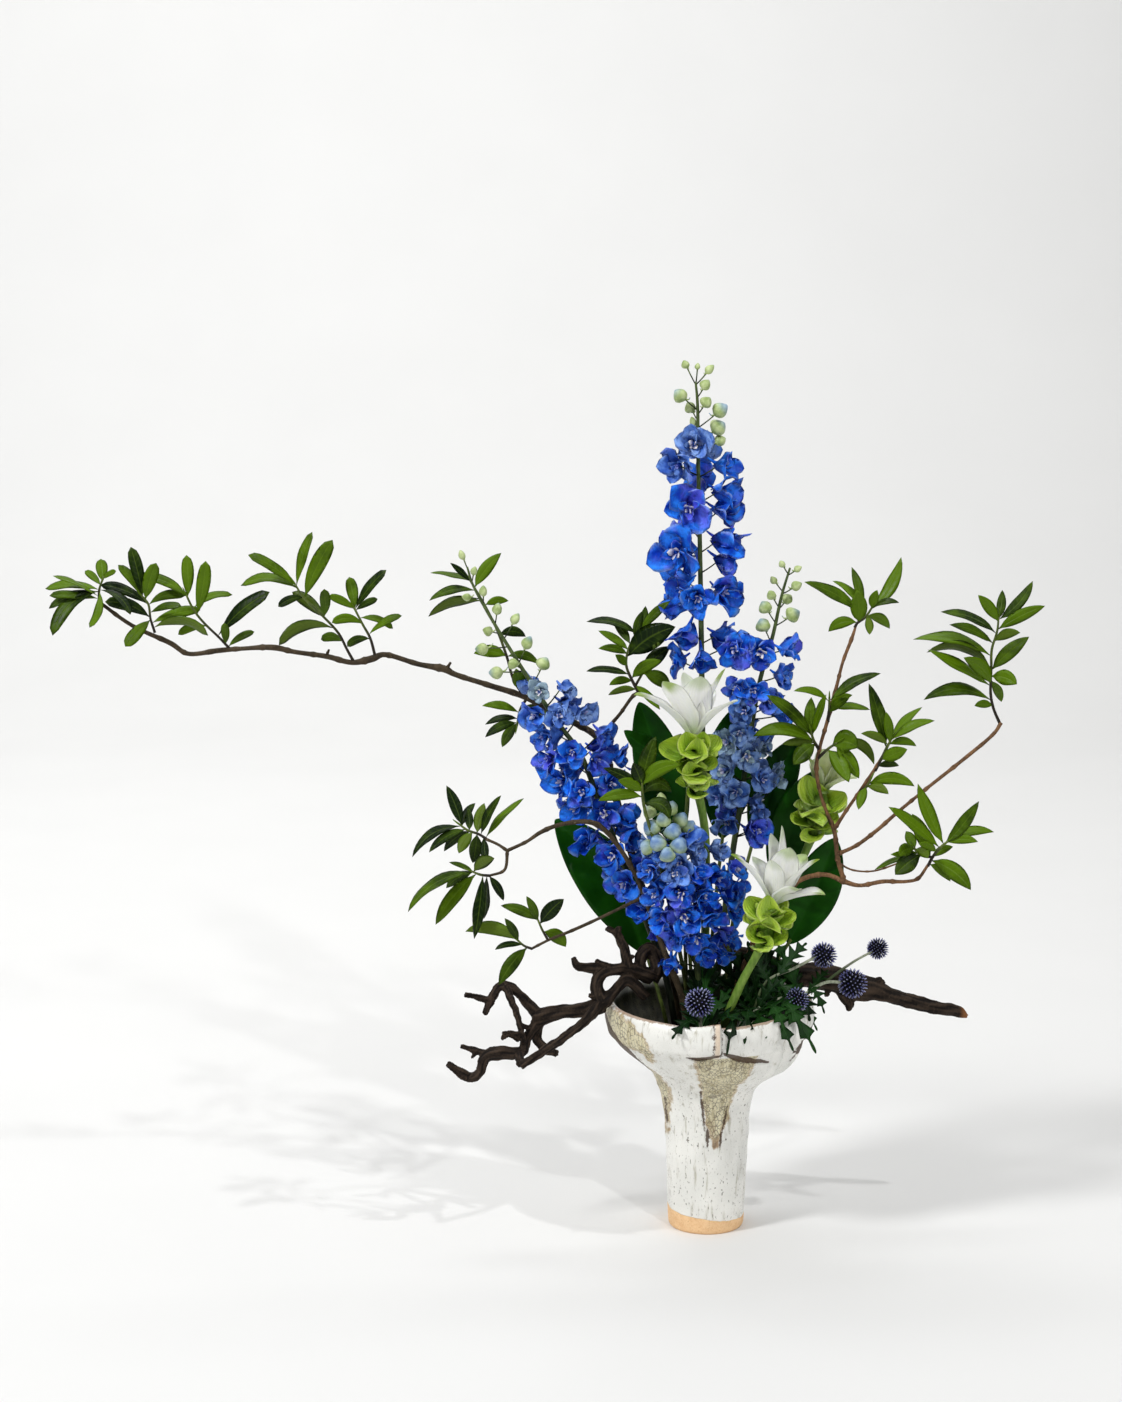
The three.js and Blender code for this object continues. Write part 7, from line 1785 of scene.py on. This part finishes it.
def thistle_leaves(twigs, rows):
    """Cut leaves that arch up from their stems and face up and towards the viewer."""
    u, v, tip_u, tip_v, depth, width, bulge = np.asarray(rows, float).T
    place = nearest_on(twigs, u, v)
    base = sight(place)
    tip = sight(np.stack([tip_u, tip_v, place[:, 2] + depth], -1))
    control = base + (tip - base) * 0.45 + UP * 2 * bulge[:, None] * length(tip - base)
    normal = unit(UP + unit(EYE - tip) * 0.9)
    return blades(base, control, tip, normal, width * 1.35, cut_outline, stations=46, points=5, thickness=0.6,
                  fold=0.25, ripple=0.06, finish=1, tone=rng.uniform(0, 1, len(u)), sweep=0.5)


for name, head in HEADS.items():
    make_piece(f"{name}_ball", thistle_ball(sight(head), head[3]), [thistle_floret], name)
for name, plant in THISTLES.items():
    twigs = [plant["stem"], *plant["stalks"]]
    shells = [tube(*stem_path(name, plant["stem"], 6), 8)]
    shells += [tube(*sighted_path(rows, 6), 8) for rows in plant["stalks"]]
    shells.append(thistle_leaves(twigs, plant["leaves"]))
    make_piece(f"{name}_plant", shells, [thistle_stem, thistle_leaf], name)

# %% [markdown]
# ## Driftwood
#
# Two old pieces of root lie on the rim. Their limbs loop, fork and end bluntly, and the wood is one body,
# so the limbs are drawn as rough tubes, melted together by a voxel skin, and then grooved again: every
# point of the skin looks up the nearest limb, and the grooves run along it.

# %% Driftwood rows
DRIFTWOOD = {
    "driftwood_left": [
        [(-62, 239, -32, 5), (-82, 258, -33, 6), (-94, 246, -33, 5.5), (-106, 236, -33, 8),
         (-113, 252, -32, 6.5), (-108, 264, -29, 6), (-84, 269, -25, 6.5), (-56, 260, -20, 8)],
        [(-57, 257, -20, 7.5), (-51, 272, -15, 7), (-59, 290, -12, 7), (-67, 283, -16, 7),
         (-68, 266, -22, 5)],
        [(-80, 268, -25, 5.5), (-84, 286, -24, 5), (-92, 305, -20, 4.4), (-103, 312, -18, 2.6)],
        [(-100, 267, -27, 6), (-118, 270, -24, 5.5), (-132, 272, -22, 4.6), (-137, 281, -18, 3)],
        [(-106, 233, -33, 8.5), (-124, 226, -28, 8), (-150, 224, -20, 7.5), (-172, 218, -8, 9)],
        [(-108, 236, -33, 6), (-118, 221, -42, 5.5), (-138, 203, -52, 4.6), (-162, 186, -60, 4.4),
         (-190, 167, -68, 4.4)],
        [(-170, 219, -8, 7), (-182, 232, -4, 5.4), (-200, 250, 2, 4.6), (-211, 251, 0, 4.6),
         (-222, 233, -8, 4.2), (-227, 221, -12, 2.6)],
        [(-219, 236, -7, 3.8), (-247, 242, -16, 2.6)],
        [(-206, 252, 0, 4), (-194, 222, -20, 3.4), (-187, 192, -30, 3)],
        [(-172, 214, -8, 6.5), (-183, 197, -17, 5), (-190, 181, -30, 6), (-212, 181, -36, 7),
         (-226, 176, -39, 6), (-232, 160, -46, 5), (-241, 155, -50, 5.5), (-265, 169, -60, 3)],
        [(-222, 179, -38, 4.2), (-251, 188, -28, 2.4)],
        [(-192, 180, -32, 5), (-190, 168, -60, 4)],
        [(-173, 212, -8, 6), (-174, 198, -9, 5), (-164, 184, -18, 4.6), (-154, 180, -28, 4)],
        [(-83, 278, -24, 3), (-75, 283, -28, 2)],
        [(-97, 269, -27, 4), (-114, 278, -32, 2.2)],
        [(-187, 201, -28, 2.6), (-209, 202, -38, 2)],
        [(-93, 304, -21, 3.6), (-90, 313, -25, 2.8)],
        [(-104, 240, -33, 4), (-121, 241, -38, 2.4)],
        [(-194, 213, -22, 2.6), (-182, 207, -16, 2.4), (-174, 210, -10, 3)],
        [(-236, 181, -34, 2.2), (-240, 175, -30, 1.4)],
        [(-192, 194, -29, 2.4), (-203, 200, -36, 2.4), (-210, 195, -40, 2.2)],
        [(-243, 157, -52, 4), (-246, 151, -56, 3)],
    ],
    "driftwood_right": [
        [(-22, 292, 66, 5), (2, 290, 66, 8), (34, 284, 66, 8.5), (62, 274, 64, 9.5), (84, 264, 62, 11),
         (108, 262, 56, 13), (128, 258, 50, 14.5), (150, 250, 46, 14), (168, 248, 44, 11.5),
         (186, 241, 43, 8.5), (233, 228, 40, 7), (254, 225, 38, 6), (265, 219, 37, 2)],
        [(136, 248, 46, 8), (144, 231, 40, 5), (143, 225, 38, 2.4)],
        [(166, 250, 44, 7), (178, 258, 42, 4)],
        [(36, 284, 66, 5), (28, 262, 60, 5.5), (20, 244, 58, 4.5)],
        [(122, 252, 48, 4), (121, 241, 40, 2.4)],
        [(6, 290, 66, 5), (-4, 304, 60, 3.6)],
    ],
}
VOXEL = 1.3
POINTS_AT_ONCE = 4000
GROOVE_DEPTH = 0.42
LUMP_DEPTH = 0.55
BREAK_START = 261
BREAK_SPAN = 5


def driftwood_finish():
    """Weathered brown, darker in the grooves, and raw orange wood where the end broke off."""
    p = Paint("weathered_wood")
    groove = p.mark("groove")
    cloud = p.noise(p.place(), 40.0, 4.0)
    fine = p.noise(p.place(), 420.0, 4.0, 0.6)
    brown = p.mix(p.step(groove * 0.5 + cloud * 0.5 + fine * 0.4, 0.45, 1.05), shade(20, 15, 12),
                  shade(66, 54, 44))
    brown = p.mix(p.step(fine, 0.62, 0.75) * 0.35, brown, shade(108, 92, 76))
    brown = p.mix(p.mark("broken"), brown, p.mix(fine, shade(168, 112, 66), shade(84, 54, 34)))
    return p.finish({
        "Base Color": brown,
        "Roughness": cloud * 0.2 + 0.68,
        "Normal": p.bump(groove * 0.5 + fine * 0.6, 0.0010),
        "Specular IOR Level": 0.15,
    })


def melted(piece, voxel):
    """Replaces the mesh of a piece by one voxel skin round all its shells."""
    modifier = piece.modifiers.new("melt", "REMESH")
    modifier.mode = "VOXEL"
    modifier.voxel_size = voxel * MM
    skin = bpy.data.meshes.new_from_object(piece.evaluated_get(bpy.context.evaluated_depsgraph_get()))
    piece.modifiers.clear()
    skin.materials.clear()
    for material in piece.data.materials:
        skin.materials.append(material)
    piece.data = skin
    return skin


def groove(skin, paths):
    """Pushes a skin along its normals by waves round the nearest limb that drift slowly along it."""
    count = len(skin.vertices)
    co, normal = np.empty(count * 3, np.float32), np.empty(count * 3, np.float32)
    skin.vertices.foreach_get("co", co)
    skin.vertices.foreach_get("normal", normal)
    co, normal = co.reshape(-1, 3) / MM, normal.reshape(-1, 3)
    frames_of = [directions(path) for path, _ in paths]
    places = np.concatenate([path for path, _ in paths])
    radii = np.concatenate([radius for _, radius in paths])
    side = np.concatenate([f[1] for f in frames_of])
    lift = np.concatenate([f[2] for f in frames_of])
    run = np.concatenate([run_along(path) for path, _ in paths])
    near = np.concatenate([
        (np.linalg.norm(part[:, None] - places, axis=-1) - radii).argmin(1)
        for part in np.array_split(co, 1 + count // POINTS_AT_ONCE)])
    out = co - places[near]
    angle = np.arctan2((out * lift[near]).sum(1), (out * side[near]).sum(1))
    waves = np.sin(7 * angle + run[near] * 0.08) + 0.7 * np.sin(13 * angle - run[near] * 0.05 + 2)
    waves = waves * 0.5 + 0.5 * np.sin(3 * angle + run[near] * 0.21)
    lumps = np.sin(co @ [0.31, 0.22, 0.17]) * np.sin(co @ [-0.12, 0.29, 0.33] + 1)
    co = co + normal * (GROOVE_DEPTH * waves + LUMP_DEPTH * lumps)[:, None]
    skin.vertices.foreach_set("co", (co * MM).astype(np.float32).ravel())
    skin.polygons.foreach_set("use_smooth", np.ones(len(skin.polygons), bool))
    broken = np.clip((co[:, 0] - BREAK_START) / BREAK_SPAN, 0, 1)
    for mark, values in {"groove": waves * 0.5 + 0.5, "broken": broken}.items():
        skin.attributes.new(mark, "FLOAT", "POINT").data.foreach_set("value", values.astype(np.float32))
    skin.update()


wood_paint = driftwood_finish()
for name, limbs in DRIFTWOOD.items():
    paths = [sighted_path(rows, 8) for rows in limbs]
    piece = make_piece(f"{name}_wood", [tube(p, r, 12, gnarl=0.07) for p, r in paths], [wood_paint], name)
    groove(melted(piece, VOXEL), paths)
    print(name, "skin", len(piece.data.polygons), "faces")
